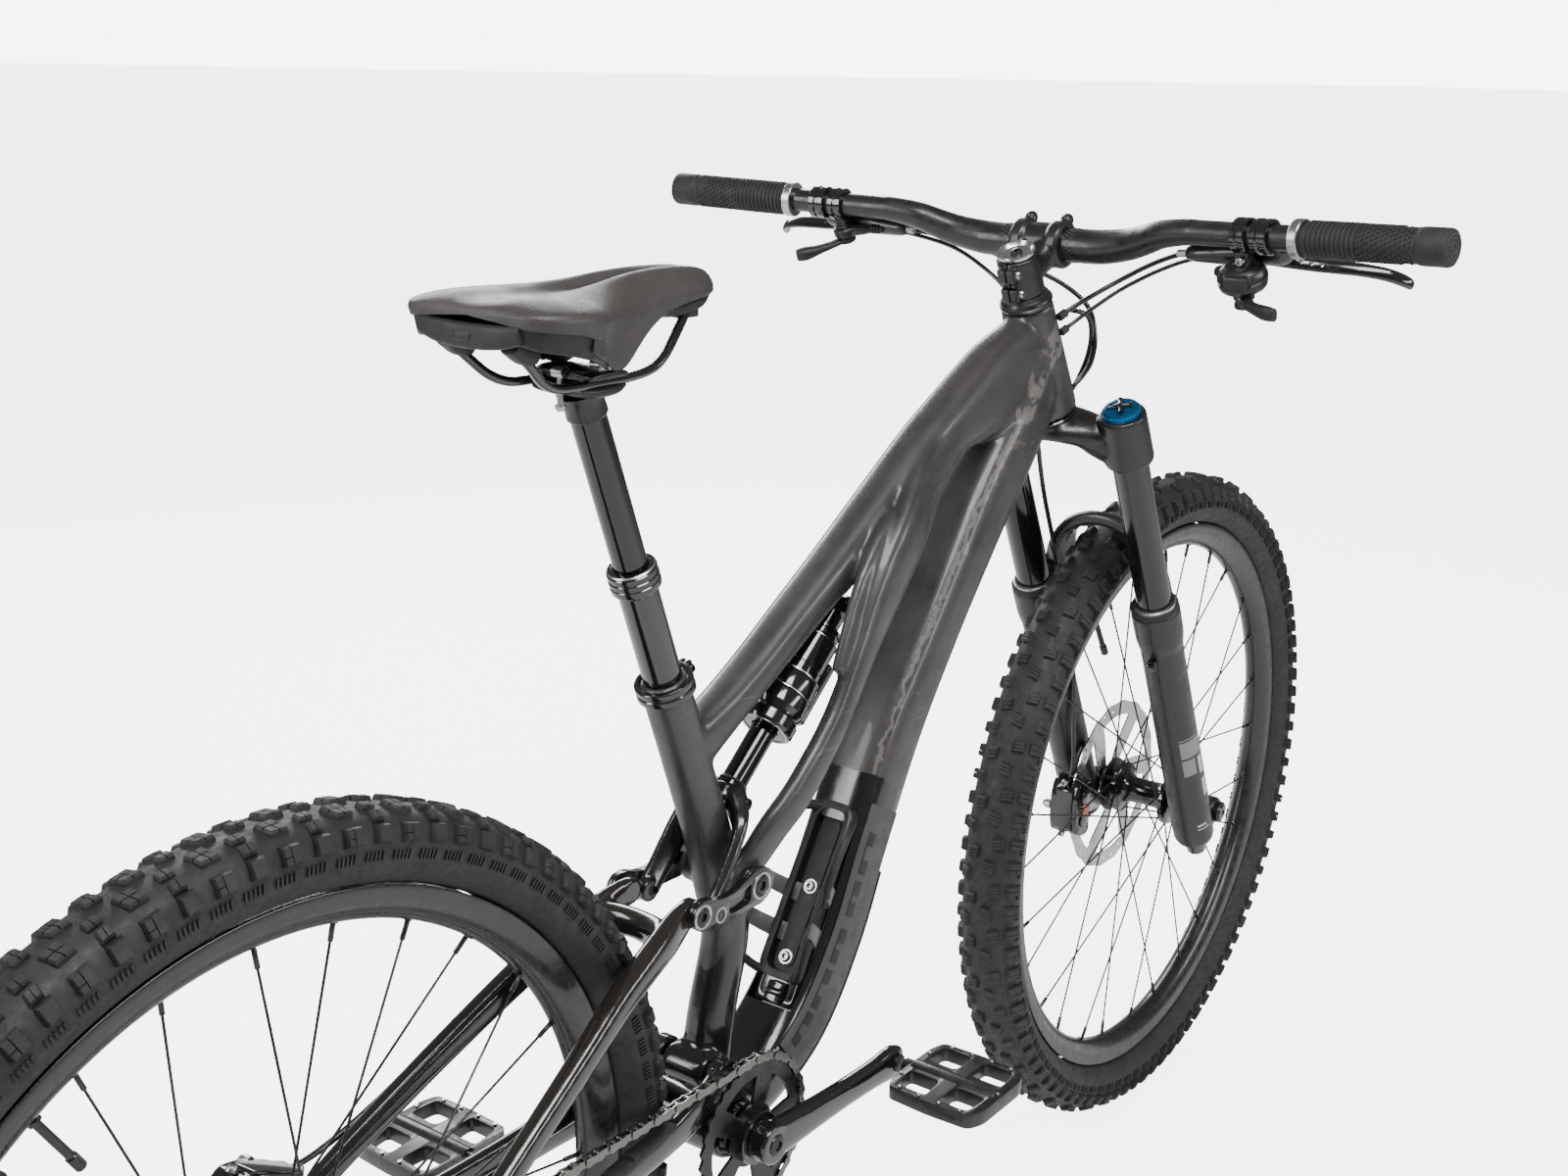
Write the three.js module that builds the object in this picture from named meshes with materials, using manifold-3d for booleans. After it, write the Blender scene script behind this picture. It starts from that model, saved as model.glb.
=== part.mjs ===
// Full-suspension mountain bike, millimetres, +X forward, +Y left, +Z up.
// Built in a frame that has the bottom bracket at x = 0 and the ground at z = 0.
// The whole group is then moved so that its origin is midway between the tyres' ends.
import * as THREE from "three";
import { mergeVertices } from "three/addons/utils/BufferGeometryUtils.js";
import Module from "manifold-3d";

const wasm = await Module();
wasm.setup();

// ---- Driving dimensions --------------------------------------------------
const GAP = 0.3; // clearance between neighbouring pieces
const BB = [0, 340]; // bottom bracket centre, x and z
const WHEEL_Z = 373; // axle height of both wheels
const REAR_X = -436.8;
const FRONT_X = 806.8;
const TYRE_FRONT = { outer: 373, width: 60 };
const TYRE_REAR = { outer: 371, width: 60 };
const RIM = { outer: 317, inner: 290, halfWidth: 17 };
const SPOKES = 28;
const ROTOR = { frontR: 100, frontY: 43.6, rearR: 90, rearY: 55, half: 0.9 };
const HUB = { frontHalf: 55, rearHalf: 74 };

const HEAD_ANGLE = THREE.MathUtils.degToRad(64.5);
const FORK_OFFSET = 44; // axle ahead of the steering axis
const AXLE_TO_CROWN = 559;
const HEAD_TUBE = 123;
const LEG_SPACING = 70.8; // half of the distance between the fork legs
const LEG_AHEAD = 17; // leg axes ahead of the steering axis
const STANCHION_R = 18;
const LOWER_R = 23;
const STEERER_R = 14.3;
const WIPER_Z = -242; // top of the fork's wiper seals under the crown race

const BAR_HALF = 400;
const BAR_CLAMP = { x: 46, z: 160 };
const GRIP_R = 16.2;
const STEM = { low: 134, high: 174, clampR: 20, faceR: 22, half: 26 };

const SEAT_COLLAR = [-49, 737]; // a point on the seat axis at the seat clamp
const SEAT_ANGLE = THREE.MathUtils.degToRad(69.5);
const POST_OUTER_R = 15.45;
const POST_INNER_R = 13.25;
const SADDLE_CLAMP_UP = 250; // along the seat axis from the seat clamp

const MAIN_PIVOT = [-12, 390];
const HORST_PIVOT = [-398.8, 361];
const ROCKER_PIVOT = [19.4, 553];
const STAY_PIVOT = [-54.5, 553]; // seatstay to rocker
const YOKE_PIVOT = [-31.6, 546]; // yoke to rocker
const SHOCK_EYE = [176, 741];
const SHOCK_ANGLE = THREE.MathUtils.degToRad(40.6);
const SHOCK_SWING = THREE.MathUtils.degToRad(5.7); // the shock's rear end rises this far
const SHOCK = { can: [60, 127], canR: 24, shaftR: 11, shaftEnd: 186 };

const CRANK_ARM = 170;
const CHAIN_Y = -52.5;
const CHAIN = { half: 3.2, thick: 4.2 };
const CHAINRING_R = 65;
const DRIVE_COG_R = 46;
const GUIDE = [-420, 288];
const TENSION = [-404, 204];
const JOCKEY_R = 20;

// ---- Solids --------------------------------------------------------------
const at = (x, y, z) => new THREE.Vector3(x, y, z);

// A geometry as a manifold solid: only positions, with shared vertices merged.
function solid(geometry) {
  const bare = geometry.clone();
  bare.deleteAttribute("normal");
  bare.deleteAttribute("uv");
  const merged = mergeVertices(bare, 1e-4);
  return new wasm.Manifold(
    new wasm.Mesh({
      numProp: 3,
      vertProperties: new Float32Array(merged.attributes.position.array),
      triVerts: new Uint32Array(merged.index.array),
    }),
  );
}

function geometryOf(manifold) {
  const mesh = manifold.getMesh();
  const geometry = new THREE.BufferGeometry();
  geometry.setAttribute("position", new THREE.BufferAttribute(mesh.vertProperties, 3));
  geometry.setIndex(new THREE.BufferAttribute(mesh.triVerts, 1));
  geometry.computeVertexNormals();
  return geometry;
}

function join(...geometries) {
  return geometryOf(geometries.map(solid).reduce((a, b) => a.add(b)));
}

function cut(geometry, ...tools) {
  return geometryOf(tools.map(solid).reduce((a, b) => a.subtract(b), solid(geometry)));
}

// A closed ring of [radius, position along the axis] points turned about the Y axis.
const turned = (profile, sides) =>
  new THREE.LatheGeometry(
    profile.map(([r, y]) => new THREE.Vector2(r, y)),
    sides,
  );

// A round bar between two points, with an end radius of its own if it tapers.
function bar(from, to, radius, sides = 10, endRadius = radius) {
  const along = to.clone().sub(from);
  const geometry = new THREE.CylinderGeometry(endRadius, radius, along.length(), sides);
  const turn = new THREE.Quaternion().setFromUnitVectors(at(0, 1, 0), along.clone().normalize());
  geometry.applyQuaternion(turn);
  geometry.translate(...from.clone().lerp(to, 0.5).toArray());
  return geometry;
}

// The radius of a 14-sided bore that clears a round bar of the given radius.
const bored = (radius) => (radius + GAP) / Math.cos(Math.PI / 14);

// A round bar across the bike, centred on [x, z].
const pin = ([x, z], y0, y1, radius, sides = 12) => bar(at(x, y0, z), at(x, y1, z), radius, sides);

// A flat ring across the bike, centred on [x, z].
function ring([x, z], y0, y1, outer, inner, sides = 16) {
  const profile = [[inner, y0], [outer, y0], [outer, y1], [inner, y1], [inner, y0]];
  return turned(profile, sides).translate(x, 0, z);
}

// A sleeve with a bore, between two points.
const sleeve = (from, to, outer, inner) => {
  const past = to.clone().sub(from).setLength(2);
  const bore = bar(from.clone().sub(past), to.clone().add(past), inner, 14);
  return cut(bar(from, to, outer, 14), bore);
};

// A round rod along a smooth curve through the points.
function rod(points, radius, sides = 6, steps = 4 * (points.length - 1)) {
  const circle = new THREE.Shape();
  for (let i = 0; i < sides; i++) {
    const turn = (2 * Math.PI * i) / sides;
    const corner = [radius * Math.cos(turn), radius * Math.sin(turn)];
    if (i === 0) circle.moveTo(...corner);
    else circle.lineTo(...corner);
  }
  const extrudePath = new THREE.CatmullRomCurve3(points);
  return new THREE.ExtrudeGeometry(circle, { steps, bevelEnabled: false, extrudePath });
}

const block = (x0, x1, y0, y1, z0, z1) =>
  new THREE.BoxGeometry(x1 - x0, y1 - y0, z1 - z0).translate(
    (x0 + x1) / 2,
    (y0 + y1) / 2,
    (z0 + z1) / 2,
  );

// A plate with the given [x, z] corners, from y0 to y1.
function plate(corners, y0, y1) {
  const shape = new THREE.Shape(corners.map(([x, z]) => new THREE.Vector2(x, z)));
  const geometry = new THREE.ExtrudeGeometry(shape, { depth: y1 - y0, bevelEnabled: false });
  return geometry.rotateX(Math.PI / 2).translate(0, y1, 0);
}

// A skin over rings of equal count, closed by a fan at each end.
function skin(rings) {
  const count = rings[0].length;
  const position = [];
  const index = [];
  for (const points of rings) for (const p of points) position.push(p.x, p.y, p.z);
  for (let i = 0; i + 1 < rings.length; i++)
    for (let j = 0; j < count; j++) {
      const a = i * count + j;
      const b = i * count + ((j + 1) % count);
      index.push(a, b, b + count, a, b + count, a + count);
    }
  for (const [ringIndex, flip] of [[0, true], [rings.length - 1, false]]) {
    const centre = rings[ringIndex].reduce((s, p) => s.add(p), at(0, 0, 0)).divideScalar(count);
    const tip = position.length / 3;
    position.push(...centre.toArray());
    for (let j = 0; j < count; j++) {
      const a = ringIndex * count + j;
      const b = ringIndex * count + ((j + 1) % count);
      if (flip) index.push(b, a, tip);
      else index.push(a, b, tip);
    }
  }
  const geometry = new THREE.BufferGeometry();
  geometry.setAttribute("position", new THREE.Float32BufferAttribute(position, 3));
  geometry.setIndex(index);
  return geometry;
}

// A frame tube lofted through stations [x, y, z, half height, half width]; each section
// is a rounded oval across the line from the station before to the station after.
function tube(stations, sides = 12, squareness = 0.8) {
  const centres = stations.map(([x, y, z]) => at(x, y, z));
  const rings = stations.map(([, , , high, wide], i) => {
    const before = centres[Math.max(i - 1, 0)];
    const after = centres[Math.min(i + 1, centres.length - 1)];
    const along = after.clone().sub(before).normalize();
    const side = at(0, 1, 0).addScaledVector(along, -along.y).normalize();
    const above = along.clone().cross(side);
    return Array.from({ length: sides }, (_, j) => {
      const turn = (2 * Math.PI * (j + 0.5)) / sides;
      const round = (v) => Math.sign(v) * Math.abs(v) ** squareness;
      return centres[i]
        .clone()
        .addScaledVector(side, wide * round(Math.cos(turn)))
        .addScaledVector(above, high * round(Math.sin(turn)));
    });
  });
  return skin(rings);
}

// A round bar of changing thickness through stations [x, y, z, radius]; sections stay
// square to the line, with no twist about the given reference direction.
function pipe(stations, reference, sides = 10) {
  const centres = stations.map(([x, y, z]) => at(x, y, z));
  const rings = stations.map(([, , , radius], i) => {
    const before = centres[Math.max(i - 1, 0)];
    const after = centres[Math.min(i + 1, centres.length - 1)];
    const along = after.clone().sub(before).normalize();
    const side = reference.clone().addScaledVector(along, -along.dot(reference)).normalize();
    const above = along.clone().cross(side);
    return Array.from({ length: sides }, (_, j) => {
      const turn = (2 * Math.PI * j) / sides;
      return centres[i]
        .clone()
        .addScaledVector(side, radius * Math.cos(turn))
        .addScaledVector(above, radius * Math.sin(turn));
    });
  });
  return skin(rings);
}

// A bar across the bike through stations [x, y, z, half length in x, half height in z].
function across(stations, sides = 10) {
  const rings = stations.map(([x, y, z, long, high]) =>
    Array.from({ length: sides }, (_, j) => {
      const turn = (2 * Math.PI * (j + 0.5)) / sides;
      return at(x + long * Math.cos(turn), y, z - high * Math.sin(turn));
    }),
  );
  return skin(rings);
}

const mirrored = (stations) => [
  ...stations.map(([x, y, ...rest]) => [x, -y, ...rest]),
  ...stations
    .filter(([, y]) => y !== 0)
    .reverse(),
];

// ---- Materials -----------------------------------------------------------
const finish = (color, roughness, metalness) => () =>
  new THREE.MeshStandardMaterial({ color, roughness, metalness });
const carbon = finish(0x3b3836, 0.42, 0.3);
const glossBlack = finish(0x0c0c0d, 0.18, 0.1);
const satinBlack = finish(0x17171a, 0.45, 0.3);
const rubber = finish(0x141414, 0.8, 0);
const tyreRubber = finish(0x1c1b1a, 0.85, 0);
const stanchionCoat = finish(0x09090a, 0.12, 0.6);
const steel = finish(0xb9bbbd, 0.3, 1);
const darkMetal = finish(0x2a2b2d, 0.35, 0.9);
const blueAnodised = finish(0x1668b4, 0.25, 0.9);
const saddleCover = finish(0x35322f, 0.6, 0);

// ---- Groups --------------------------------------------------------------
const bike = new THREE.Group();

function group(parent, position, turnAboutY = 0) {
  const made = new THREE.Group();
  made.position.copy(position);
  made.rotation.y = turnAboutY;
  parent.add(made);
  return made;
}

function piece(parent, name, material, geometry) {
  const mesh = new THREE.Mesh(geometry, material());
  mesh.name = name;
  parent.add(mesh);
}

const steerUp = at(-Math.cos(HEAD_ANGLE), 0, Math.sin(HEAD_ANGLE));
const steerAhead = at(Math.sin(HEAD_ANGLE), 0, Math.cos(HEAD_ANGLE));
const crownRace = at(FRONT_X, 0, WHEEL_Z)
  .addScaledVector(steerAhead, -FORK_OFFSET)
  .addScaledVector(steerUp, AXLE_TO_CROWN);
const onSteerer = (up) => crownRace.clone().addScaledVector(steerUp, up);

const seatUp = at(-Math.cos(SEAT_ANGLE), 0, Math.sin(SEAT_ANGLE));
const seatCollar = at(SEAT_COLLAR[0], 0, SEAT_COLLAR[1]);
const onSeatAxis = (up) => seatCollar.clone().addScaledVector(seatUp, up);

const shockEye = at(SHOCK_EYE[0], 0, SHOCK_EYE[1]);
function onShock(back, swing = 0) {
  const angle = SHOCK_ANGLE - swing;
  return shockEye.clone().add(at(-back * Math.cos(angle), 0, -back * Math.sin(angle)));
}

// Local x points ahead and local z up along each group's own axis.
const steering = group(bike, crownRace, HEAD_ANGLE - Math.PI / 2);
const seat = group(bike, seatCollar, SEAT_ANGLE - Math.PI / 2);
const shock = group(bike, shockEye, -SHOCK_ANGLE);
const frontHub = group(bike, at(FRONT_X, 0, WHEEL_Z));
const rearHub = group(bike, at(REAR_X, 0, WHEEL_Z));
const STORE = { centre: [141, 471], angle: Math.atan2(0.842, 0.54), half: 84, wide: 23.5 };
const store = group(bike, at(STORE.centre[0], 0, STORE.centre[1]), -STORE.angle);

// ---- Front triangle ------------------------------------------------------
const POST_BOTTOM = -150;
const POST_COLLAR = 96;

function topTube() {
  return tube([
    [485, 0, 918, 42, 20],
    [420, 0, 899, 43, 22],
    [380, 0, 886, 36, 22],
    [340, 0, 872, 27, 22],
    [300, 0, 853, 26, 22],
    [174, 0, 777, 21, 21],
    [62, 0, 714, 18, 19],
    [-25, 0, 668, 24, 15],
  ]);
}

function downTube() {
  return tube([
    [500, 0, 888, 20, 20],
    [440, 0, 838, 34, 27],
    [366, 0, 757, 32, 29],
    [310, 0, 688, 29, 31],
    [250, 0, 608, 31, 32],
    [197, 0, 514, 31, 32],
    [162, 0, 447, 32, 32],
    [116, 0, 388, 33, 32],
    [60, 0, 352, 30, 32],
    [0, 0, 340, 26, 31],
  ]);
}

function seatTube() {
  return tube([
    [...onSeatAxis(-1).toArray(), 17.6, 17.6],
    [...onSeatAxis(-100).toArray(), 18, 18],
    [...onSeatAxis(-155).toArray(), 20, 17],
    [20, 0, 545, 22, 17],
    [30, 0, 495, 21, 17],
    [10, 0, 425, 21, 18],
    [0, 0, 340, 22, 20],
  ]);
}

// The arm that carries the shock's load down the right side to the rocker pivot.
function shockArm() {
  return tube([
    [290, -16, 838, 28, 10],
    [240, -33, 802, 27, 9],
    [198, -40, 762, 25, 8],
    [160, -42, 716, 16, 8],
    [130, -42, 674, 14, 8],
    [90, -41, 630, 17, 8],
    [48, -34, 590, 17, 8],
    [20, -18, 550, 15, 8],
  ]);
}

function frontTriangle() {
  const headTube = bar(onSteerer(2), onSteerer(HEAD_TUBE), 28, 14, 24);
  const shell = pin(BB, -36, 36, 27, 16);
  const mainLug = pin(MAIN_PIVOT, -22, 22, 15);
  const rockerLug = pin(ROCKER_PIVOT, -30, 30, 14);
  const shockLug = pin(SHOCK_EYE, -21, 21, 17);
  const tubes = [topTube(), downTube(), seatTube(), shockArm()];
  const whole = join(headTube, ...tubes, shell, mainLug, rockerLug, shockLug);
  const eyeSlot = block(-34, 18, -13.5, 13.5, -19, 19).rotateY(-SHOCK_ANGLE);
  const shockRoom = [0, SHOCK_SWING].map((swing) =>
    bar(onShock(24, swing), onShock(190, swing), 27.5, 14),
  );
  return cut(
    whole,
    bar(onSteerer(-20), onSteerer(HEAD_TUBE + 20), 21, 14),
    bar(onSeatAxis(POST_BOTTOM - 4), onSeatAxis(20), POST_OUTER_R + GAP, 14),
    pin(BB, -60, 60, 21, 14),
    pin(MAIN_PIVOT, -40, 40, 6.4),
    pin(ROCKER_PIVOT, -60, 60, 6.4),
    pin(SHOCK_EYE, -60, 60, 4.3),
    eyeSlot.translate(SHOCK_EYE[0], 0, SHOCK_EYE[1]),
    ...shockRoom,
    storeRecess(),
  );
}

// The recess in the down tube's upper face that the storage door closes.
function storeRecess() {
  const { half, wide, angle, centre } = STORE;
  const room = block(-half - GAP, half + GAP, -wide - GAP, wide + GAP, -8, 40);
  return room.rotateY(-angle).translate(centre[0], 0, centre[1]);
}

piece(bike, "front_triangle", carbon, frontTriangle());

// ---- Storage door and bottle cage ----------------------------------------
const CAGE = { bottleR: 37, wall: 3, bands: [-22, 14], bandHalf: 9, bandTop: 36 };

function bottleCage() {
  const { bottleR, wall, bands, bandHalf, bandTop } = CAGE;
  const outer = bottleR + wall;
  const above = block(-100, 100, -80, 80, bandTop, 200);
  const hoops = bands.map((x) => {
    const whole = ring([0, 0], -bandHalf, bandHalf, outer, bottleR, 18);
    return cut(whole.rotateZ(Math.PI / 2).translate(x, 0, outer), above);
  });
  return join(block(-76, 76, -12, 12, 0, wall + 0.6), ...hoops);
}

piece(store, "storage_door", glossBlack, block(-84, 84, -STORE.wide, STORE.wide, -7.7, -GAP));
piece(store, "bottle_cage", satinBlack, bottleCage());

// ---- Headset, seat clamp and seatpost ------------------------------------
function headsetUpper() {
  const flange = bar(onSteerer(HEAD_TUBE + GAP), onSteerer(STEM.low - GAP), 22.5, 14, 19);
  const cup = bar(onSteerer(HEAD_TUBE - 14), onSteerer(HEAD_TUBE + 2), 20.6, 14);
  return cut(join(flange, cup), bar(onSteerer(90), onSteerer(160), bored(STEERER_R), 14));
}

piece(bike, "headset_upper", satinBlack, headsetUpper());
piece(bike, "headset_lower", satinBlack, sleeve(onSteerer(2.3), onSteerer(16), 20.6, bored(STEERER_R)));

function seatClamp() {
  const collar = sleeve(at(0, 0, -15), at(0, 0, -2), 22.8, 19.7);
  const ear = block(21, 29, -11, 3, -14, -3);
  return join(collar, ear);
}

function postOuter() {
  const body = bar(at(0, 0, POST_BOTTOM), at(0, 0, POST_COLLAR), POST_OUTER_R, 14);
  const collar = bar(at(0, 0, POST_COLLAR - 13), at(0, 0, POST_COLLAR + 5), 20, 14);
  const bore = bar(at(0, 0, POST_BOTTOM - 5), at(0, 0, 140), POST_INNER_R + GAP, 14);
  return cut(join(body, collar), bore);
}

piece(seat, "seat_clamp", darkMetal, seatClamp());
piece(seat, "seatpost_outer", glossBlack, postOuter());
piece(
  seat,
  "seatpost_inner",
  stanchionCoat,
  bar(at(0, 0, -20), at(0, 0, SADDLE_CLAMP_UP - 12), POST_INNER_R, 14),
);

// ---- Saddle --------------------------------------------------------------
const RAIL = { y: 22, r: 3.5 };
const clampHead = onSeatAxis(SADDLE_CLAMP_UP);

function saddleClamp() {
  const { x, z } = clampHead;
  const cradle = block(x - 22, x + 22, -27, 27, z - 6, z + 12);
  const foot = bar(onSeatAxis(SADDLE_CLAMP_UP - 11.5), onSeatAxis(SADDLE_CLAMP_UP), 14);
  const rails = [-RAIL.y, RAIL.y].map((y) =>
    bar(at(x - 40, y, z + 5), at(x + 40, y, z + 5), RAIL.r + 1, 8),
  );
  return cut(join(cradle, foot), ...rails);
}

function saddleRails() {
  const { x, z } = clampHead;
  const side = (y) => [
    at(x - 78, y * 1.3, z + 26),
    at(x - 50, y, z + 5.2),
    at(x - 26, y, z + 5),
    at(x, y, z + 5),
    at(x + 26, y, z + 5),
    at(x + 60, y * 0.95, z + 10),
    at(x + 104, y * 0.55, z + 36),
  ];
  const left = side(RAIL.y);
  const right = side(-RAIL.y).reverse();
  const curve = [...left, at(x + 112, 0, z + 40), ...right];
  return rod(curve, RAIL.r, 5, 30);
}

// Stations of the saddle: x from the clamp, half width, underside and top above the clamp.
const SADDLE = [
  [-104, 61, 44, 57],
  [-88, 73, 38, 64],
  [-55, 74, 36, 71],
  [-15, 58, 34, 75],
  [20, 38, 36, 75],
  [62, 26, 48, 74],
  [105, 21, 50, 74],
  [133, 15, 52, 68],
];

function saddlePad() {
  const rings = SADDLE.map(([along, half, low, high]) =>
    [
      [1, 0.3],
      [0.94, 0.75],
      [0.6, 1],
      [0, 1],
      [-0.6, 1],
      [-0.94, 0.75],
      [-1, 0.3],
      [-0.8, 0],
      [0.8, 0],
    ].map(([side, up]) =>
      at(clampHead.x + along, side * half, clampHead.z + low + up * (high - low)),
    ),
  );
  return skin(rings);
}

piece(bike, "saddle_clamp", darkMetal, saddleClamp());
piece(bike, "saddle_rails", satinBlack, saddleRails());
piece(bike, "saddle", saddleCover, saddlePad());

// ---- Fork ----------------------------------------------------------------
const LEG_BOTTOM = -AXLE_TO_CROWN - 16;
const SLEEVE_R = 24;
const leg = (side, up, ahead = LEG_AHEAD) => at(ahead, side * LEG_SPACING, up);

function crown() {
  const bridge = across(
    mirrored([
      [LEG_AHEAD, 84, -16, 14, 9],
      [LEG_AHEAD, 66, -15, 22, 12],
      [8, 34, -10, 24, 10],
      [2, 0, -8.5, 27, 8.5],
    ]),
  );
  const steerer = bar(at(0, 0, -8), at(0, 0, 172), STEERER_R, 14);
  const sleeves = [1, -1].map((side) => bar(leg(side, -57), leg(side, -3), SLEEVE_R, 14));
  const bores = [1, -1].map((side) => bar(leg(side, -60), leg(side, 5), STANCHION_R + GAP, 14));
  return cut(join(bridge, steerer, ...sleeves), ...bores);
}

// The left stanchion's top carries the air valve's cap.
function stanchion(side) {
  const tube = bar(leg(side, -385), leg(side, -6), STANCHION_R, 14);
  return side > 0 ? join(tube, bar(leg(1, -8), leg(1, 3), 14, 14, 12)) : tube;
}

const FOOT_HALF = 12; // half size of the forging that carries the axle on each leg

// The arch passes in front of the crown when the fork is fully compressed.
function lowers() {
  const axleAt = (y) => at(FORK_OFFSET, y, -AXLE_TO_CROWN);
  const legs = [1, -1].map((side) => {
    const y = side * LEG_SPACING;
    const z = -AXLE_TO_CROWN;
    const foot = block(
      LEG_AHEAD,
      FORK_OFFSET,
      y - FOOT_HALF,
      y + FOOT_HALF,
      z - FOOT_HALF,
      z + FOOT_HALF,
    );
    const boss = bar(axleAt(side * (HUB.frontHalf + GAP)), axleAt(side * 86), 14);
    return join(bar(leg(side, LEG_BOTTOM), leg(side, WIPER_Z), LOWER_R, 14), boss, foot);
  });
  const arch = across(
    mirrored([
      [52, 62, -262, 9, 26],
      [54, 57, -228, 8, 26],
      [56, 46, -192, 7, 17],
      [56, 26, -174, 7, 8],
      [56, 0, -169, 7, 7],
    ]),
  );
  const feet = [1, -1].map((side) =>
    block(LEG_AHEAD, 58, side * 66 - 5, side * 66 + 5, -292, -248),
  );
  const bores = [1, -1].map((side) => bar(leg(side, -550), leg(side, -200), STANCHION_R + GAP, 14));
  const axleBore = bar(axleAt(-120), axleAt(120), bored(7.5), 14);
  return cut(join(arch, ...feet, ...legs), ...bores, axleBore);
}

function frontAxle() {
  const shaft = bar(at(0, -92, 0), at(0, 84, 0), 7.5);
  const head = bar(at(0, -95, 0), at(0, -87, 0), 11);
  return join(shaft, head);
}

// A four-piston caliper over the rotor's edge, centred on y and pointing its closed
// back away from the hub along `turn` (about the Y axis, zero for straight up).
function caliper(x, z, y, turn) {
  const body = block(-30, 30, -14, 20, -17, 17);
  const slot = block(-50, 50, -3.2, 3.2, -40, 12);
  return cut(body, slot).rotateY(turn).translate(x, y, z);
}

piece(steering, "fork_crown_steerer", satinBlack, crown());
piece(steering, "fork_stanchion_left", stanchionCoat, stanchion(1));
piece(steering, "fork_stanchion_right", stanchionCoat, stanchion(-1));
piece(steering, "damper_dial", blueAnodised, bar(leg(-1, -5.7), leg(-1, 5), 14, 14, 12));
piece(steering, "fork_lowers", satinBlack, lowers());
piece(frontHub, "front_axle", darkMetal, frontAxle());
piece(steering, "front_caliper", glossBlack, caliper(-40, -516, ROTOR.frontY, -1.1));

// ---- Stem, bar and controls ----------------------------------------------
function stemWhole() {
  const { x, z } = BAR_CLAMP;
  const post = bar(at(0, 0, STEM.low), at(0, 0, STEM.high), STEM.clampR, 14);
  const neck = bar(at(4, 0, 154), at(x - 4, 0, z), 17);
  const face = bar(at(x, -STEM.half, z), at(x, STEM.half, z), STEM.faceR, 14);
  const barBore = bar(at(x, -60, z), at(x, 60, z), bored(15.9), 14);
  const steererBore = bar(at(0, 0, 100), at(0, 0, 200), bored(STEERER_R), 14);
  return cut(join(post, neck, face), barBore, steererBore);
}

const SPLIT = BAR_CLAMP.x + 5;

function barStation(y) {
  const share = (y - 130) / (BAR_HALF - 130);
  return [38 - 28 * share, y, 188 + 22 * share];
}

function handlebar() {
  const { x, z } = BAR_CLAMP;
  const half = [
    [...barStation(BAR_HALF - 4), 11.1],
    [...barStation(180), 11.1],
    [...barStation(158), 11.6],
    [38, 130, 184, 12.6],
    [42, 92, 168, 14.5],
    [x, 52, z, 15.9],
    [x, 0, z, 15.9],
  ];
  return pipe(mirrored(half), at(0, 0, 1), 12);
}

const onBar = (side, y) => {
  const [x, , z] = barStation(y);
  return at(x, side * y, z);
};

function grip(side) {
  const body = bar(onBar(side, 262), onBar(side, BAR_HALF), GRIP_R, 14);
  return cut(body, bar(onBar(side, 250), onBar(side, BAR_HALF - 3.6), bored(11.1), 14));
}

// The brake controls hang ahead of the bar, turned down about it.
const BRAKE_DROP = THREE.MathUtils.degToRad(55);
const SHIFT_DROP = THREE.MathUtils.degToRad(12);
const BAR_AT_CONTROLS = onBar(1, 230);

function turnedOnBar(geometry, drop) {
  const { x, z } = BAR_AT_CONTROLS;
  return geometry.translate(-x, 0, -z).rotateY(drop).translate(x, 0, z);
}

// Master cylinder beside the bar, on a clamp ring round it.
function brakeMaster(side) {
  const clamp = sleeve(onBar(side, 226), onBar(side, 240), 16, 12.2);
  const arm = block(40, 58, side * 233 - 7, side * 233 + 7, 192, 204);
  const cylinder = bar(at(60, side * 238, 198), at(62, side * 150, 190), 10, 10, 7);
  return join(clamp, turnedOnBar(join(arm, cylinder), BRAKE_DROP));
}

function brakeLever(side) {
  const hub = bar(at(79, side * 212, 192), at(79, side * 212, 204), 7, 10);
  const blade = pipe(
    [
      [79, side * 212, 198, 5],
      [84, side * 250, 199, 4],
      [89, side * 290, 200, 4],
      [97, side * 318, 201, 4.5],
      [116, side * 336, 201, 4],
    ],
    at(0, 0, 1),
    8,
  );
  return join(hub, blade);
}

function shifterBody() {
  const clamp = sleeve(onBar(-1, 206), onBar(-1, 220), 16, 12.4);
  const arm = block(22, 34, -219, -207, 168, 181);
  const pod = bar(at(26, -213, 150), at(22, -213, 172), 22, 12, 18);
  return join(clamp, turnedOnBar(join(arm, pod), SHIFT_DROP));
}

const paddle = (y, z, ahead, back) =>
  pipe(
    [
      [26, -213, z, 4.5],
      [ahead, y - 14, z - 2, 4.5],
      [back, y - 40, z - 3, 5.5],
    ],
    at(0, 0, 1),
    8,
  );

function dropperMount() {
  const clamp = sleeve(onBar(1, 206), onBar(1, 220), 16, 12.4);
  return join(clamp, block(20, 36, 206, 220, 162, 181));
}

function dropperLever() {
  const hub = bar(at(27, 213, 155), at(27, 213, 161.7), 8, 10);
  const blade = pipe(
    [
      [27, 213, 158.3, 3.2],
      [10, 224, 158, 3.2],
      [-12, 244, 158, 5],
    ],
    at(0, 0, 1),
    8,
  );
  return join(hub, blade);
}

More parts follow.
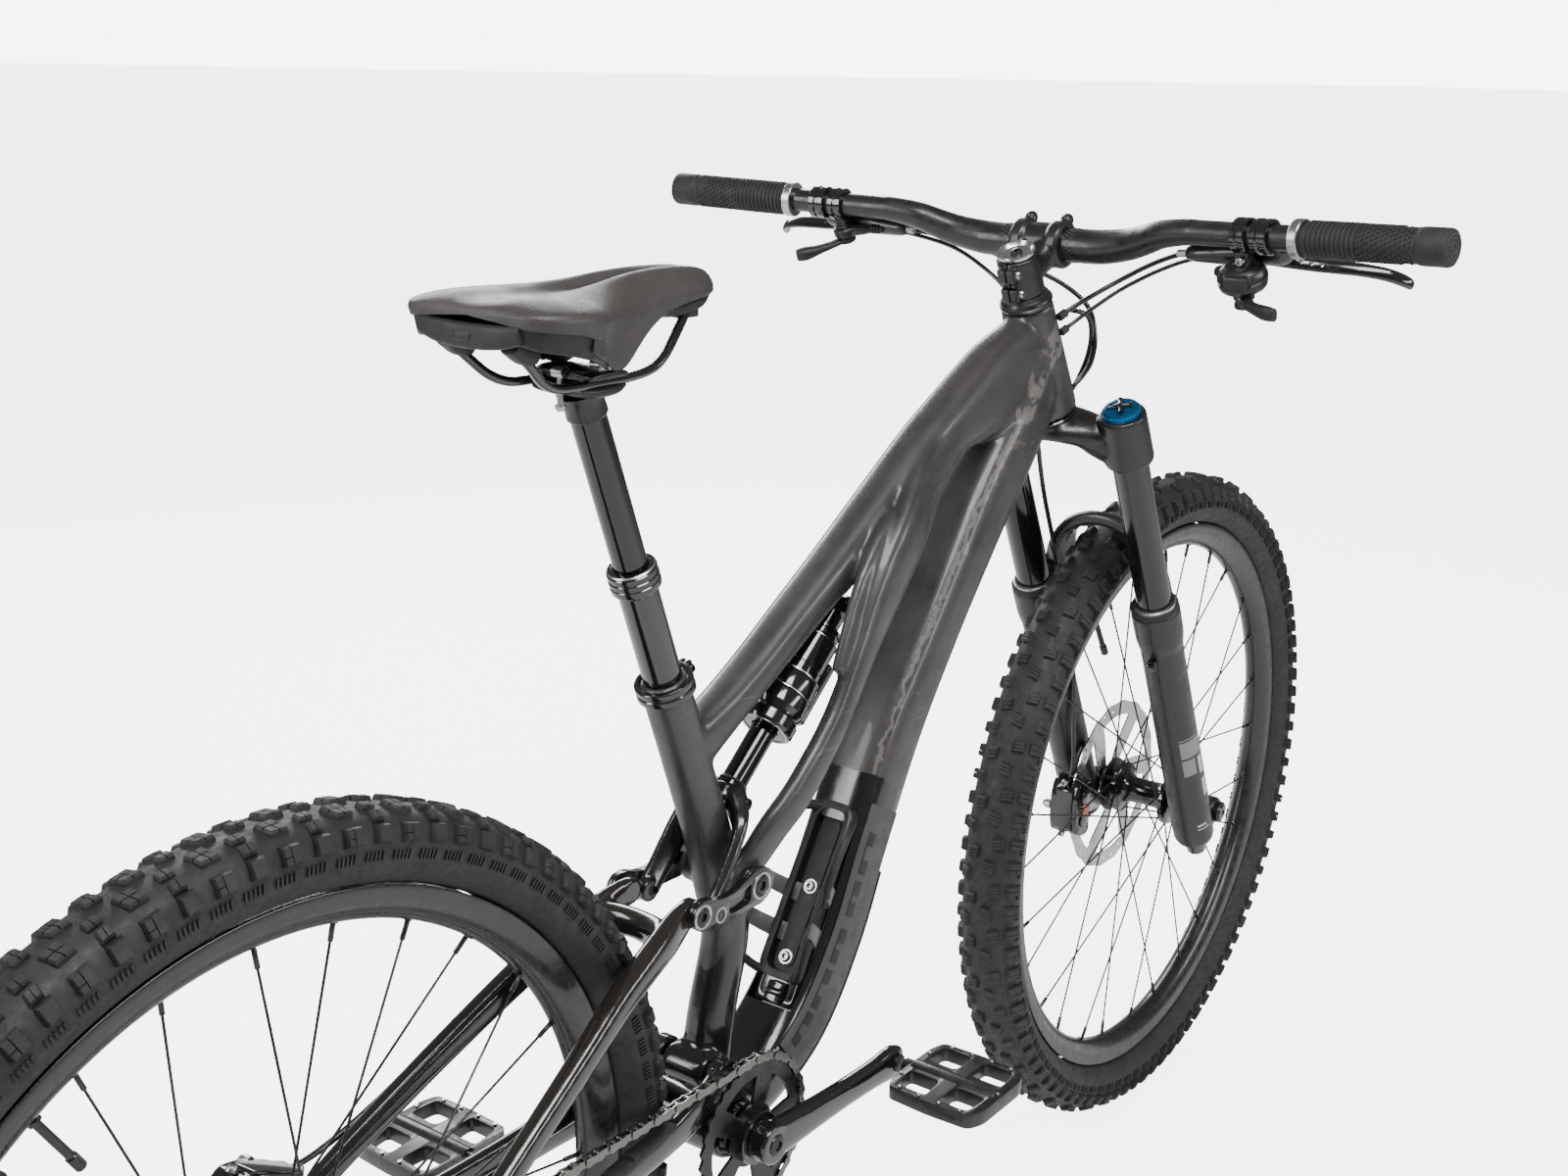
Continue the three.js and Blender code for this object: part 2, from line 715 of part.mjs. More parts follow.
const front = block(SPLIT, 140, -80, 80, 100, 220);
const behind = block(-100, SPLIT + GAP, -80, 80, 100, 220);
piece(steering, "stem", carbon, cut(stemWhole(), front));
piece(steering, "stem_faceplate", carbon, cut(stemWhole(), behind));
piece(steering, "stem_top_cap", steel, bar(at(0, 0, 174.3), at(0, 0, 179), 18, 14, 16));
piece(steering, "handlebar", satinBlack, handlebar());
piece(steering, "grip_left", rubber, grip(1));
piece(steering, "grip_right", rubber, grip(-1));
piece(steering, "brake_master_left", satinBlack, brakeMaster(1));
piece(steering, "brake_master_right", satinBlack, brakeMaster(-1));
piece(steering, "brake_lever_left", glossBlack, turnedOnBar(brakeLever(1), BRAKE_DROP));
piece(steering, "brake_lever_right", glossBlack, turnedOnBar(brakeLever(-1), BRAKE_DROP));
piece(steering, "shifter_body", glossBlack, shifterBody());
piece(steering, "shift_paddle_main", glossBlack, turnedOnBar(paddle(-214, 143, 4, -8), SHIFT_DROP));
piece(
  steering,
  "shift_paddle_release",
  glossBlack,
  turnedOnBar(paddle(-200, 134.5, 24, 14), SHIFT_DROP),
);
piece(steering, "dropper_mount", satinBlack, dropperMount());
piece(steering, "dropper_lever", satinBlack, dropperLever());

// ---- Wheels --------------------------------------------------------------
function tyre({ outer, width }) {
  const side = [
    [RIM.outer + 0.6, 15],
    [332, 27],
    [347, width / 2],
    [362, 0.92 * (width / 2)],
    [outer, 15],
  ];
  const low = side.map(([r, y]) => [r, -y]);
  const profile = [...low, ...side.slice().reverse(), low[0]];
  return turned(profile, 36);
}

function rim() {
  const { outer, inner, halfWidth } = RIM;
  const profile = [
    [inner, -halfWidth + 4],
    [outer, -halfWidth],
    [outer, halfWidth],
    [inner, halfWidth - 4],
    [inner, -halfWidth + 4],
  ];
  return turned(profile, 36);
}

// Spokes laced three over, hooked into the flanges of their hub.
function lacedHub(profile, flanges) {
  const crossing = THREE.MathUtils.degToRad(62);
  const spokes = Array.from({ length: SPOKES }, (_, i) => {
    const { y, r } = flanges[i % 2];
    const lean = i % 4 < 2 ? 1 : -1; // leading and trailing spokes pass without touching
    const rimTurn = (2 * Math.PI * i) / SPOKES;
    const hubTurn = rimTurn + lean * crossing;
    const hubY = y + 1.9 * lean;
    const rimY = 3 * Math.sign(y) + 1.9 * lean;
    const inner = at((r - 3) * Math.cos(hubTurn), hubY, (r - 3) * Math.sin(hubTurn));
    const end = RIM.inner - 1.9;
    const outer = at(end * Math.cos(rimTurn), rimY, end * Math.sin(rimTurn));
    return bar(inner, outer, 1.1, 3);
  });
  return join(turned(profile, 16), ...spokes);
}

function frontHubShell() {
  const half = HUB.frontHalf - GAP;
  const profile = [
    [7.9, -half],
    [10.5, -half],
    [10.5, -36],
    [28, -33],
    [28, -28],
    [15, -24],
    [15, 22],
    [28, 26],
    [28, 31],
    [22, 34],
    [22, 47],
    [10.5, 48],
    [10.5, half],
    [7.9, half],
    [7.9, -half],
  ];
  return lacedHub(profile, [{ y: 28.5, r: 28 }, { y: -30.5, r: 28 }]);
}

function rearHubShell() {
  const half = HUB.rearHalf - GAP;
  const profile = [
    [6.4, -half],
    [9, -half],
    [17, -71],
    [17, -34],
    [29, -30],
    [29, -25],
    [16, -20],
    [16, 30],
    [29, 35],
    [29, 40],
    [22, 43],
    [22, 58],
    [9, 59],
    [9, half],
    [6.4, half],
    [6.4, -half],
  ];
  return lacedHub(profile, [{ y: 37.5, r: 29 }, { y: -27.5, r: 29 }]);
}

const rotor = (radius, y) => ring([0, 0], y - ROTOR.half, y + ROTOR.half, radius, 22.4, 24);

function cassette() {
  const steps = [
    [-70, 24],
    [-57.5, 41],
    [-47.5, 56],
    [-42, 80],
    [-38, 102],
    [-34.5, 102],
  ];
  const profile = [[17.4, -70]];
  steps.forEach(([y, r], i) => {
    if (i > 0) profile.push([steps[i - 1][1], y]);
    profile.push([r, y]);
  });
  profile.push([17.4, -34.5], [17.4, -70]);
  return turned(profile, 16);
}

piece(frontHub, "front_tyre", tyreRubber, tyre(TYRE_FRONT));
piece(frontHub, "front_rim", satinBlack, rim());
piece(frontHub, "front_hub_spokes", glossBlack, frontHubShell());
piece(frontHub, "front_rotor", steel, rotor(ROTOR.frontR, ROTOR.frontY));
piece(rearHub, "rear_tyre", tyreRubber, tyre(TYRE_REAR));
piece(rearHub, "rear_rim", satinBlack, rim());
piece(rearHub, "rear_hub_spokes", steel, rearHubShell());
piece(rearHub, "rear_rotor", steel, rotor(ROTOR.rearR, ROTOR.rearY));
piece(rearHub, "cassette", steel, cassette());

// ---- Rear suspension -----------------------------------------------------
const DROPOUT = { inner: 74.3, outer: 80 };

function chainstays() {
  const arms = [1, -1].map((side) =>
    tube(
      [
        [MAIN_PIVOT[0], side * 31, MAIN_PIVOT[1], 14, 7],
        [-62, side * 42, 383, 14, 6],
        [-150, side * 49, 374, 11, 6],
        [-290, side * 67, 364, 9, 6],
        [-360, side * 83, 361, 9, 4.5],
        [HORST_PIVOT[0], side * 84.5, HORST_PIVOT[1], 10, 3.8],
      ],
      8,
    ),
  );
  const ears = [1, -1].map((side) => pin(MAIN_PIVOT, side * 31 - 7, side * 31 + 7, 16));
  const bridge = block(-56, -42, -40, 40, 374, 394);
  const horstEars = [1, -1].map((side) => pin(HORST_PIVOT, side * 84.5 - 4, side * 84.5 + 4, 11));
  return join(...arms, ...ears, bridge, ...horstEars);
}

function seatstays() {
  const arms = [1, -1].map((side) =>
    tube(
      [
        [STAY_PIVOT[0], side * 31.5, STAY_PIVOT[1], 8, 5.5],
        [-95, side * 35.5, 541, 9, 5.5],
        [-150, side * 46, 522, 9, 6],
        [-260, side * 60, 466, 8, 6],
        [-370, side * 74, 402, 9, 5],
        [-425, side * 77.2, 380, 10, 2.8],
      ],
      8,
    ),
  );
  const eyes = [1, -1].map((side) => pin(STAY_PIVOT, side * 31.5 - 6, side * 31.5 + 6, 10));
  const bridge = pin([-91, 542], -36, 36, 6.5, 8);
  const dropouts = [1, -1].map((side) =>
    join(
      pin([REAR_X, WHEEL_Z], side * 77.15 - 2.85, side * 77.15 + 2.85, 17),
      plate(
        [
          [REAR_X, WHEEL_Z - 15],
          [HORST_PIVOT[0] + 8, HORST_PIVOT[1] - 8],
          [HORST_PIVOT[0] + 12, HORST_PIVOT[1] + 10],
          [-370, 400],
          [REAR_X, WHEEL_Z + 15],
        ],
        side * 77.15 - 2.85,
        side * 77.15 + 2.85,
      ),
    ),
  );
  const whole = join(...arms, ...eyes, bridge, ...dropouts);
  return cut(whole, pin([REAR_X, WHEEL_Z], -100, 100, 6.4));
}

function rocker() {
  const cheeks = [1, -1].map((side) =>
    plate(
      [
        [34, 553],
        [28, 565],
        [14, 567],
        [-24, 557],
        [-56, 564],
        [-65, 553],
        [-56, 542],
        [-32, 534],
        [14, 538],
        [30, 542],
      ],
      side * 41.7 - 3.4,
      side * 41.7 + 3.4,
    ),
  );
  const axle = pin(ROCKER_PIVOT, -44, 44, 6);
  return join(...cheeks, axle);
}

function yoke() {
  const arms = [1, -1].map((side) =>
    tube(
      [
        [27, side * 10, 613, 11, 7],
        [18, side * 25, 602, 10, 6],
        [-4, side * 30, 578, 8, 5],
        [YOKE_PIVOT[0], side * 31, YOKE_PIVOT[1], 8, 5],
      ],
      8,
    ),
  );
  const crotch = bar(onShock(SHOCK.shaftEnd + GAP), onShock(SHOCK.shaftEnd + 12), 13, 10);
  const eyes = [1, -1].map((side) => pin(YOKE_PIVOT, side * 31.5 - 5.5, side * 31.5 + 5.5, 9));
  return join(crotch, ...arms, ...eyes);
}

function shockBody() {
  const [canStart, canEnd] = SHOCK.can;
  const eye = bar(at(0, -13, 0), at(0, 13, 0), 11);
  const bolt = bar(at(0, -20, 0), at(0, 20, 0), 4);
  const neck = bar(at(-4, 0, 0), at(-34, 0, 0), 12.5);
  const chamber = bar(at(-29, 0, 0), at(-canStart - 16, 0, 0), 19.5, 14);
  const can = bar(at(-canStart - 12, 0, 0), at(-canEnd, 0, 0), SHOCK.canR, 14);
  const shaftBore = bar(at(-canStart + 2, 0, 0), at(-canEnd - 4, 0, 0), SHOCK.shaftR + GAP, 12);
  return cut(join(eye, bolt, neck, chamber, can), shaftBore);
}

piece(bike, "chainstays", glossBlack, cut(chainstays(), pin(MAIN_PIVOT, -60, 60, 6.4)));
piece(bike, "main_pivot_axle", darkMetal, pin(MAIN_PIVOT, -39, 39, 6));
piece(bike, "seatstays", glossBlack, seatstays());
piece(bike, "rocker_link", glossBlack, rocker());
piece(shock, "shock_body", glossBlack, shockBody());
piece(
  shock,
  "shock_shaft",
  stanchionCoat,
  bar(at(-112, 0, 0), at(-SHOCK.shaftEnd, 0, 0), SHOCK.shaftR, 12),
);
piece(bike, "shock_yoke", glossBlack, yoke());
piece(rearHub, "rear_axle", darkMetal, bar(at(0, -86, 0), at(0, 84, 0), 6));
piece(bike, "rear_caliper", glossBlack, caliper(-400, 448, ROTOR.rearY, 0.46));

// ---- Drive ---------------------------------------------------------------
function bottomBracket() {
  const profile = [
    [15.2, -44],
    [22.5, -44],
    [22.5, -36.3],
    [20.7, -36.3],
    [20.7, 36.3],
    [22.5, 36.3],
    [22.5, 44],
    [15.2, 44],
    [15.2, -44],
  ];
  return turned(profile, 14).translate(BB[0], 0, BB[1]);
}

const PEDAL = { y: [88, 188], high: 8, long: 48 };

function crankArm(side) {
  const reach = -side * CRANK_ARM; // the right arm points ahead, the left arm back
  return pipe(
    [
      [0, side * 72, BB[1], 14],
      [reach * 0.25, side * 73, BB[1], 12],
      [reach * 0.8, side * 76, BB[1], 10],
      [reach, side * 77, BB[1], 13],
      [reach * 1.05, side * 77, BB[1], 11],
    ],
    at(0, 0, 1),
    10,
  );
}

function crankRight() {
  const spindle = pin(BB, -72, 46, 14.4, 12);
  return join(crankArm(-1), spindle);
}

function crankLeft() {
  return join(crankArm(1), pin(BB, 46.3, 72, 14.4, 12));
}

function pedal(side) {
  const x = -side * CRANK_ARM;
  const [near, far] = PEDAL.y;
  const body = block(
    x - PEDAL.long,
    x + PEDAL.long,
    Math.min(side * (near + 8), side * far),
    Math.max(side * (near + 8), side * far),
    BB[1] - PEDAL.high,
    BB[1] + PEDAL.high,
  );
  const neck = pin([x, BB[1]], side * (near + 2.5), side * (near + 12), 7);
  return join(body, neck);
}

// The path of a chain round circles [x, z, radius, sense], sense +1 when the chain
// turns from +x towards +z. Gives points of the path moved outwards by `out`.
function chainPath(circles, out) {
  const points = [];
  const headings = circles.map(([x, z, r, s], i) => {
    const [x2, z2, r2, s2] = circles[(i + 1) % circles.length];
    const slope = Math.atan2(z2 - z, x2 - x);
    return slope + Math.asin((s * r - s2 * r2) / Math.hypot(x2 - x, z2 - z));
  });
  circles.forEach(([x, z, r, s], i) => {
    const from = headings[(i + circles.length - 1) % circles.length];
    const full = 2 * Math.PI;
    const sweep = s * ((((s * (headings[i] - from)) % full) + full) % full);
    const steps = Math.max(2, Math.ceil(Math.abs(sweep) / 0.4));
    for (let k = 0; k <= steps; k++) {
      const heading = from + (sweep * k) / steps;
      const reach = s * r + out;
      points.push([x + reach * Math.sin(heading), z - reach * Math.cos(heading)]);
    }
  });
  return points;
}

function chain() {
  const circles = [
    [BB[0], BB[1], CHAINRING_R, 1],
    [REAR_X, WHEEL_Z, DRIVE_COG_R, 1],
    [GUIDE[0], GUIDE[1], JOCKEY_R + CHAIN.thick, -1],
    [TENSION[0], TENSION[1], JOCKEY_R, 1],
  ];
  const toPoints = (path) => path.map(([x, z]) => new THREE.Vector2(x, z));
  const loop = new THREE.Shape(toPoints(chainPath(circles, CHAIN.thick)));
  loop.holes.push(new THREE.Path(toPoints(chainPath(circles, 0))));
  const geometry = new THREE.ExtrudeGeometry(loop, { depth: 2 * CHAIN.half, bevelEnabled: false });
  return geometry.rotateX(Math.PI / 2).translate(0, CHAIN_Y + CHAIN.half, 0);
}

function derailleur() {
  const hanger = plate(
    [
      [REAR_X - 12, WHEEL_Z - 19],
      [REAR_X + 10, WHEEL_Z - 19],
      [REAR_X + 2, WHEEL_Z - 48],
      [REAR_X - 12, WHEEL_Z - 48],
    ],
    -80,
    -74.5,
  );
  const body = pipe(
    [
      [REAR_X - 4, -80, WHEEL_Z - 42, 11],
      [REAR_X - 2, -88, 312, 14],
      [GUIDE[0], -84, GUIDE[1], 14],
      [GUIDE[0], -74, GUIDE[1], 14],
    ],
    at(1, 0, 0),
    10,
  );
  return join(hanger, body);
}

function derailleurCage() {
  const cheek = (y0, y1) =>
    plate(
      [
        [GUIDE[0] - 14, GUIDE[1] + 6],
        [GUIDE[0] + 12, GUIDE[1] + 8],
        [TENSION[0] + 12, TENSION[1] - 6],
        [TENSION[0] - 12, TENSION[1] - 10],
      ],
      y0,
      y1,
    );
  const outer = join(cheek(CHAIN_Y - 7.5, CHAIN_Y - 5), pin(GUIDE, -71, -59, 11));
  const wheels = [GUIDE, TENSION].map((centre) => pin(centre, CHAIN_Y - 6, CHAIN_Y + 6, 8));
  const discs = [GUIDE, TENSION].map((centre) =>
    pin(centre, CHAIN_Y - 1, CHAIN_Y + 1, JOCKEY_R - 2 * GAP, 16),
  );
  return join(outer, cheek(CHAIN_Y + 5, CHAIN_Y + 7), ...wheels, ...discs);
}

piece(bike, "bottom_bracket", darkMetal, bottomBracket());
piece(bike, "crank_right", glossBlack, crankRight());
piece(bike, "crank_left", glossBlack, crankLeft());
const ringPlate = ring(BB, CHAIN_Y - 1.5, CHAIN_Y + 1.5, CHAINRING_R - 2, bored(14.4), 24);
piece(bike, "chainring", darkMetal, ringPlate);
piece(bike, "pedal_right", satinBlack, pedal(-1));
piece(bike, "pedal_left", satinBlack, pedal(1));
piece(bike, "chain", steel, chain());
piece(bike, "derailleur", satinBlack, derailleur());
piece(bike, "derailleur_cage", satinBlack, derailleurCage());

// ---- Placing -------------------------------------------------------------
bike.position.x = -(FRONT_X + TYRE_FRONT.outer + REAR_X - TYRE_REAR.outer) / 2;

export default bike;
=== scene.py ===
"""Looks of a full-suspension mountain bike around its CAD frame.

Shapes are written in millimetres with the bottom bracket at x = 0 and the ground at z = 0,
and become metres in the CAD frame when a piece is made.
"""

import math

import bmesh
import bpy
import numpy as np
from mathutils import Matrix


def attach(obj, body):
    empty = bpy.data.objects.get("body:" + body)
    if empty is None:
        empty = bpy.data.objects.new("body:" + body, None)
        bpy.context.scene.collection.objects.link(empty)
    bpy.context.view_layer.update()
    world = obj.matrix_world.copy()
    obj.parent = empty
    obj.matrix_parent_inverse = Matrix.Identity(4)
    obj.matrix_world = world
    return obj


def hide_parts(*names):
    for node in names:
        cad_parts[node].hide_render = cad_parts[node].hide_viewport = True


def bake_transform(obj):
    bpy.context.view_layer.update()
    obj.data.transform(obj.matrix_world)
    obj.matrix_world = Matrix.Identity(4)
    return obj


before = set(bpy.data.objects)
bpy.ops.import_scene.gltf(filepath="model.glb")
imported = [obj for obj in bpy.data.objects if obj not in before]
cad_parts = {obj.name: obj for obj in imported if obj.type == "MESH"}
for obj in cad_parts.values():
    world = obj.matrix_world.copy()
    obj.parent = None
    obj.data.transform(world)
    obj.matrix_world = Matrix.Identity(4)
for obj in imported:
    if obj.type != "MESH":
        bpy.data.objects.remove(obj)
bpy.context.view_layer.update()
TAU = 2 * math.pi
X0 = 186.0  # the bottom bracket is this far ahead of the CAD origin


# ---- Places ---------------------------------------------------------------
class Place:
    """A local frame: points in it become points in the bike's frame."""

    def __init__(self, origin=(0, 0, 0), turn=0.0):
        c, s = math.cos(turn), math.sin(turn)
        self.origin = np.array(origin, float)
        self.axes = np.array([[c, 0, s], [0, 1, 0], [-s, 0, c]])

    def __call__(self, points):
        return np.asarray(points, float) @ self.axes + self.origin


HEAD = math.radians(64.5)
UP = np.array([-math.cos(HEAD), 0, math.sin(HEAD)])
AHEAD = np.array([math.sin(HEAD), 0, math.cos(HEAD)])
REAR = (-436.8, 0, 373)
FRONT = (806.8, 0, 373)
CROWN = np.array(FRONT) - 44 * AHEAD + 559 * UP
BIKE = Place()
STEER = Place(CROWN, math.pi / 2 - HEAD)
SEAT = Place((-49, 0, 737), math.pi / 2 - math.radians(69.5))
SHOCK = Place((176, 0, 741), math.radians(40.6))
STORE = Place((141, 0, 471), math.atan2(0.842, 0.54))
FRONT_HUB = Place(FRONT)
REAR_HUB = Place(REAR)


# Axles and pivots as [x, z], in the bike's frame.
BB = (0, 340)
REAR_AXLE = (-436.8, 373)
MAIN_PIVOT = (-12, 390)
HORST_PIVOT = (-398.8, 361)
ROCKER_PIVOT = (19.4, 553)
STAY_PIVOT = (-54.5, 553)
YOKE_PIVOT = (-31.6, 546)

# In the steering frame: the front axle and the bar as [x, z], and where the fork's legs stand.
FORK_AXLE = (44, -559)
BAR_CLAMP = (46, 160)
LEG_X = 17
LEG_Y = 70.8


def leg_at(side):
    return LEG_X, side * LEG_Y


# ---- Shapes: each is (points, faces) ----------------------------------------
def moved(shape, by=(0, 0, 0), turn=None):
    """The shape turned by a matrix, then shifted."""
    v, f = shape
    v = np.asarray(v, float)
    if turn is not None:
        v = v @ np.array(turn).T
    return v + np.array(by, float), f


def merged(*shapes):
    """Several shapes as one."""
    points, faces, n = [], [], 0
    for v, f in shapes:
        points.append(np.asarray(v, float))
        faces += [tuple(i + n for i in face) for face in f]
        n += len(v)
    return np.concatenate(points), faces


def smooth_line(points, steps=8):
    """Catmull-Rom curve through rows of numbers, closed at neither end."""
    p = np.asarray(points, float)
    p = np.vstack([2 * p[0] - p[1], p, 2 * p[-1] - p[-2]])
    out = []
    for i in range(1, len(p) - 2):
        a, b, c, d = p[i - 1 : i + 3]
        for k in range(steps):
            t = k / steps
            out.append(
                0.5
                * (
                    2 * b
                    + (c - a) * t
                    + (2 * a - 5 * b + 4 * c - d) * t * t
                    + (3 * b - a - 3 * c + d) * t**3
                )
            )
    out.append(p[-2])
    return np.array(out)


def loft(rings, caps=True, closed=False):
    """A skin over rings of equal count; the ring runs anticlockwise seen from its end."""
    rings = [np.asarray(r, float) for r in rings]
    n, m = len(rings[0]), len(rings)
    faces = []
    for i in range(m if closed else m - 1):
        a, b = i * n, ((i + 1) % m) * n
        for j in range(n):
            k = (j + 1) % n
            faces.append((a + j, a + k, b + k, b + j))
    if caps and not closed:
        faces.append(tuple(reversed(range(n))))
        faces.append(tuple((m - 1) * n + j for j in range(n)))
    return np.concatenate(rings), faces


def oval(wide, high, n=24, power=1.0, phase=0.5):
    """A ring of [side, up] points; power below 1 makes it squarer."""
    t = TAU * (np.arange(n) + phase) / n
    c, s = np.cos(t), np.sin(t)
    return np.c_[
        wide * np.sign(c) * abs(c) ** power,
        high * np.sign(s) * abs(s) ** power,
    ]


def along(points, sections, up=(0, 0, 1)):
    """Lofts 2-D sections [side, up] along a line, turning as little as possible."""
    p = np.asarray(points, float)
    d = np.gradient(p, axis=0)
    d /= np.linalg.norm(d, axis=1)[:, None]
    side = np.cross(d[0], up)
    side /= np.linalg.norm(side)
    rings = []
    for i in range(len(p)):
        side = side - d[i] * (side @ d[i])
        side /= np.linalg.norm(side)
        above = np.cross(side, d[i])
        section = sections[i] if isinstance(sections, list) else sections
        rings.append(p[i] + section[:, :1] * -side + section[:, 1:] * above)
    return loft(rings)


def sweep(points, radius, n=12, steps=6, up=(0, 0, 1)):
    """A round rod through points; radius is one number, or one for each point."""
    r = np.broadcast_to(np.asarray(radius, float), (len(points),))
    line = smooth_line(np.c_[np.asarray(points, float), r], steps)
    circle = oval(1, 1, n)
    return along(line[:, :3], [circle * k for k in line[:, 3]], up)


def tube(stations, n=28, power=0.8, steps=8):
    """A frame tube through [x, y, z, half height, half width]."""
    s = smooth_line(stations, steps)
    return along(s[:, :3], [oval(w, h, n, power) for h, w in s[:, 3:]])


AXES = {"x": (1, 0, 0), "y": (0, 1, 0), "z": (0, 0, 1)}


def basis(direction):
    """A turn that takes the y axis to a direction."""
    y = np.array(AXES[direction] if isinstance(direction, str) else direction, float)
    y /= np.linalg.norm(y)
    x = np.cross(y, (0, 0, 1) if abs(y[2]) < 0.9 else (1, 0, 0))
    x /= np.linalg.norm(x)
    return np.c_[x, y, np.cross(x, y)]


def lathe(profile, n=48, axis="y", at=(0, 0, 0)):
    """[radius, distance along the axis] points turned about the axis."""
    rings, faces, start, points = [], [], [], []
    for r, t in profile:
        start.append(len(points))
        if r < 1e-6:
            points.append((0, t, 0))
            rings.append(1)
        else:
            for k in range(n):
                points.append((r * math.cos(TAU * k / n), t, r * math.sin(TAU * k / n)))
            rings.append(n)
    for i in range(len(profile) - 1):
        a, b = start[i], start[i + 1]
        for k in range(n):
            q = (k + 1) % n
            if rings[i] == 1 and rings[i + 1] == 1:
                continue
            if rings[i] == 1:
                faces.append((a, b + k, b + q))
            elif rings[i + 1] == 1:
                faces.append((a + k, b, a + q))
            else:
                faces.append((a + k, b + k, b + q, a + q))
    closed = profile[0] == profile[-1]
    if closed:
        last = start[-1]
        faces = [tuple(i - last if i >= last else i for i in f) for f in faces]
        points = points[:last]
    return moved((points, faces), at, basis(axis))


def rod(a, b, r, n=24, ends=0.6, r2=None):
    """A round bar from a to b with small chamfers."""
    a, b = np.array(a, float), np.array(b, float)
    r2 = r if r2 is None else r2
    length = float(np.linalg.norm(b - a))
    profile = [
        (0, 0),
        (r - ends, 0),
        (r, ends),
        (r2, length - ends),
        (r2 - ends, length),
        (0, length),
    ]
    return lathe(profile, n, b - a, a)


def box(lo, hi):
    """A box between two corners."""
    (x0, y0, z0), (x1, y1, z1) = lo, hi
    v = [(x, y, z) for x in (x0, x1) for y in (y0, y1) for z in (z0, z1)]
    f = [(0, 1, 3, 2), (4, 6, 7, 5), (0, 4, 5, 1), (2, 3, 7, 6), (0, 2, 6, 4), (1, 5, 7, 3)]
    return np.array(v, float), f


def prism(outline, y0, y1):
    """[x, z] corners, anticlockwise seen from -y, made solid from y0 to y1."""
    n = len(outline)
    low = [(x, y0, z) for x, z in outline]
    high = [(x, y1, z) for x, z in outline]
    faces = [tuple(range(n)), tuple(reversed(range(n, 2 * n)))]
    faces += [(i, i + n, (i + 1) % n + n, (i + 1) % n) for i in range(n)]
    return np.array(low + high, float), faces


def bolt(at, direction, r=4.5, tall=3.0, socket=2.4):
    """A button head with a socket, standing on a face along a direction."""
    profile = [
        (0, tall * 0.25),
        (socket, tall * 0.25),
        (socket, tall),
        (r * 0.72, tall),
        (r * 0.95, tall * 0.6),
        (r, tall * 0.2),
        (r, 0),
        (0, 0),
    ]
    return lathe([(a, t) for a, t in reversed(profile)], 18, direction, at)


def rounded(corners, radius=3.0, steps=4):
    """A polygon with rounded corners."""
    p = np.asarray(corners, float)
    out = []
    for i in range(len(p)):
        before, here, after = p[i - 1], p[i], p[(i + 1) % len(p)]
        a, b = before - here, after - here
        la, lb = np.linalg.norm(a), np.linalg.norm(b)
        cut = min(radius, 0.45 * la, 0.45 * lb)
        start, end = here + a / la * cut, here + b / lb * cut
        for k in range(steps + 1):
            t = k / steps
            out.append((1 - t) ** 2 * start + 2 * t * (1 - t) * here + t * t * end)
    return [tuple(q) for q in out]


def rectangle(x0, y0, x1, y1, radius=3.0, steps=4):
    """A rectangle with rounded corners."""
    return rounded([(x0, y0), (x1, y0), (x1, y1), (x0, y1)], radius, steps)


def cross(at, y0, y1, *sizes):
    """A round bar across the bike at [x, z], from y0 to y1."""
    x, z = at
    return rod((x, y0, z), (x, y1, z), *sizes)


def upright(at, z0, z1, *sizes):
    """A round bar at [x, y], from z0 to z1."""
    return rod((*at, z0), (*at, z1), *sizes)


# ---- Pieces -----------------------------------------------------------------
def to_mesh(name, shape, place=BIKE):
    """A mesh in metres, in the frame of the CAD."""
    v, f = shape
    v = (place(v) - [X0, 0, 0]) / 1000
    mesh = bpy.data.meshes.new(name)
    mesh.from_pydata(v.tolist(), [], f)
    mesh.validate()
    return mesh


def fix_normals(mesh):
    """Turns every face outwards."""
    made = bmesh.new()
    made.from_mesh(mesh)
    bmesh.ops.recalc_face_normals(made, faces=made.faces)
    made.to_mesh(mesh)
    made.free()


def baked(obj):
    """Replaces the object's mesh with the result of its modifiers."""
    graph = bpy.context.evaluated_depsgraph_get()
    mesh = bpy.data.meshes.new_from_object(obj.evaluated_get(graph))
    obj.modifiers.clear()
    obj.data = mesh
    return obj


def piece(
    name, body, material, *shapes, place=BIKE, stands_for=(), slot=None, bevel=0.0,
    rounds=0, angle=35.0, segments=2,
):
    """One visible piece on one body. bevel is in millimetres; rounds is a subdivision level."""
    mesh = to_mesh(name, merged(*shapes), place)
    fix_normals(mesh)
    obj = bpy.data.objects.new(name, mesh)
    bpy.context.scene.collection.objects.link(obj)
    if bevel:
        m = obj.modifiers.new("edge", "BEVEL")
        m.width = bevel / 1000
        m.segments = segments
        m.limit_method = "ANGLE"
        m.angle_limit = math.radians(30)
    if rounds:
        m = obj.modifiers.new("round", "SUBSURF")
        m.levels = m.render_levels = rounds
    if bevel or rounds:
        baked(obj)
    finish_piece(obj, body, material, stands_for, angle)
    return obj


def finish_piece(obj, body, material, stands_for=(), angle=35.0):
    """Gives an object its look, hides the CAD parts it stands for and attaches it to its body; an
    object given two bodies is only baked in place and attached to neither.
    """
    for p in obj.data.polygons:
        p.use_smooth = True
    obj.data.set_sharp_from_angle(angle=math.radians(angle))
    obj.data.materials.clear()
    obj.data.materials.append(material)
    if stands_for:
        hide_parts(*stands_for)
    if isinstance(body, str):
        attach(obj, body)
    elif body:
        a, b, start, end = body
        start, end = [(np.array(p, float) - [X0, 0, 0]) / 1000 for p in (start, end)]
        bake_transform(obj)
    return obj


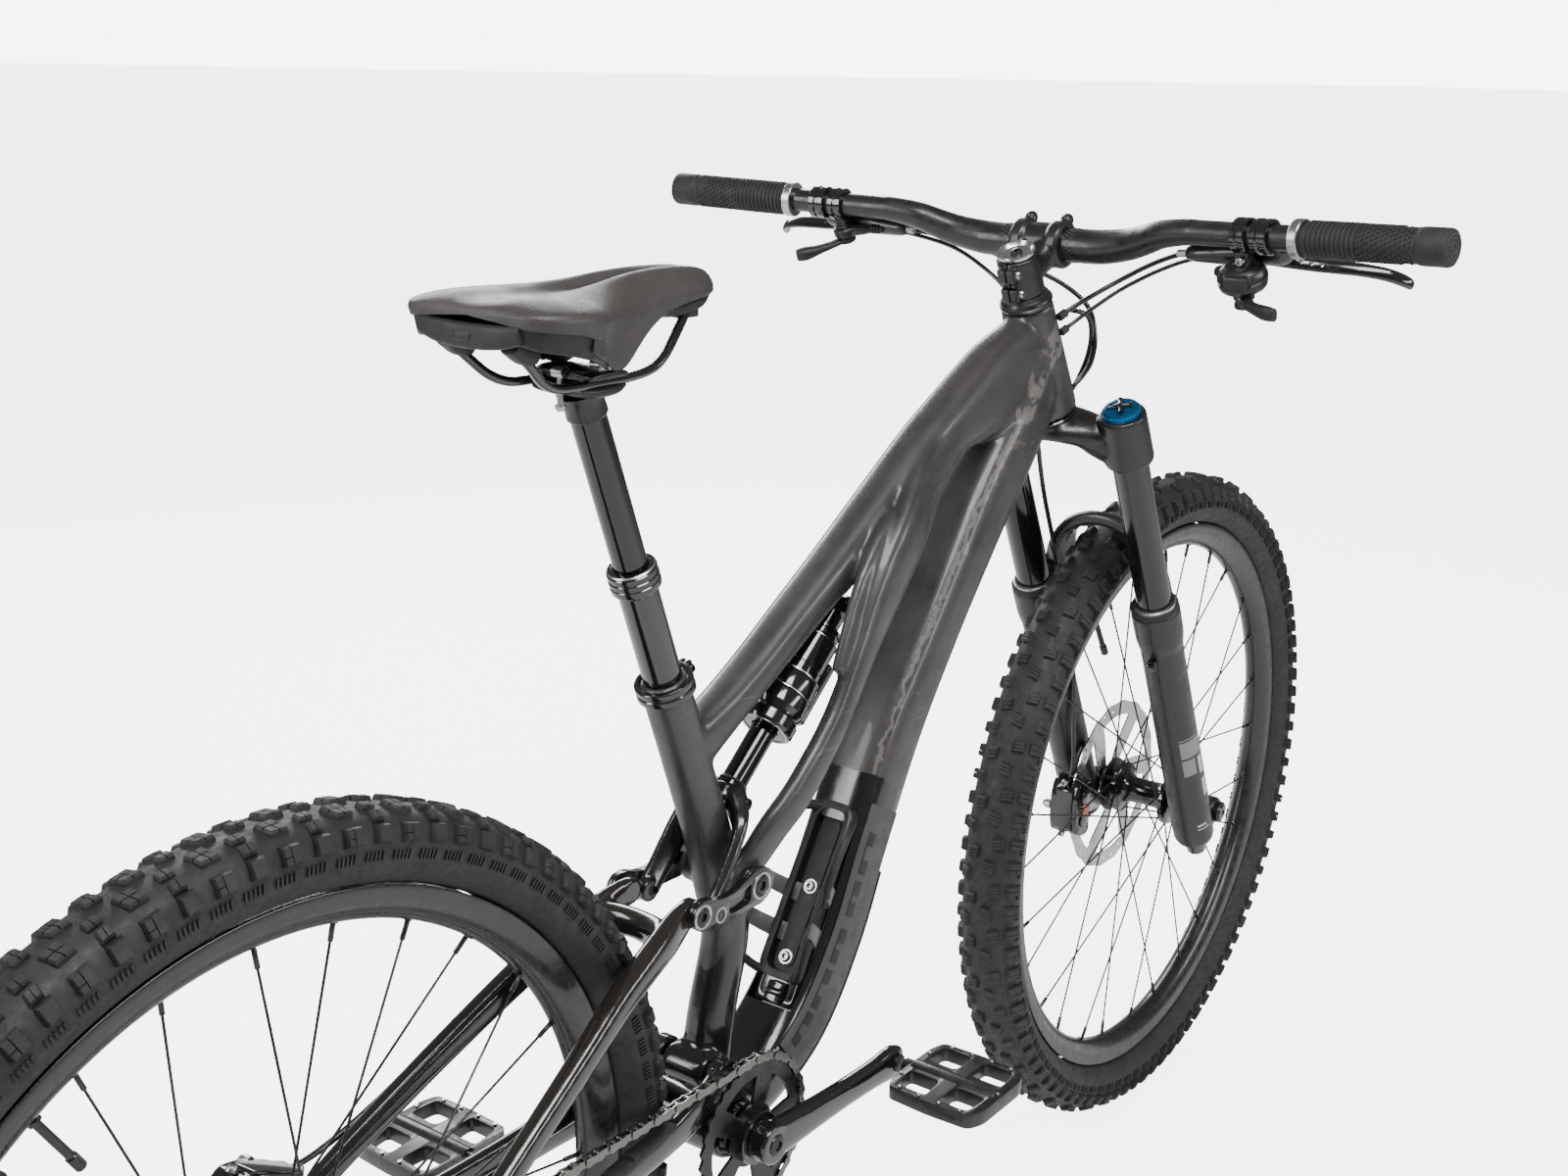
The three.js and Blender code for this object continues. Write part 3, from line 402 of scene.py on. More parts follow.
def solid_object(shape, place=BIKE):
    """A working object that a modifier can use."""
    mesh = to_mesh("work", shape, place)
    fix_normals(mesh)
    obj = bpy.data.objects.new("work", mesh)
    bpy.context.scene.collection.objects.link(obj)
    return obj


def fused(name, shapes, holes=(), voxel=2.0, relax=6, late_holes=(), place=BIKE, keep=1.0):
    """Shapes melted into one skin, with holes whose rims are soft, then crisp late holes."""
    obj = solid_object(merged(*shapes), place)
    obj.name = name

    def remesh():
        m = obj.modifiers.new("melt", "REMESH")
        m.mode = "VOXEL"
        m.voxel_size = voxel / 1000
        baked(obj)

    def carve(tools):
        for tool in tools:
            cutter = solid_object(tool, place)
            m = obj.modifiers.new("cut", "BOOLEAN")
            m.operation = "DIFFERENCE"
            m.object = cutter
            baked(obj)
            bpy.data.objects.remove(cutter)

    remesh()
    if holes:
        carve(holes)
        remesh()
    m = obj.modifiers.new("relax", "SMOOTH")
    m.factor = 0.5
    m.iterations = relax
    baked(obj)
    if keep < 1:
        m = obj.modifiers.new("thin", "DECIMATE")
        m.ratio = keep
        baked(obj)
    carve(late_holes)
    return obj


def flat(name, outline, holes, half, y=0.0):
    """A plate in the local x-z plane with holes, as (points, faces)."""
    curve = bpy.data.curves.new(name, "CURVE")
    curve.dimensions = "2D"
    curve.fill_mode = "BOTH"
    curve.extrude = half
    for loop in [outline, *holes]:
        s = curve.splines.new("POLY")
        s.points.add(len(loop) - 1)
        for q, (x, z) in zip(s.points, loop):
            q.co = (x, z, 0, 1)
        s.use_cyclic_u = True
    obj = bpy.data.objects.new(name, curve)
    bpy.context.scene.collection.objects.link(obj)
    graph = bpy.context.evaluated_depsgraph_get()
    mesh = bpy.data.meshes.new_from_object(obj.evaluated_get(graph))
    made = bmesh.new()
    made.from_mesh(mesh)
    bmesh.ops.remove_doubles(made, verts=made.verts, dist=1e-4)
    made.to_mesh(mesh)
    made.free()
    v = np.array([tuple(q.co) for q in mesh.vertices], float)
    f = [tuple(p.vertices) for p in mesh.polygons]
    bpy.data.objects.remove(obj)
    return np.c_[v[:, 0], v[:, 2] + y, v[:, 1]], f


def circle(cx, cz, r, n=32, phase=0.0):
    """A ring of [x, z] points."""
    return [
        (cx + r * math.cos(TAU * k / n + phase), cz + r * math.sin(TAU * k / n + phase))
        for k in range(n)
    ]


# ---- Materials --------------------------------------------------------------
class Nodes:
    """A material's node tree, with short calls to add nodes and join them."""

    def __init__(self, name, rough, metal=0.0, coat=0.0):
        self.material = bpy.data.materials.new(name)
        self.material.use_nodes = True
        self.tree = self.material.node_tree
        self.skin = self.tree.nodes["Principled BSDF"]
        self.skin.inputs["Roughness"].default_value = rough
        self.skin.inputs["Metallic"].default_value = metal
        self.skin.inputs["Coat Weight"].default_value = coat
        self.skin.inputs["Coat Roughness"].default_value = 0.08
        self.where = self.add("ShaderNodeTexCoord").outputs["Object"]

    def add(self, kind, **values):
        node = self.tree.nodes.new(kind)
        for key, value in values.items():
            if key in node.inputs:
                self.put(value, node.inputs[key])
            else:
                setattr(node, key, value)
        return node

    def put(self, value, socket):
        if isinstance(value, bpy.types.NodeSocket):
            self.tree.links.new(value, socket)
        else:
            socket.default_value = value

    def noise(self, scale, detail=4.0, rough=0.55, stretch=None, distortion=0.0):
        where = self.where
        if stretch is not None:
            turn, size = stretch
            where = self.add(
                "ShaderNodeMapping", Vector=where, Rotation=turn, Scale=size
            ).outputs[0]
        node = self.add("ShaderNodeTexNoise", Vector=where)
        node.inputs["Scale"].default_value = scale
        node.inputs["Detail"].default_value = detail
        node.inputs["Roughness"].default_value = rough
        node.inputs["Distortion"].default_value = distortion
        return node.outputs["Fac"]

    def ramp(self, value, a, b, lo=0.0, hi=1.0):
        node = self.add("ShaderNodeMapRange", Value=value)
        for key, number in zip(("From Min", "From Max", "To Min", "To Max"), (a, b, lo, hi)):
            node.inputs[key].default_value = number
        return node.outputs["Result"]

    def math(self, kind, a, b=0.0):
        node = self.add("ShaderNodeMath", operation=kind)
        self.put(a, node.inputs[0])
        self.put(b, node.inputs[1])
        return node.outputs[0]

    def mix(self, share, a, b):
        node = self.add("ShaderNodeMix", data_type="RGBA")
        self.put(share, node.inputs[0])
        self.put(a, node.inputs[6])
        self.put(b, node.inputs[7])
        return node.outputs[2]

    def bump(self, height, strength, distance=0.001):
        node = self.add("ShaderNodeBump", Height=height)
        node.inputs["Strength"].default_value = strength
        node.inputs["Distance"].default_value = distance
        if self.skin.inputs["Normal"].links:
            self.put(self.skin.inputs["Normal"].links[0].from_socket, node.inputs["Normal"])
        self.put(node.outputs[0], self.skin.inputs["Normal"])

    def set(self, **values):
        for key, value in values.items():
            self.put(value, self.skin.inputs[key.replace("_", " ")])


def rgb(*values):
    return (*values, 1.0)


def plain(name, colour, rough, metal=0.0, coat=0.0, vary=0.3, spread=0.12, grain=0.15, size=1500):
    """A finish with cloudy colour, uneven gloss and a fine grain."""
    n = Nodes(name, rough, metal, coat)
    cloud = n.noise(28)
    low = rgb(*[c * (1 - vary) for c in colour])
    high = rgb(*[c * (1 + vary) for c in colour])
    n.set(Base_Color=n.mix(cloud, low, high))
    n.set(Roughness=n.ramp(n.noise(90), 0.3, 0.7, max(rough - spread, 0.03), rough + spread))
    n.bump(n.noise(size, 2.0), grain, 0.0004)
    return n.material


def carbon_skin():
    """Satin charcoal with brushed warm streaks, scuffs and a painted highlight along the down tube's
    corner; the lower down tube is gloss black.
    """
    n = Nodes("frame_carbon", 0.4, 0.0, 0.25)
    lean = (0.0, math.radians(45), 0.0)
    streak = n.noise(14, 6.0, 0.6, stretch=(lean, (0.25, 1.6, 1.6)), distortion=0.6)
    cloud = n.noise(6, 3.0, 0.5, distortion=0.4)
    patch = n.noise(22, 8.0, 0.72, stretch=(lean, (0.35, 1.2, 1.2)), distortion=1.2)
    dark = rgb(0.017, 0.0163, 0.0165)
    warm = rgb(0.042, 0.038, 0.036)
    base = n.mix(n.ramp(streak, 0.35, 0.68), dark, warm)
    base = n.mix(n.ramp(cloud, 0.4, 0.75, 0.0, 0.6), base, rgb(0.052, 0.048, 0.046))
    scuff = n.ramp(patch, 0.66, 0.7)
    base = n.mix(n.math("MULTIPLY", scuff, 0.4), base, rgb(0.17, 0.155, 0.14))
    place = n.add("ShaderNodeSeparateXYZ", Vector=n.where)
    x, y, z = place.outputs
    # Fine scratches along the tubes, in patches.
    hair = n.noise(26, 2.0, 0.5, stretch=(lean, (0.16, 3.0, 3.0)), distortion=0.5)
    hair = n.math("MULTIPLY", n.ramp(hair, 0.5, 0.504), n.ramp(hair, 0.512, 0.508))
    hair = n.math("MULTIPLY", hair, n.ramp(n.noise(9, 2.0), 0.5, 0.62))
    base = n.mix(n.math("MULTIPLY", hair, 0.6), base, rgb(0.13, 0.12, 0.112))
    # A ragged painted highlight: a pale line along the right corner of the down tube, where light
    # catches its upper face.
    above = n.math("ADD", n.math("MULTIPLY", x, -0.771), n.math("MULTIPLY", z, 0.637))
    ragged = n.math("ADD", y, n.math("MULTIPLY", n.math("ADD", n.noise(55, 6.0, 0.7), -0.5), 0.016))
    painted_highlight_line = n.math("MULTIPLY", n.ramp(ragged, -0.0262, -0.0256), n.ramp(ragged, -0.0226, -0.0232))
    span = n.math("MULTIPLY", n.ramp(above, 0.345, 0.347), n.ramp(above, 0.375, 0.372))
    painted_highlight_line = n.math("MULTIPLY", painted_highlight_line, span)
    base = n.mix(n.math("MULTIPLY", painted_highlight_line, 0.75), base, rgb(0.15, 0.138, 0.128))
    # Below this line across the down tube the finish turns gloss black.
    low = n.math("ADD", n.math("MULTIPLY", x, -0.55), n.math("MULTIPLY", z, -0.83))
    edge = n.math("ADD", low, n.math("MULTIPLY", n.noise(60, 2.0), 0.006))
    ahead = n.ramp(n.math("ADD", x, n.math("MULTIPLY", z, -0.62)), -0.475, -0.474)
    gloss = n.math("MULTIPLY", n.ramp(edge, -0.4935, -0.4925), ahead)
    n.set(Base_Color=n.mix(gloss, base, rgb(0.012, 0.011, 0.011)))
    rough = n.ramp(n.noise(40, 5.0), 0.3, 0.7, 0.33, 0.52)
    rough = n.math("ADD", rough, n.math("MULTIPLY", scuff, 0.12))
    node = n.add("ShaderNodeMix")
    n.put(gloss, node.inputs[0])
    n.put(rough, node.inputs[2])
    n.put(n.ramp(n.noise(80), 0.3, 0.7, 0.1, 0.2), node.inputs[3])
    n.set(Roughness=node.outputs[0])
    n.bump(n.noise(1200, 2.0), 0.1, 0.0003)
    n.bump(scuff, 0.08, 0.0004)
    return n.material


def tyre_skin():
    """Black rubber with a cloudy dusty tone, uneven gloss and a fine grain."""
    n = Nodes("tyre_rubber", 0.62)
    cloud = n.noise(35, 6.0, 0.6)
    base = n.mix(n.ramp(cloud, 0.3, 0.75), rgb(0.007, 0.007, 0.007), rgb(0.022, 0.021, 0.0205))
    n.set(Base_Color=base)
    n.set(Roughness=n.ramp(n.noise(160, 5.0), 0.3, 0.7, 0.5, 0.75))
    n.bump(n.noise(900, 4.0, 0.7), 0.35, 0.0005)
    n.bump(n.noise(120, 3.0), 0.15, 0.001)
    return n.material


def steel_skin(name="steel", colour=(0.55, 0.55, 0.56), rough=0.3):
    """Ground steel: fine scratches and uneven gloss."""
    n = Nodes(name, rough, 1.0)
    scratch = n.noise(300, 3.0, 0.6, stretch=((0.3, 0.4, 0.2), (1, 9, 1)))
    low = rgb(*[c * 0.75 for c in colour])
    n.set(Base_Color=n.mix(scratch, low, rgb(*colour)))
    n.set(Roughness=n.ramp(scratch, 0.3, 0.7, rough - 0.1, rough + 0.12))
    n.bump(scratch, 0.12, 0.0003)
    return n.material


def saddle_skin():
    """Warm grey cover with a fine dot grain and soft wear."""
    n = Nodes("saddle_cover", 0.5)
    dots = n.add("ShaderNodeTexVoronoi", Vector=n.where)
    dots.inputs["Scale"].default_value = 620
    cloud = n.noise(18, 4.0)
    base = n.mix(n.ramp(cloud, 0.35, 0.7), rgb(0.036, 0.0325, 0.031), rgb(0.056, 0.051, 0.048))
    n.set(Base_Color=base)
    n.set(Roughness=n.ramp(n.noise(60, 4.0), 0.3, 0.7, 0.42, 0.58))
    n.bump(n.ramp(dots.outputs["Distance"], 0.0, 0.6), 0.3, 0.0004)
    n.bump(n.noise(200, 3.0), 0.1, 0.0006)
    return n.material


CARBON = carbon_skin()
TYRE = tyre_skin()
GLOSS = plain("gloss_black", (0.008, 0.008, 0.0085), 0.12, 0.0, 0.8, spread=0.05, grain=0.05)
SATIN = plain("satin_black", (0.0095, 0.0093, 0.0096), 0.36, 0.0, 0.15, grain=0.2)
MOULDED = plain("moulded_black", (0.009, 0.0088, 0.0088), 0.5, vary=0.35, grain=0.5, size=2200)
GUARD = plain("guard_grey", (0.05, 0.049, 0.048), 0.5, vary=0.25, grain=0.4, size=1800)
RUBBER = plain("grip_rubber", (0.014, 0.013, 0.0125), 0.6, vary=0.4, grain=0.5, size=1200)
CABLE = plain("cable_black", (0.01, 0.01, 0.01), 0.28, 0.0, 0.3, grain=0.1)
RIM_SKIN = plain("rim_carbon", (0.012, 0.0115, 0.011), 0.3, 0.0, 0.25, vary=0.45, grain=0.08)
STANCHION = plain("stanchion_coat", (0.006, 0.006, 0.0062), 0.1, 0.3, 0.6, spread=0.04, grain=0.03)
LINK = plain("link_black", (0.01, 0.0098, 0.0096), 0.2, 0.0, 0.5, spread=0.08, grain=0.06)
DARK = plain("dark_metal", (0.05, 0.05, 0.052), 0.32, 0.9, grain=0.08)
STEEL = steel_skin()
BRIGHT = steel_skin("bright_steel", (0.72, 0.72, 0.72), 0.22)
SPOKE_STEEL = steel_skin("spoke_steel", (0.055, 0.055, 0.058), 0.28)
BLUE = plain("blue_anodised", (0.012, 0.17, 0.42), 0.24, 0.85, vary=0.15, grain=0.05)
ORANGE = plain("orange_accent", (0.7, 0.16, 0.03), 0.4, vary=0.1)
GREY_MARK = plain("grey_mark", (0.22, 0.22, 0.22), 0.45, vary=0.1)
WHITE_MARK = plain("white_mark", (0.6, 0.6, 0.58), 0.45, vary=0.08)
SADDLE = saddle_skin()
MASTER = plain("master_grey", (0.022, 0.022, 0.025), 0.34, 0.3, 0.3, vary=0.25, grain=0.15)
STEM_SKIN = plain("stem_grey", (0.016, 0.0155, 0.015), 0.38, 0.3, 0.2, vary=0.35, grain=0.12)
STAY = plain("stay_gloss", (0.016, 0.0135, 0.0115), 0.16, 0.1, 0.7, vary=0.4, spread=0.06, grain=0.04)
BAND = plain("band_grey", (0.11, 0.108, 0.105), 0.4, 0.4, vary=0.25, grain=0.2)
CHAIN_STEEL = steel_skin("chain_steel", (0.22, 0.21, 0.2), 0.28)
HONEY = plain("saddle_inset", (0.032, 0.031, 0.031), 0.45, vary=0.2, grain=0.6, size=900)


# ---- Wheels -----------------------------------------------------------------
def tyre_casing(outer):
    """Half profile from the bead to the crown as [radius, y]."""
    half = [
        (317.4, 12.5),
        (320, 17.5),
        (326, 23.0),
        (334, 27.6),
        (343, 29.3),
        (351, 28.4),
        (358, 25.0),
        (363, 19.5),
        (outer - 5.4, 12),
        (outer - 4.4, 5),
    ]
    return smooth_line(half, 4)


def knob(line, share, turn, wide, long, high, lean=0.0, sipe="", outward=0.0):
    """A tread block on the casing. share runs from the bead (0) to the crown (1)."""
    n = len(line) - 1
    i = min(int(abs(share) * n), n - 1)
    here = line[i]
    ahead = line[i + 1] - line[i]
    ahead = ahead / np.linalg.norm(ahead)
    normal = np.array([-ahead[1], ahead[0]])
    if normal[0] < 0:
        normal = -normal
    sign = 1 if share > 0 else -1

    def block(u0, u1, w0, w1, h0, h1, taper):
        corner = []
        for h, t in ((h0, 0.0), (h1, taper)):
            for u, w in ((u0, w0), (u1, w0), (u1, w1), (u0, w1)):
                uu = u * (1 - 2 * t / long)
                ww = w * (1 - 2 * t / wide) + outward * (h / high)
                r, y = here - ahead * ww + normal * h
                phi = turn + (uu + lean * ww) / 370
                corner.append((r * math.cos(phi), sign * y, r * math.sin(phi)))
        f = [(0, 1, 2, 3), (4, 7, 6, 5), (0, 4, 5, 1), (1, 5, 6, 2), (2, 6, 7, 3), (3, 7, 4, 0)]
        return np.array(corner), f

    lo, hw = long / 2, wide / 2
    split = high * 0.45
    parts = [block(-lo, lo, -hw, hw, -1.5, split, 0.5)]
    cuts = {"": [(-1, 1, -1, 1)]}
    cuts["across"] = [(-1, -0.08, -1, 1), (0.08, 1, -1, 1)]
    cuts["three"] = [(-1, -0.4, -1, 1), (-0.28, 0.28, -1, 1), (0.4, 1, -1, 1)]
    cuts["cross"] = [(-1, -0.07, -1, -0.07), (0.07, 1, -1, -0.07)]
    cuts["cross"] += [(-1, -0.07, 0.07, 1), (0.07, 1, 0.07, 1)]
    cuts["ell"] = [(-1, 0.1, -1, 1), (0.22, 1, -1, 0.1), (0.22, 1, 0.22, 1)]
    lo, hw = lo * 0.96, hw * 0.96
    for a, b, c, d in cuts[sipe]:
        parts.append(block(a * lo, b * lo, c * hw, d * hw, split, high, 1.0))
    return merged(*parts)


def tyre(name, body, place, outer, rear, node):
    """A casing with its tread: side, middle and crown blocks, and thin ribs on the wall."""
    half = tyre_casing(outer)
    other = half[::-1] * [1, -1]
    bead = [(317.4, 0.0)]
    profile = [tuple(p) for p in np.vstack([half, other])] + bead
    profile.append(profile[0])
    casing = lathe(profile, 180)
    blocks = []
    count = 92
    for k in range(count):
        turn = TAU * k / count
        even = k % 2 == 0
        for side in (1, -1):
            a = turn + (0.5 if side < 0 else 0.0) * TAU / count
            if rear:
                long, sipe = (14.5, "ell") if even else (12.5, "")
                blocks.append(knob(half, side * 0.62, a, 13, long, 4.6, 0.08, sipe, 0.8))
                if even:
                    blocks.append(knob(half, side * 0.93, a, 15, 14, 3.8, 0.15 * side, "cross"))
                else:
                    blocks.append(knob(half, side * 0.80, a, 9, 10, 4.0, 0.2, "across"))
                    blocks.append(knob(half, side * 0.965, a, 8, 11, 3.8, 0, "across"))
            else:
                long, sipe = (14, "ell") if even else (11.5, "across")
                blocks.append(knob(half, side * 0.60, a, 14, long, 4.8, 0.05, sipe, 1.0))
                if even:
                    blocks.append(knob(half, side * 0.945, a, 11.5, 12.5, 4.0, 0.18, "three"))
                else:
                    blocks.append(knob(half, side * 0.86, a, 12.5, 12, 4.2, -0.12, "three"))
    ribs = []
    for k in range(count * 7):
        if k % 7 > 4:
            continue
        turn = TAU * (k + 3) / (count * 7)
        for side in (1, -1):
            ribs.append(knob(half, side * 0.42, turn, 7.0, 1.6, 0.45))
    piece(
        name, body, TYRE, casing, *blocks, *ribs, place=place, stands_for=[node], slot="tyre_rubber",
        angle=28
    )


def rim(name, body, place, node):
    """A hollow rim with seats for the spokes, and its valve."""
    half = smooth_line([(290.0, 0.0), (291.2, 5.0), (295.5, 10.2), (303.0, 14.6), (311, 16.2)], 5)
    lip = [(315.6, 16.9), (316.8, 16.2), (316.6, 13.2), (315.2, 11.0)]
    right = [tuple(p) for p in half] + lip
    left = [(r, -y) for r, y in reversed(right)][:-1]
    profile = right + left + [right[0]]
    body_ring = lathe(profile, 180)
    seat = []
    for k in range(28):
        a = TAU * k / 28
        c, s = math.cos(a), math.sin(a)
        seat.append(rod((289.4 * c, 0, 289.4 * s), (291.5 * c, 0, 291.5 * s), 3.2, 12, 0.3))
    piece(
        name, body, RIM_SKIN, body_ring, *seat, place=place, stands_for=[node], slot="satin_black",
        angle=40
    )
    a = TAU * 9.5 / 28
    d = np.array([math.cos(a), 0, math.sin(a)])
    valve = merged(
        rod(d * 292, d * 248, 3.0, 14, 0.5),
        rod(d * 289.5, d * 285.5, 5.2, 6, 0.5),
        rod(d * 249, d * 236, 4.0, 10, 1.0),
    )
    piece(name + "_valve", body, DARK, valve, place=place)


def spokes(name, body, place, flanges, material):
    """28 crossed spokes from two flanges, each [y, radius], with their nipples."""
    lines, tips = [], []
    crossing = math.radians(62)
    for i in range(28):
        y, r = flanges[i % 2]
        lean = 1 if i % 4 < 2 else -1
        rim_turn = TAU * i / 28
        hub_turn = rim_turn + lean * crossing
        hub_y = y + 1.9 * lean
        rim_y = 3 * np.sign(y) + 1.9 * lean
        a = np.array([(r - 3) * math.cos(hub_turn), hub_y, (r - 3) * math.sin(hub_turn)])
        b = np.array([288.0 * math.cos(rim_turn), rim_y * 0.6, 288.0 * math.sin(rim_turn)])
        lines.append(rod(a, b, 1.0, 8, 0.2))
        d = (b - a) / np.linalg.norm(b - a)
        tips.append(rod(b - d * 12, b + d * 3, 1.9, 8, 0.4))
        lines.append(rod(a - [0, 2.2 * lean, 0], a + [0, 2.2 * lean, 0], 1.7, 8, 0.4))
    piece(name, body, material, *lines, place=place, angle=60)
    piece(name + "_nipples", body, DARK, *tips, place=place, angle=60)


def rotor(name, body, place, radius, y, node):
    """A slotted brake disc on six swept arms."""
    inner = radius - 15
    windows, slots = [], []
    arms = 6
    for k in range(arms):
        a = TAU * k / arms
        loop = []
        for t in np.linspace(0.13, 0.87, 12):
            loop.append((inner - 2, a + t * TAU / arms))
        for r in np.linspace(inner - 9, 31, 7):
            f = (inner - r) / (inner - 31)
            loop.append((r, a + (0.87 - 0.10 * f + 0.62 * f * f * 0.5) * TAU / arms))
        for r in np.linspace(31, inner - 9, 7):
            f = (inner - r) / (inner - 31)
            loop.append((r, a + (0.13 + 0.16 * f + 0.62 * f * f * 0.5) * TAU / arms))
        pts = [(r * math.cos(t), r * math.sin(t)) for r, t in loop]
        windows.append(rounded(pts, 4, 3))
    for k in range(30):
        a = TAU * k / 30
        mid = radius - 7.5 + (1.8 if k % 2 else -1.8)
        c, s = math.cos(a), math.sin(a)
        hole = []
        for px, pz in rounded([(-3.4, -1.3), (3.4, -1.3), (3.4, 1.3), (-3.4, 1.3)], 1.3, 3):
            rr, tt = mid + px * 0.6, pz + px * 0.75
            hole.append((rr * c - tt * s, rr * s + tt * c))
        slots.append(hole)
    edge = []
    for k in range(180):
        a = TAU * k / 180
        wave = radius - 0.9 + 0.9 * math.cos(18 * a)
        edge.append((wave * math.cos(a), wave * math.sin(a)))
    disc = flat(name, edge, windows + slots + [circle(0, 0, 17, 40)], 0.85, y=y)
    bolts = []
    for k in range(6):
        a = TAU * (k + 0.5) / 6
        bolts.append(bolt((22 * math.cos(a), y + 0.9, 22 * math.sin(a)), "y", 3.8, 2.2, 1.8))
    piece(name, body, BRIGHT, disc, place=place, stands_for=[node], slot="steel", angle=30)
    spider = flat("spider", circle(0, 0, 31, 48), [circle(0, 0, 15.5, 40)], 1.1, y=y - 1.3)
    piece(name + "_carrier", body, DARK, spider, *bolts, place=place)


def front_wheel():
    """The wheel on the fork."""
    tyre("front_tyre_look", "front_wheel", FRONT_HUB, 373, False, "front_tyre")
    rim("front_rim_look", "front_wheel", FRONT_HUB, "front_rim")
    spokes("front_spokes", "front_wheel", FRONT_HUB, [(28.5, 28), (-30.5, 28)], SATIN)
    hub = [
        (8, -54.5), (12, -54.5), (13, -50), (13, -38), (17, -36), (28, -34), (29, -33), (29, -28.5),
        (27.5, -27.5), (18, -24), (15, -18), (14.5, 0), (15, 16), (18, 22), (27.5, 25.6),
        (29, 26.6), (29, 31), (28, 32), (20, 34), (17, 36), (17, 41), (13, 46), (12.5, 54), (8, 54.5),
    ]
    hub.append(hub[0])
    piece("front_hub", "front_wheel", GLOSS, lathe(hub, 48), place=FRONT_HUB,
          stands_for=["front_hub_spokes"], slot="gloss_black")
    rotor("front_rotor_look", "front_wheel", FRONT_HUB, 100, 43.6, "front_rotor")


def rear_wheel():
    """The wheel between the stays, with its cassette."""
    tyre("rear_tyre_look", "rear_wheel", REAR_HUB, 371, True, "rear_tyre")
    rim("rear_rim_look", "rear_wheel", REAR_HUB, "rear_rim")
    spokes("rear_spokes", "rear_wheel", REAR_HUB, [(37.5, 29), (-27.5, 29)], SPOKE_STEEL)
    hub = [
        (6.6, -73), (9, -73), (16.8, -71), (16.8, -34), (20, -32), (29, -30.5), (30, -29.5),
        (30, -25.5), (28.5, -24.5), (19, -21), (16, -14), (15.5, 5), (16, 26), (19, 31), (28.5, 34.6),
        (30, 35.6), (30, 40), (29, 41), (22, 43), (19, 46), (19, 52), (13, 57), (9, 60), (8.8, 73),
        (6.6, 73)
    ]
    hub.append(hub[0])
    piece("rear_hub", "rear_wheel", GLOSS, lathe(hub, 48), place=REAR_HUB,
          stands_for=["rear_hub_spokes"], slot="steel")
    rotor("rear_rotor_look", "rear_wheel", REAR_HUB, 90, 55, "rear_rotor")
    cassette()


def toothed(teeth, pitch_r, tooth=3.2, n=6):
    """Outline of a sprocket as [x, z] points."""
    loop = []
    for k in range(teeth):
        for j in range(n):
            t = j / n
            r = pitch_r + tooth * (0.5 + 0.5 * math.cos(TAU * t)) ** 0.8 - tooth * 0.55
            a = TAU * (k + t) / teeth
            loop.append((r * math.cos(a), r * math.sin(a)))
    return loop


def window(corners, steps):
    """[radius, turn] corners of a hole in a disc, with fine sides, as [x, z] points."""
    points = []
    for q in range(4):
        (r0, a0), (r1, a1) = corners[q], corners[(q + 1) % 4]
        for t in np.linspace(0, 1, steps + 1)[:-1]:
            r, a = r0 + (r1 - r0) * t, a0 + (a1 - a0) * t
            points.append((r * math.cos(a), r * math.sin(a)))
    return points


def cassette():
    """Twelve sprockets on a core; the large ones have windows."""
    counts = [10, 12, 14, 16, 18, 21, 24, 28, 32, 36, 42, 51]
    cogs = []
    for i, teeth in enumerate(counts):
        y = -69.3 + i * 3.05
        r = min(12.7 / (2 * math.sin(math.pi / teeth)), 101.5)
        if r * 2.06 > 36:
            holes = [circle(0, 0, max(r - 9.5, 17.2), 40)] if teeth < 24 else []
            if teeth >= 24:
                holes = [circle(0, 0, 17.2, 40)]
                arms = 6
                for k in range(arms):
                    a = TAU * k / arms + i * 0.06
                    lo, hi = 23, r - 9
                    if hi - lo < 5:
                        continue
                    b = a + TAU / arms
                    holes.append(
                        window([(hi, a + 0.16), (hi, b - 0.16), (lo, b - 0.3), (lo, a + 0.3)], 5)
                    )
            cogs.append(flat("cog", toothed(teeth, r), holes, 0.85, y=y))
    core = lathe([(17.3, -69.9), (19.4, -69.9), (19.6, -35), (17.3, -35), (17.3, -69.9)], 36)
    piece("cassette_look", "rear_wheel", STEEL, core, *cogs, place=REAR_HUB, stands_for=["cassette"],
          slot="steel", angle=30)


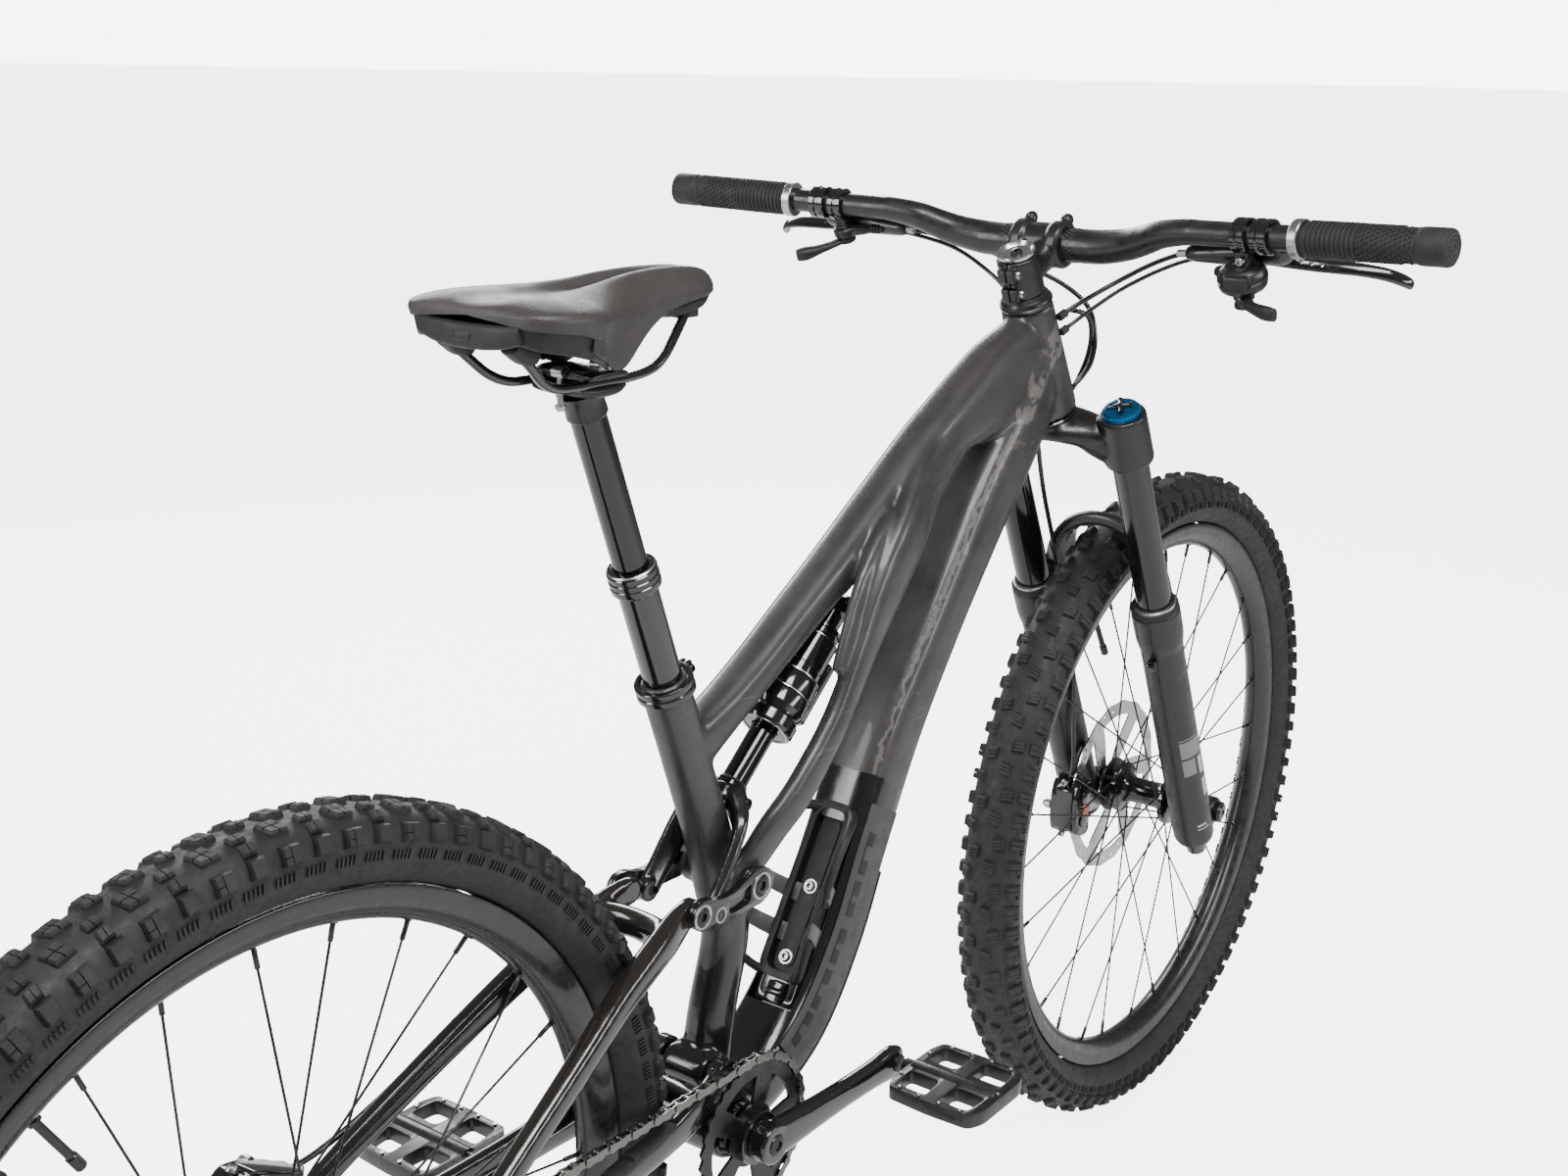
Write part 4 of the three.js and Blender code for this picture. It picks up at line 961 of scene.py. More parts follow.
# ---- Front triangle -----------------------------------------------------------
def frame_tubes():
    """The shapes that melt into the front triangle."""
    top = tube([
        [498, 0, 925, 40, 19], [470, 0, 915, 44, 21.5], [420, 0, 899, 44, 23], [380, 0, 886, 37, 23.5],
        [340, 0, 872, 29, 23.5], [300, 0, 852, 27, 23], [235, 0, 814, 24, 22], [174, 0, 778, 21, 21],
        [115, 0, 745, 18, 20], [62, 0, 714, 17, 19], [15, 0, 688, 19, 18], [-32, 0, 664, 25, 16],
    ], power=0.72)
    down = tube([
        [506, 0, 888, 18, 20], [475, 0, 866, 27, 25], [440, 0, 838, 34, 28], [400, 0, 797, 34, 29.5],
        [366, 0, 757, 32, 30.5], [310, 0, 688, 30, 31.5], [250, 0, 608, 31.5, 32.5],
        [197, 0, 514, 32, 33], [162, 0, 447, 33, 33], [116, 0, 388, 33.5, 33], [60, 0, 352, 30, 33],
        [0, 0, 340, 27, 32]
    ], power=0.6)
    collar = SEAT([(0, 0, -1), (0, 0, -60), (0, 0, -110), (0, 0, -155)])
    seat = tube([
        [*collar[0], 18.6, 18.6], [*collar[1], 18.4, 18.4], [*collar[2], 18.6, 18.4],
        [*collar[3], 20, 17.5], [20, 0, 545, 22, 17.5], [30, 0, 495, 21, 17.5], [12, 0, 425, 21, 18.5],
        [0, 0, 340, 22, 21]
    ], power=0.85)
    # The arm on the right side, from the top tube past the shock to the rocker's pivot.
    arm = tube([
        [345, -9, 868, 22, 13], [290, -16, 838, 27, 12], [240, -32, 802, 28, 11.5],
        [198, -39, 763, 25, 10], [160, -42, 717, 17.5, 9.5], [130, -42, 675, 15, 10],
        [110, -42, 651, 15.5, 10], [90, -41, 630, 17, 10], [70, -39, 610, 17.5, 10],
        [48, -34, 590, 17.5, 9.5], [32, -27, 568, 16.5, 9], [18, -19, 548, 15, 8]
    ], power=0.82)
    hood = tube([
        [262, -18, 806, 26, 16], [232, -24, 786, 26, 15], [206, -29, 766, 22, 12],
        [186, -32, 748, 17, 9]
    ], power=0.9)
    head = rod(STEER((0, 0, 3)), STEER((0, 0, 123)), 28.5, 48, 1.5, 24.5)
    gusset = tube([[508, 0, 900, 30, 22], [470, 0, 880, 34, 25], [430, 0, 862, 28, 22]], power=0.8)
    # A web on the right side closes the frame round the head of the shock.
    web = tube([
        [232, -22, 806, 20, 9], [205, -27, 789, 21, 8.5], [180, -31, 768, 20, 7.5],
        [160, -34, 748, 16, 6.5], [143, -37, 727, 12, 6], [126, -39, 703, 8, 5]
    ], power=0.8)
    shell = cross(BB, -36, 36, 27.5, 48, 2)
    lug = cross(MAIN_PIVOT, -22, 22, 16, 36, 2)
    boss = cross(ROCKER_PIVOT, -31, 31, 15, 36, 2)
    return [top, down, seat, arm, hood, web, head, gusset, shell, lug, boss]


def front_triangle():
    """The tubes as one skin, cut for the shock, the storage door, the post and the pivot."""
    swing = math.radians(5.7)
    pocket = []
    for turn in (0.0, swing):
        angle = math.radians(40.6) - turn
        back = np.array([-math.cos(angle), 0, -math.sin(angle)])
        eye = np.array([176.0, 0, 741])
        pocket.append(rod(eye - back * 4, eye + back * 192, 27.6, 48, 8))
    store = box((-84.4, -23.8, -8), (84.4, 23.8, 45))
    store = (STORE(store[0]), store[1])
    post_bore = rod(SEAT((0, 0, -154)), SEAT((0, 0, 20)), 15.6, 48, 0.2)
    pivot = cross(ROCKER_PIVOT, -60, 60, 6.5, 32, 0.2)
    obj = fused("front_triangle_look", frame_tubes(), holes=pocket, voxel=2.2, relax=9,
                late_holes=[store, post_bore, pivot])
    finish_piece(obj, "frame", CARBON, ["front_triangle"], 40)


def headset():
    """Two covers and the ports where the cables enter."""
    top = lathe([
        (14.8, 123.2), (24.6, 123.2), (25.2, 124.2), (25.2, 125.6), (23.6, 126.6), (23.0, 129.0),
        (20.8, 131.2), (20.4, 133.7), (14.8, 133.7), (14.8, 123.2)
    ], 64, "z")
    piece(
        "headset_top", "frame", SATIN, top, place=STEER, stands_for=["headset_upper"],
        slot="satin_black"
    )
    low = lathe([
        (14.8, 2.0), (26.5, 2.0), (27.6, 1.2), (27.6, -0.1), (14.8, -0.1), (14.8, 2.0)
    ], 64, "z")
    piece(
        "headset_low", "frame", GLOSS, low, place=STEER, stands_for=["headset_lower"],
        slot="satin_black"
    )
    ports = []
    for side in (-1, 1):
        a = STEER((10, side * 25.5, 103))
        b = STEER((20, side * 27.5, 103))
        ports.append(rod(a, b, 4.2, 20, 0.6))
        ports.append(rod(STEER((8, side * 26, 88)), STEER((17, side * 28, 88)), 3.9, 20, 0.6))
    piece("cable_ports", "frame", MOULDED, *ports)


def seat_collar():
    """A ring with two ears and its bolt."""
    ring = lathe([
        (19.0, -15), (22.6, -15), (23.4, -14), (23.4, -9.5), (22.2, -8.6), (22.2, -7.6), (23.4, -6.8),
        (23.4, -3), (22.6, -2), (19.0, -2), (19.0, -15)
    ], 64, "z")
    ears = []
    for y in (-4.6, 1.2):
        ears.append(box((19.5, y, -13.5), (29.5, y + 4.0, -3.5)))
    head = bolt((25.2, -4.6, -8.5), (0, -1, 0), 4.0, 3.6, 2.2)
    barrel = cross((25.2, -8.5), -4.6, 8.4, 2.6, 18, 0.4)
    piece("seat_collar", "frame", GLOSS, ring, *ears, barrel, place=SEAT, stands_for=["seat_clamp"],
          slot="dark_metal", bevel=0.5)
    piece("seat_collar_bolt", "frame", DARK, head, place=SEAT)


# ---- Seatpost and saddle --------------------------------------------------------
def seatpost():
    """A dropper post with its head, the rails and the saddle."""
    outer = lathe([(13.6, -150), (15.2, -150), (15.45, -149), (15.45, 80.0), (16.8, 82), (19.3, 83.2),
                   (19.6, 84.0), (19.6, 88.2), (18.9, 88.8), (18.9, 89.8), (19.6, 90.4), (19.6, 93.2),
                   (18.7, 93.9), (18.7, 95.0), (19.4, 95.7), (19.4, 98.6), (18.2, 99.6), (17.2, 100.4),
                   (14.4, 101), (13.6, 101), (13.6, -150)], 72, "z")
    piece(
        "post_outer", "frame", GLOSS, outer, place=SEAT, stands_for=["seatpost_outer"],
        slot="gloss_black", angle=25
    )
    ring = lathe([(17.4, 100.2), (18.5, 99.6), (18.8, 100.2), (17.6, 101.2), (17.4, 100.2)], 72, "z")
    piece("post_ring", "frame", STEEL, ring, place=SEAT)
    inner = lathe([(0, -20), (13.25, -20), (13.25, 226.6), (0, 226.6)], 72, "z")
    piece("post_inner", "seatpost", STANCHION, inner, place=SEAT, stands_for=["seatpost_inner"],
          slot="stanchion_coat", angle=25)
    head = lathe([
        (0, 226.7), (14.2, 226.7), (15.2, 228), (14.8, 237), (16.0, 243), (17.5, 247), (0, 247)
    ], 72, "z")
    cradle = tube([
        [-22, 0, 1, 3, 24], [-10, 0, -1, 5, 27], [10, 0, -1, 5, 27], [22, 0, 1, 3, 24]
    ], 24, 0.6)
    place = Place(SEAT((0, 0, 250)))
    piece("post_head", "seatpost", SATIN, head, place=SEAT)
    caps = []
    for side in (-1, 1):
        cap = tube([[-19, side * 22, 9.5, 2.2, 6.5], [-8, side * 22, 10.5, 3.6, 7.5],
                    [8, side * 22, 10.5, 3.6, 7.5], [19, side * 22, 9.5, 2.2, 6.5]], 16, 0.7)
        caps.append(cap)
    bolts = [upright((x, 0), -13, 13, 2.4, 16, 0.4) for x in (-19, 19)]
    nuts = [cross((x, 12), -5, 5, 4.6, 20, 0.5) for x in (-19, 19)]
    heads = [bolt((x, 0, -11), (0, 0, -1), 4.0, 4.0, 2.2) for x in (-19, 19)]
    bridge = [tube([[x - 4, 0, 10, 2.4, 27], [x + 4, 0, 10, 2.4, 27]], 16, 0.6) for x in (-14, 14)]
    piece("saddle_cradle", "seatpost", SATIN, cradle, *caps, *bridge, place=place,
          stands_for=["saddle_clamp"], slot="dark_metal", bevel=0.4)
    piece("saddle_bolts", "seatpost", STEEL, *bolts, *nuts, *heads, place=place)
    rails = []
    for side in (-1, 1):
        rails.append(sweep([
            (-84, side * 29.5, 32), (-76, side * 28.5, 25), (-62, side * 25, 13),
            (-46, side * 22.6, 6.4), (-26, side * 22, 5), (0, side * 22, 5), (26, side * 22, 5),
            (50, side * 21.6, 7.5), (66, side * 20.6, 15), (84, side * 17, 30), (98, side * 13, 41),
            (104, side * 11, 44)
        ], 3.5, 16, 6))
    piece("saddle_rails_look", "seatpost", GLOSS, *rails, place=place, stands_for=["saddle_rails"],
          slot="satin_black")
    saddle(place)


# Saddle stations: x, half width, top, edge height, foot of the skirt, foot half width, channel depth.
SADDLE_STATIONS = [
    (-105.5, 46, 63.5, 60.0, 55.0, 45, 0.0),
    (-101, 60, 68.0, 61.0, 53.0, 58, 1.0),
    (-90, 70, 71.0, 61.5, 51.5, 68, 3.5),
    (-70, 75, 71.6, 60.5, 49.0, 73, 5.0),
    (-48, 72, 71.2, 58.5, 42.0, 68, 6.0),
    (-27, 59, 71.0, 56.0, 30.5, 51, 6.5),
    (-8, 45, 71.8, 54.0, 17.0, 36, 7.0),
    (10, 36, 73.2, 53.0, 9.5, 29.5, 7.0),
    (24, 31.5, 74.8, 53.5, 14.0, 27, 6.5),
    (40, 28, 76.0, 54.5, 28.0, 24, 5.5),
    (60, 25, 76.5, 56.0, 42.0, 22.5, 4.0),
    (85, 22.3, 76.0, 57.0, 48.0, 20.5, 2.5),
    (108, 20.4, 74.5, 57.5, 50.0, 19, 1.0),
    (125, 17.5, 71.0, 57.5, 52.0, 16.5, 0.2),
    (133.5, 11.5, 65.5, 57.5, 54.0, 11, 0.0),
]


def saddle(place):
    """A cover with a channel, over a base with wings, anchors and two insets."""
    rings = []
    for x, half, top, edge, foot, foot_half, channel in SADDLE_STATIONS:
        right = [
            (0.0, top - channel),
            (0.14 * half, top - channel * 0.92),
            (0.30 * half, top - channel * 0.22),
            (0.48 * half, top),
            (0.70 * half, top - (top - edge) * 0.22),
            (0.88 * half, top - (top - edge) * 0.52),
            (0.985 * half, edge + 2.0),
            (half, edge - 3.0),
            ((half + 2 * foot_half) / 3, (edge + foot) / 2),
            (foot_half, foot + 1.0),
            (foot_half - 3.0, foot),
            (foot_half - 5.0, foot + 3.0),
            (0.72 * foot_half, edge - 4.0),
            (0.35 * foot_half, edge - 1.0),
            (0.0, edge - 1.0),
        ]
        loop = [(-y, z) for y, z in right] + list(reversed(right[1:-1]))
        rings.append([(x, y, z) for y, z in loop])
    cover = loft(rings)
    piece(
        "saddle_look", "seatpost", SADDLE, cover, place=place, stands_for=["saddle"],
        slot="saddle_cover", rounds=2, angle=70
    )
    wings = []
    stations = [
        (-104, 45, 61, 46, 42), (-95, 61.5, 61, 41, 57), (-75, 70, 59, 37, 66), (-52, 67.5, 52, 31, 63),
        (-32, 55, 40.5, 25, 52), (-14, 40.3, 28, 19, 38.5), (-4, 33, 20, 15.5, 32)
    ]
    for side in (1, -1):
        rows = []
        for x, half, top, low, low_half in stations:
            inner = low_half - 7
            loop = [(half - 2.2, top), (half - 1.6, (top + low) / 2 + 1), (low_half - 0.5, low),
                    (low_half - 3.5, low - 1.2), (inner, low + 3), (inner + 1, top)]
            if side < 0:
                loop = loop[::-1]
            rows.append([(x, side * y, z) for y, z in loop])
        wings.append(loft(rows))
    plate = tube([[-98, 0, 46, 3, 42], [-70, 0, 46, 3.5, 64], [-40, 0, 46, 3, 56], [0, 0, 47, 3, 30],
                  [60, 0, 50, 3, 19], [110, 0, 53, 3, 15]], 20, 0.6)
    nose = tube([
        [60, 0, 46, 3, 20], [85, 0, 45, 6, 19], [112, 0, 48, 6, 17.5], [128, 0, 53.5, 3, 12]
    ], 20, 0.7)
    clip = [
        tube([
            [-101, -46, 50, 6, 4], [-104, -26, 47.5, 8, 4.5], [-105, 0, 46.5, 8.5, 4.5],
            [-104, 26, 47.5, 8, 4.5], [-101, 46, 50, 6, 4]
        ], 24, 0.6),
        cross((-104, 46.5), -9, 9, 6.5, 24, 1.5), box((-107, -6, 44.5), (-101, 6, 48.5))
    ]
    anchors = [
        tube([
            [-96, side * 29.5, 42, 6, 8], [-84, side * 29.5, 36.5, 8.5, 7.5],
            [-74, side * 29.5, 33, 6.5, 6.5]
        ], 20, 0.7)
        for side in (-1, 1)
    ]
    anchors.append(box((92, -16, 38), (110, 16, 49)))
    piece(
        "saddle_base", "seatpost", MOULDED, *wings, plate, nose, *clip, *anchors, place=place, bevel=1.2
    )
    insets = []
    for side in (1, -1):
        rows = []
        for x, half, top, low in [(-58, 67.6, 47.5, 37), (-46, 65, 44, 31), (-33, 55.6, 38, 27.5),
                                  (-21, 46.6, 32, 24), (-13, 40.8, 27, 22)]:
            loop = [
                (half - 0.4, top), (half + 0.8, top - 0.6), (half - 0.4, low + 0.6), (half - 1.6, low),
                (half - 4, (top + low) / 2)
            ]
            if side < 0:
                loop = loop[::-1]
            rows.append([(x, side * y, z) for y, z in loop])
        insets.append(loft(rows))
    piece("saddle_insets", "seatpost", HONEY, *insets, place=place)


# ---- Fork -------------------------------------------------------------------------
def fork():
    """Crown, steerer, legs and top caps; the lowers slide on the legs."""
    arms = []
    for side in (1, -1):
        arms.append(tube([
            [0, side * 4, -12, 11, 26], [1, side * 20, -13, 12.5, 25], [4.5, side * 34, -18, 14, 22.5],
            [9, side * 46, -28, 19, 20], [13, side * 58, -33, 25, 20],
            [LEG_X, side * LEG_Y, -32, 26, 21]
        ], 32, 0.9))
        arms.append(upright(leg_at(side), -58, -2.5, 24.3, 56, 1.5, 23.4))
    stub = upright((0, 0), -20, -0.4, 24, 48, 2, 27.4)
    steerer = upright((0, 0), -2, 172, 14.3, 40, 0.5)
    crown = fused("crown", [*arms, stub], voxel=1.5, relax=14, place=STEER,
                  late_holes=[upright(leg_at(s), -60, 2, 18.3, 48, 0.1) for s in (-1, 1)])
    finish_piece(crown, "steering", SATIN, ["fork_crown_steerer"], 40)
    piece("steerer", "steering", SATIN, steerer, place=STEER)
    for side, word in ((1, "left"), (-1, "right")):
        leg = upright(leg_at(side), -385, -5.9, 18, 64, 0.6)
        piece("stanchion_" + word, "steering", STANCHION, leg, place=STEER,
              stands_for=["fork_stanchion_" + word], slot="stanchion_coat")
    cap = [upright(leg_at(1), -5.9, -2, 17.2, 48, 0.5), upright(leg_at(1), -2, 3, 12, 6, 0.6)]
    piece("air_cap", "steering", GLOSS, *cap, place=STEER)
    knob_line = [
        (0, -5.4), (17.6, -5.4), (18.4, -4.6), (18.4, -2.2), (17.4, -1.2), (17.4, -0.2), (17.9, 0.4),
        (17.9, 2.2), (16.8, 3.6), (14.2, 4.4), (9.5, 4.6), (0, 4.6)
    ]
    dial = lathe(knob_line, 72, "z", (LEG_X, -LEG_Y, 0))
    grips = []
    for k in range(36):
        a = TAU * k / 36
        c, s = math.cos(a), math.sin(a)
        grips.append(upright((LEG_X + 18.0 * c, 18.0 * s - LEG_Y), -0.4 + 0.6, 2.4, 0.7, 6, 0.1))
    piece(
        "damper_dial_look", "damper_dial", BLUE, dial, *grips, place=STEER, stands_for=["damper_dial"],
        slot="blue_anodised", angle=30
    )
    star = []
    for k in range(4):
        a = TAU * (k + 0.3) / 4
        d = np.array([math.cos(a), math.sin(a), 0])
        middle = np.array([LEG_X, -LEG_Y, 6.0]) + d * 6
        tip = np.array([LEG_X, -LEG_Y, 5.4]) + d * 11.5
        star.append(sweep([(LEG_X, -LEG_Y, 6.2), middle, tip], [3.4, 2.2, 3.0], 12, 4))
    star.append(upright(leg_at(-1), 4.4, 7.6, 4.2, 24, 0.8))
    piece("dial_star", "damper_dial", GLOSS, *star, place=STEER)
    fork_lowers()


def fork_lowers():
    """Two legs joined by an arch, with seals, axle and caliper."""
    shapes = []
    for side in (1, -1):
        y = side * LEG_Y
        line = [
            (0, -582), (15.5, -582), (20, -579), (22.6, -572), (22.8, -540), (22.6, -420), (22.4, -310),
            (22.8, -292), (24.4, -284), (25.2, -276), (25.4, -246), (24.6, -242.4), (0, -242.4)
        ]
        shapes.append(lathe(line, 56, "z", (LEG_X, y, 0)))
        shapes.append(tube([
            [LEG_X, y, -528, 10, 17], [28, y, -548, 16, 15], [40, y - side * 1, -559, 17, 14],
            [50, y - side * 1, -560, 14, 12]
        ], 24, 0.8))
        shapes.append(cross(FORK_AXLE, side * 55.4, side * 88, 15.5, 40, 1.5))
        shapes.append(tube([
            [30, y, -300, 16, 8], [42, side * 67, -282, 16, 8], [50, side * 63, -258, 20, 8],
            [54, side * 58, -232, 21, 8], [56, side * 49, -203, 17, 7.5],
            [56.5, side * 35, -184, 11, 7.5], [57, side * 17, -174.5, 7.5, 7.5], [57, 0, -172, 6.5, 7.5]
        ], 24, 0.75))
    bores = [upright(leg_at(s), -575, -200, 18.4, 48, 0.1) for s in (-1, 1)]
    clearance = [upright(leg_at(s), -233, -120, 26.0, 48, 0.1) for s in (-1, 1)]
    axle_hole = cross(FORK_AXLE, -120, 120, 7.8, 32, 0.1)
    lowers = fused("lowers", shapes, voxel=1.6, relax=8, place=STEER,
                   late_holes=[*bores, *clearance, axle_hole])
    finish_piece(lowers, "fork_lowers", SATIN, ["fork_lowers"], 40)
    # The arch has short ribs on its rear face.
    ribs = []
    for side in (1, -1):
        for (x0, y0, z0), (x1, y1, z1) in [
            ((46, 66, -262), (50, 50, -232)), ((47, 63, -240), (51, 52, -215)),
            ((49, 56, -222), (52, 42, -201)), ((50, 48, -205), (52, 35, -192)),
            ((51, 38, -190), (52, 26, -184)), ((51, 26, -181), (52, 14, -179))
        ]:
            ribs.append(rod((x0, side * y0, z0), (x1, side * y1, z1), 2.0, 8, 0.5))
    piece("arch_ribs", "fork_lowers", SATIN, *ribs, place=STEER)
    wipers, rings = [], []
    for side in (1, -1):
        at = (LEG_X, side * LEG_Y, 0)
        wipers.append(lathe([(18.2, -243), (24.6, -243), (24.8, -239.6), (23.4, -237.2), (20.0, -235.6),
                             (18.6, -234.2), (18.2, -234.2), (18.2, -243)], 56, "z", at))
        rings.append(lathe([
            (20.6, -236.2), (22.9, -237.2), (22.2, -235.7), (20.8, -235.1), (20.6, -236.2)
        ], 56, "z", at))
    piece("wipers", "fork_lowers", RUBBER, *wipers, place=STEER)
    piece("wiper_springs", "fork_lowers", STEEL, *rings, place=STEER)
    small = []
    for side in (1, -1):
        y = side * LEG_Y
        small.append(rod((-4, y, -302), (-12, y, -302), 6.2, 24, 0.8))
        small.append(rod((-12, y, -302), (-16, y, -302), 4.6, 20, 1.0))
    small.append(upright(leg_at(-1), -600, -581, 10.5, 32, 1.6, 12))
    small.append(upright(leg_at(1), -592, -581, 9, 32, 1.2))
    piece("leg_buttons", "fork_lowers", GLOSS, *small, place=STEER)
    marks()
    axle = [cross(FORK_AXLE, -94.5, -84, 11.5, 36, 1.2), cross(FORK_AXLE, -86, 84, 7.5, 36, 0.5),
            cross(FORK_AXLE, 80, 90, 9.5, 32, 1.0)]
    piece(
        "front_axle_look", "fork_lowers", DARK, *axle, place=STEER, stands_for=["front_axle"],
        slot="dark_metal"
    )
    piece(
        "axle_cap", "fork_lowers", GLOSS, bolt((44, -94.4, -559), (0, -1, 0), 8.5, 1.6, 3.4),
        place=STEER
    )
    caliper("front_caliper", "fork_lowers", (-40, 43.6, -516), -1.1, STEER)
    mount = [sweep([(8, 47, -470), (0, 49, -478), (-9, 51, -492)], [5, 5.6, 6], 14),
             sweep([(12, 51, -562), (0, 52, -556), (-16, 52, -545)], [7, 6.5, 6], 14)]
    piece("caliper_mount", "fork_lowers", SATIN, *mount, place=STEER)


def patch(radius, centre, turn0, turn1, z0, z1, thick=0.12, n=18):
    """A thin curved label on the outside of a fork leg."""
    rows = []
    for z in (z0, z1):
        outer, inner = [], []
        for a in np.linspace(turn0, turn1, n):
            c, s = math.cos(a), math.sin(a)
            outer.append((centre[0] + (radius + thick) * c, centre[1] + (radius + thick) * s, z))
            inner.append((centre[0] + (radius - 0.4) * c, centre[1] + (radius - 0.4) * s, z))
        rows.append(outer + inner[::-1])
    return loft(rows)


def marks():
    """Plain bands on the fork legs, in place of graphics."""
    grey, white = [], []
    for side in (1, -1):
        at = leg_at(side)
        mid = math.radians(-112) if side < 0 else math.radians(112)
        grey.append(patch(22.65, at, mid - 0.62, mid + 0.62, -440, -417))
        grey.append(patch(22.65, at, mid - 0.62, mid + 0.05, -466, -443))
        grey.append(patch(22.65, at, mid - 0.62, mid + 0.62, -414.5, -413.2))
        white.append(patch(22.65, at, mid + 0.25, mid + 0.55, -470, -446))
        white.append(patch(22.65, at, mid + 0.3, mid + 0.6, -505, -480))
        white.append(patch(22.65, at, mid - 0.4, mid + 0.1, -545, -542.5))
        white.append(patch(22.65, at, mid - 0.4, mid + 0.25, -550, -548.8))
    piece("fork_bands_grey", "fork_lowers", GREY_MARK, *grey, place=STEER)
    piece("fork_bands_white", "fork_lowers", WHITE_MARK, *white, place=STEER)


def caliper(name, body, at, turn, place):
    """Four-piston caliper over a disc, its closed back away from the hub."""
    c, s = math.cos(turn), math.sin(turn)
    spin = np.array([[c, 0, s], [0, 1, 0], [-s, 0, c]])

    def put(shape):
        return moved(shape, at, spin)

    outer = rounded([
        (-32, -15), (32, -15), (34, -4), (30, 12), (14, 17), (-14, 17), (-30, 12), (-34, -4)
    ], 6, 4)
    halves = [prism(outer, 3.4, 19.5), prism(outer, -14, -3.4)]
    bridge = prism(rounded([(-26, 9.5), (26, 9.5), (24, 18.5), (-24, 18.5)], 3, 3), -8, 12)
    caps = [cross((x, -1), 19, 22.2, 9.8, 30, 1.0) for x in (-13.5, 13.5)]
    inside = [cross((x, -1), -14, -16.4, 9.2, 30, 0.8) for x in (-13.5, 13.5)]
    piece(
        name + "_look", body, GLOSS, *[put(q) for q in (*halves, bridge, *caps, *inside)], place=place,
        stands_for=[name], slot="gloss_black", bevel=1.1
    )
    bolts = [bolt((x, 19.5, z), "y", 3.2, 2.0, 1.6) for x, z in ((-28, 4), (28, 4))]
    banjo = [cross((0, 13), 20, 27, 5.2, 24, 0.7), cross((0, 13), 27, 30, 3.8, 6, 0.5),
             bolt((-30, 4, 14), (0, 0, 1), 4.2, 4, 2.2), bolt((30, 4, 14), (0, 0, 1), 4.2, 4, 2.2)]
    piece(name + "_bolts", body, STEEL, *[put(q) for q in (*bolts, *banjo)], place=place)
    bars = [prism(rectangle(x - 1.2, -9, x + 1.2, 7, 1, 2), -16.9, -16.2) for x in (-4, 0, 4)]
    pads = [box((-17, -3.3, -13), (17, -1.2, 12)), box((-17, 1.2, -13), (17, 3.3, 12))]
    piece(name + "_marks", body, ORANGE, *[put(q) for q in bars], place=place)
    piece(name + "_pads", body, DARK, *[put(q) for q in pads], place=place)


# ---- Storage door and bottle cage -------------------------------------------
def slab(outline, z0, z1, holes=()):
    """[x, y] corners made solid from z0 to z1."""
    if holes:
        v, f = flat("slab", outline, holes, (z1 - z0) / 2, y=(z0 + z1) / 2)
    else:
        v, f = prism(outline, z0, z1)
    return np.asarray(v)[:, [0, 2, 1]], f


def storage():
    """The door in the down tube, with the bottle cage on it."""
    door = slab(rectangle(-83.5, -23.2, 83.5, 23.2, 6), -7.6, -0.5)
    latch = slab(rectangle(-82, -9, -64, 9, 3), -0.6, 3.5)
    barrel = cross((-73, 3.2), -8, 8, 3.4, 20, 0.6)
    lip = slab(rectangle(-80, -20, 80, 20, 6), -0.6, 0.3, [rectangle(-77, -17, 77, 17, 5)])
    piece("door_panel", "storage_door", GLOSS, door, latch, barrel, lip, place=STORE,
          stands_for=["storage_door"], slot="gloss_black", bevel=0.6)
    floor = slab(rectangle(-62, -19, 96, 19, 12, 6), 0.4, 3.2)
    wall = slab(rectangle(-62, -21, 99, 21, 15, 8), 0.4, 10.5, [rectangle(-55, -14.5, 92, 14.5, 11, 6)])
    step = slab(rectangle(-50, -9, 84, 9, 8, 6), 3.0, 4.6)
    shapes = [floor, wall, step]
    for side in (-1, 1):
        shapes.append(sweep([
            (92, side * 14, 6), (90, side * 22, 14), (82, side * 32, 27), (66, side * 38.5, 38),
            (44, side * 40, 42), (24, side * 39.5, 41), (14, side * 39.3, 38)
        ], [5, 4.6, 4.2, 3.8, 3.6, 3.6, 3.4], 12, 5))
        shapes.append(sweep([
            (-24, side * 39.3, 40), (-38, side * 38, 37), (-52, side * 32, 26), (-58, side * 22, 12),
            (-58, side * 15, 5)
        ], [3.4, 3.6, 3.8, 4.0, 4.4], 12, 5))
    piece("cage_base", "storage_door", MOULDED, *shapes, place=STORE, stands_for=["bottle_cage"],
          slot="satin_black", bevel=1.0)
    bands = []
    for x, reach in ((-22, 97), (14, 92)):
        rows = []
        for a in np.linspace(-90 - reach, -90 + reach, 34):
            c, s = math.cos(math.radians(a)), math.sin(math.radians(a))
            wide = 8.5 - 2.0 * abs(a + 90) / reach
            slant = 7 * (abs(a + 90) / reach) ** 2
            rows.append([
                (x - wide + slant, 37.3 * c, 40 + 37.3 * s),
                (x + wide + slant, 37.3 * c, 40 + 37.3 * s),
                (x + wide + slant, 40.2 * c, 40 + 40.2 * s), (x - wide + slant, 40.2 * c, 40 + 40.2 * s)
            ])
        bands.append(loft(rows))
    piece("cage_bands", "storage_door", BAND, *bands, place=STORE, bevel=0.7)
    bolts = [bolt((x, 0, 4.4), "z", 5.0, 3.2, 2.6) for x in (-42, 22)]
    washers = [upright((x, 0), 4.2, 5.2, 6.8, 24, 0.3) for x in (-42, 22)]
    piece("cage_bolts", "storage_door", STEEL, *bolts, *washers, place=STORE)


GUARD_LINE = [
    [232, 0, 577, 32, 32.7], [197, 0, 514, 32, 33], [162, 0, 447, 33, 33], [116, 0, 388, 33.5, 33],
    [60, 0, 352, 30, 33]
]


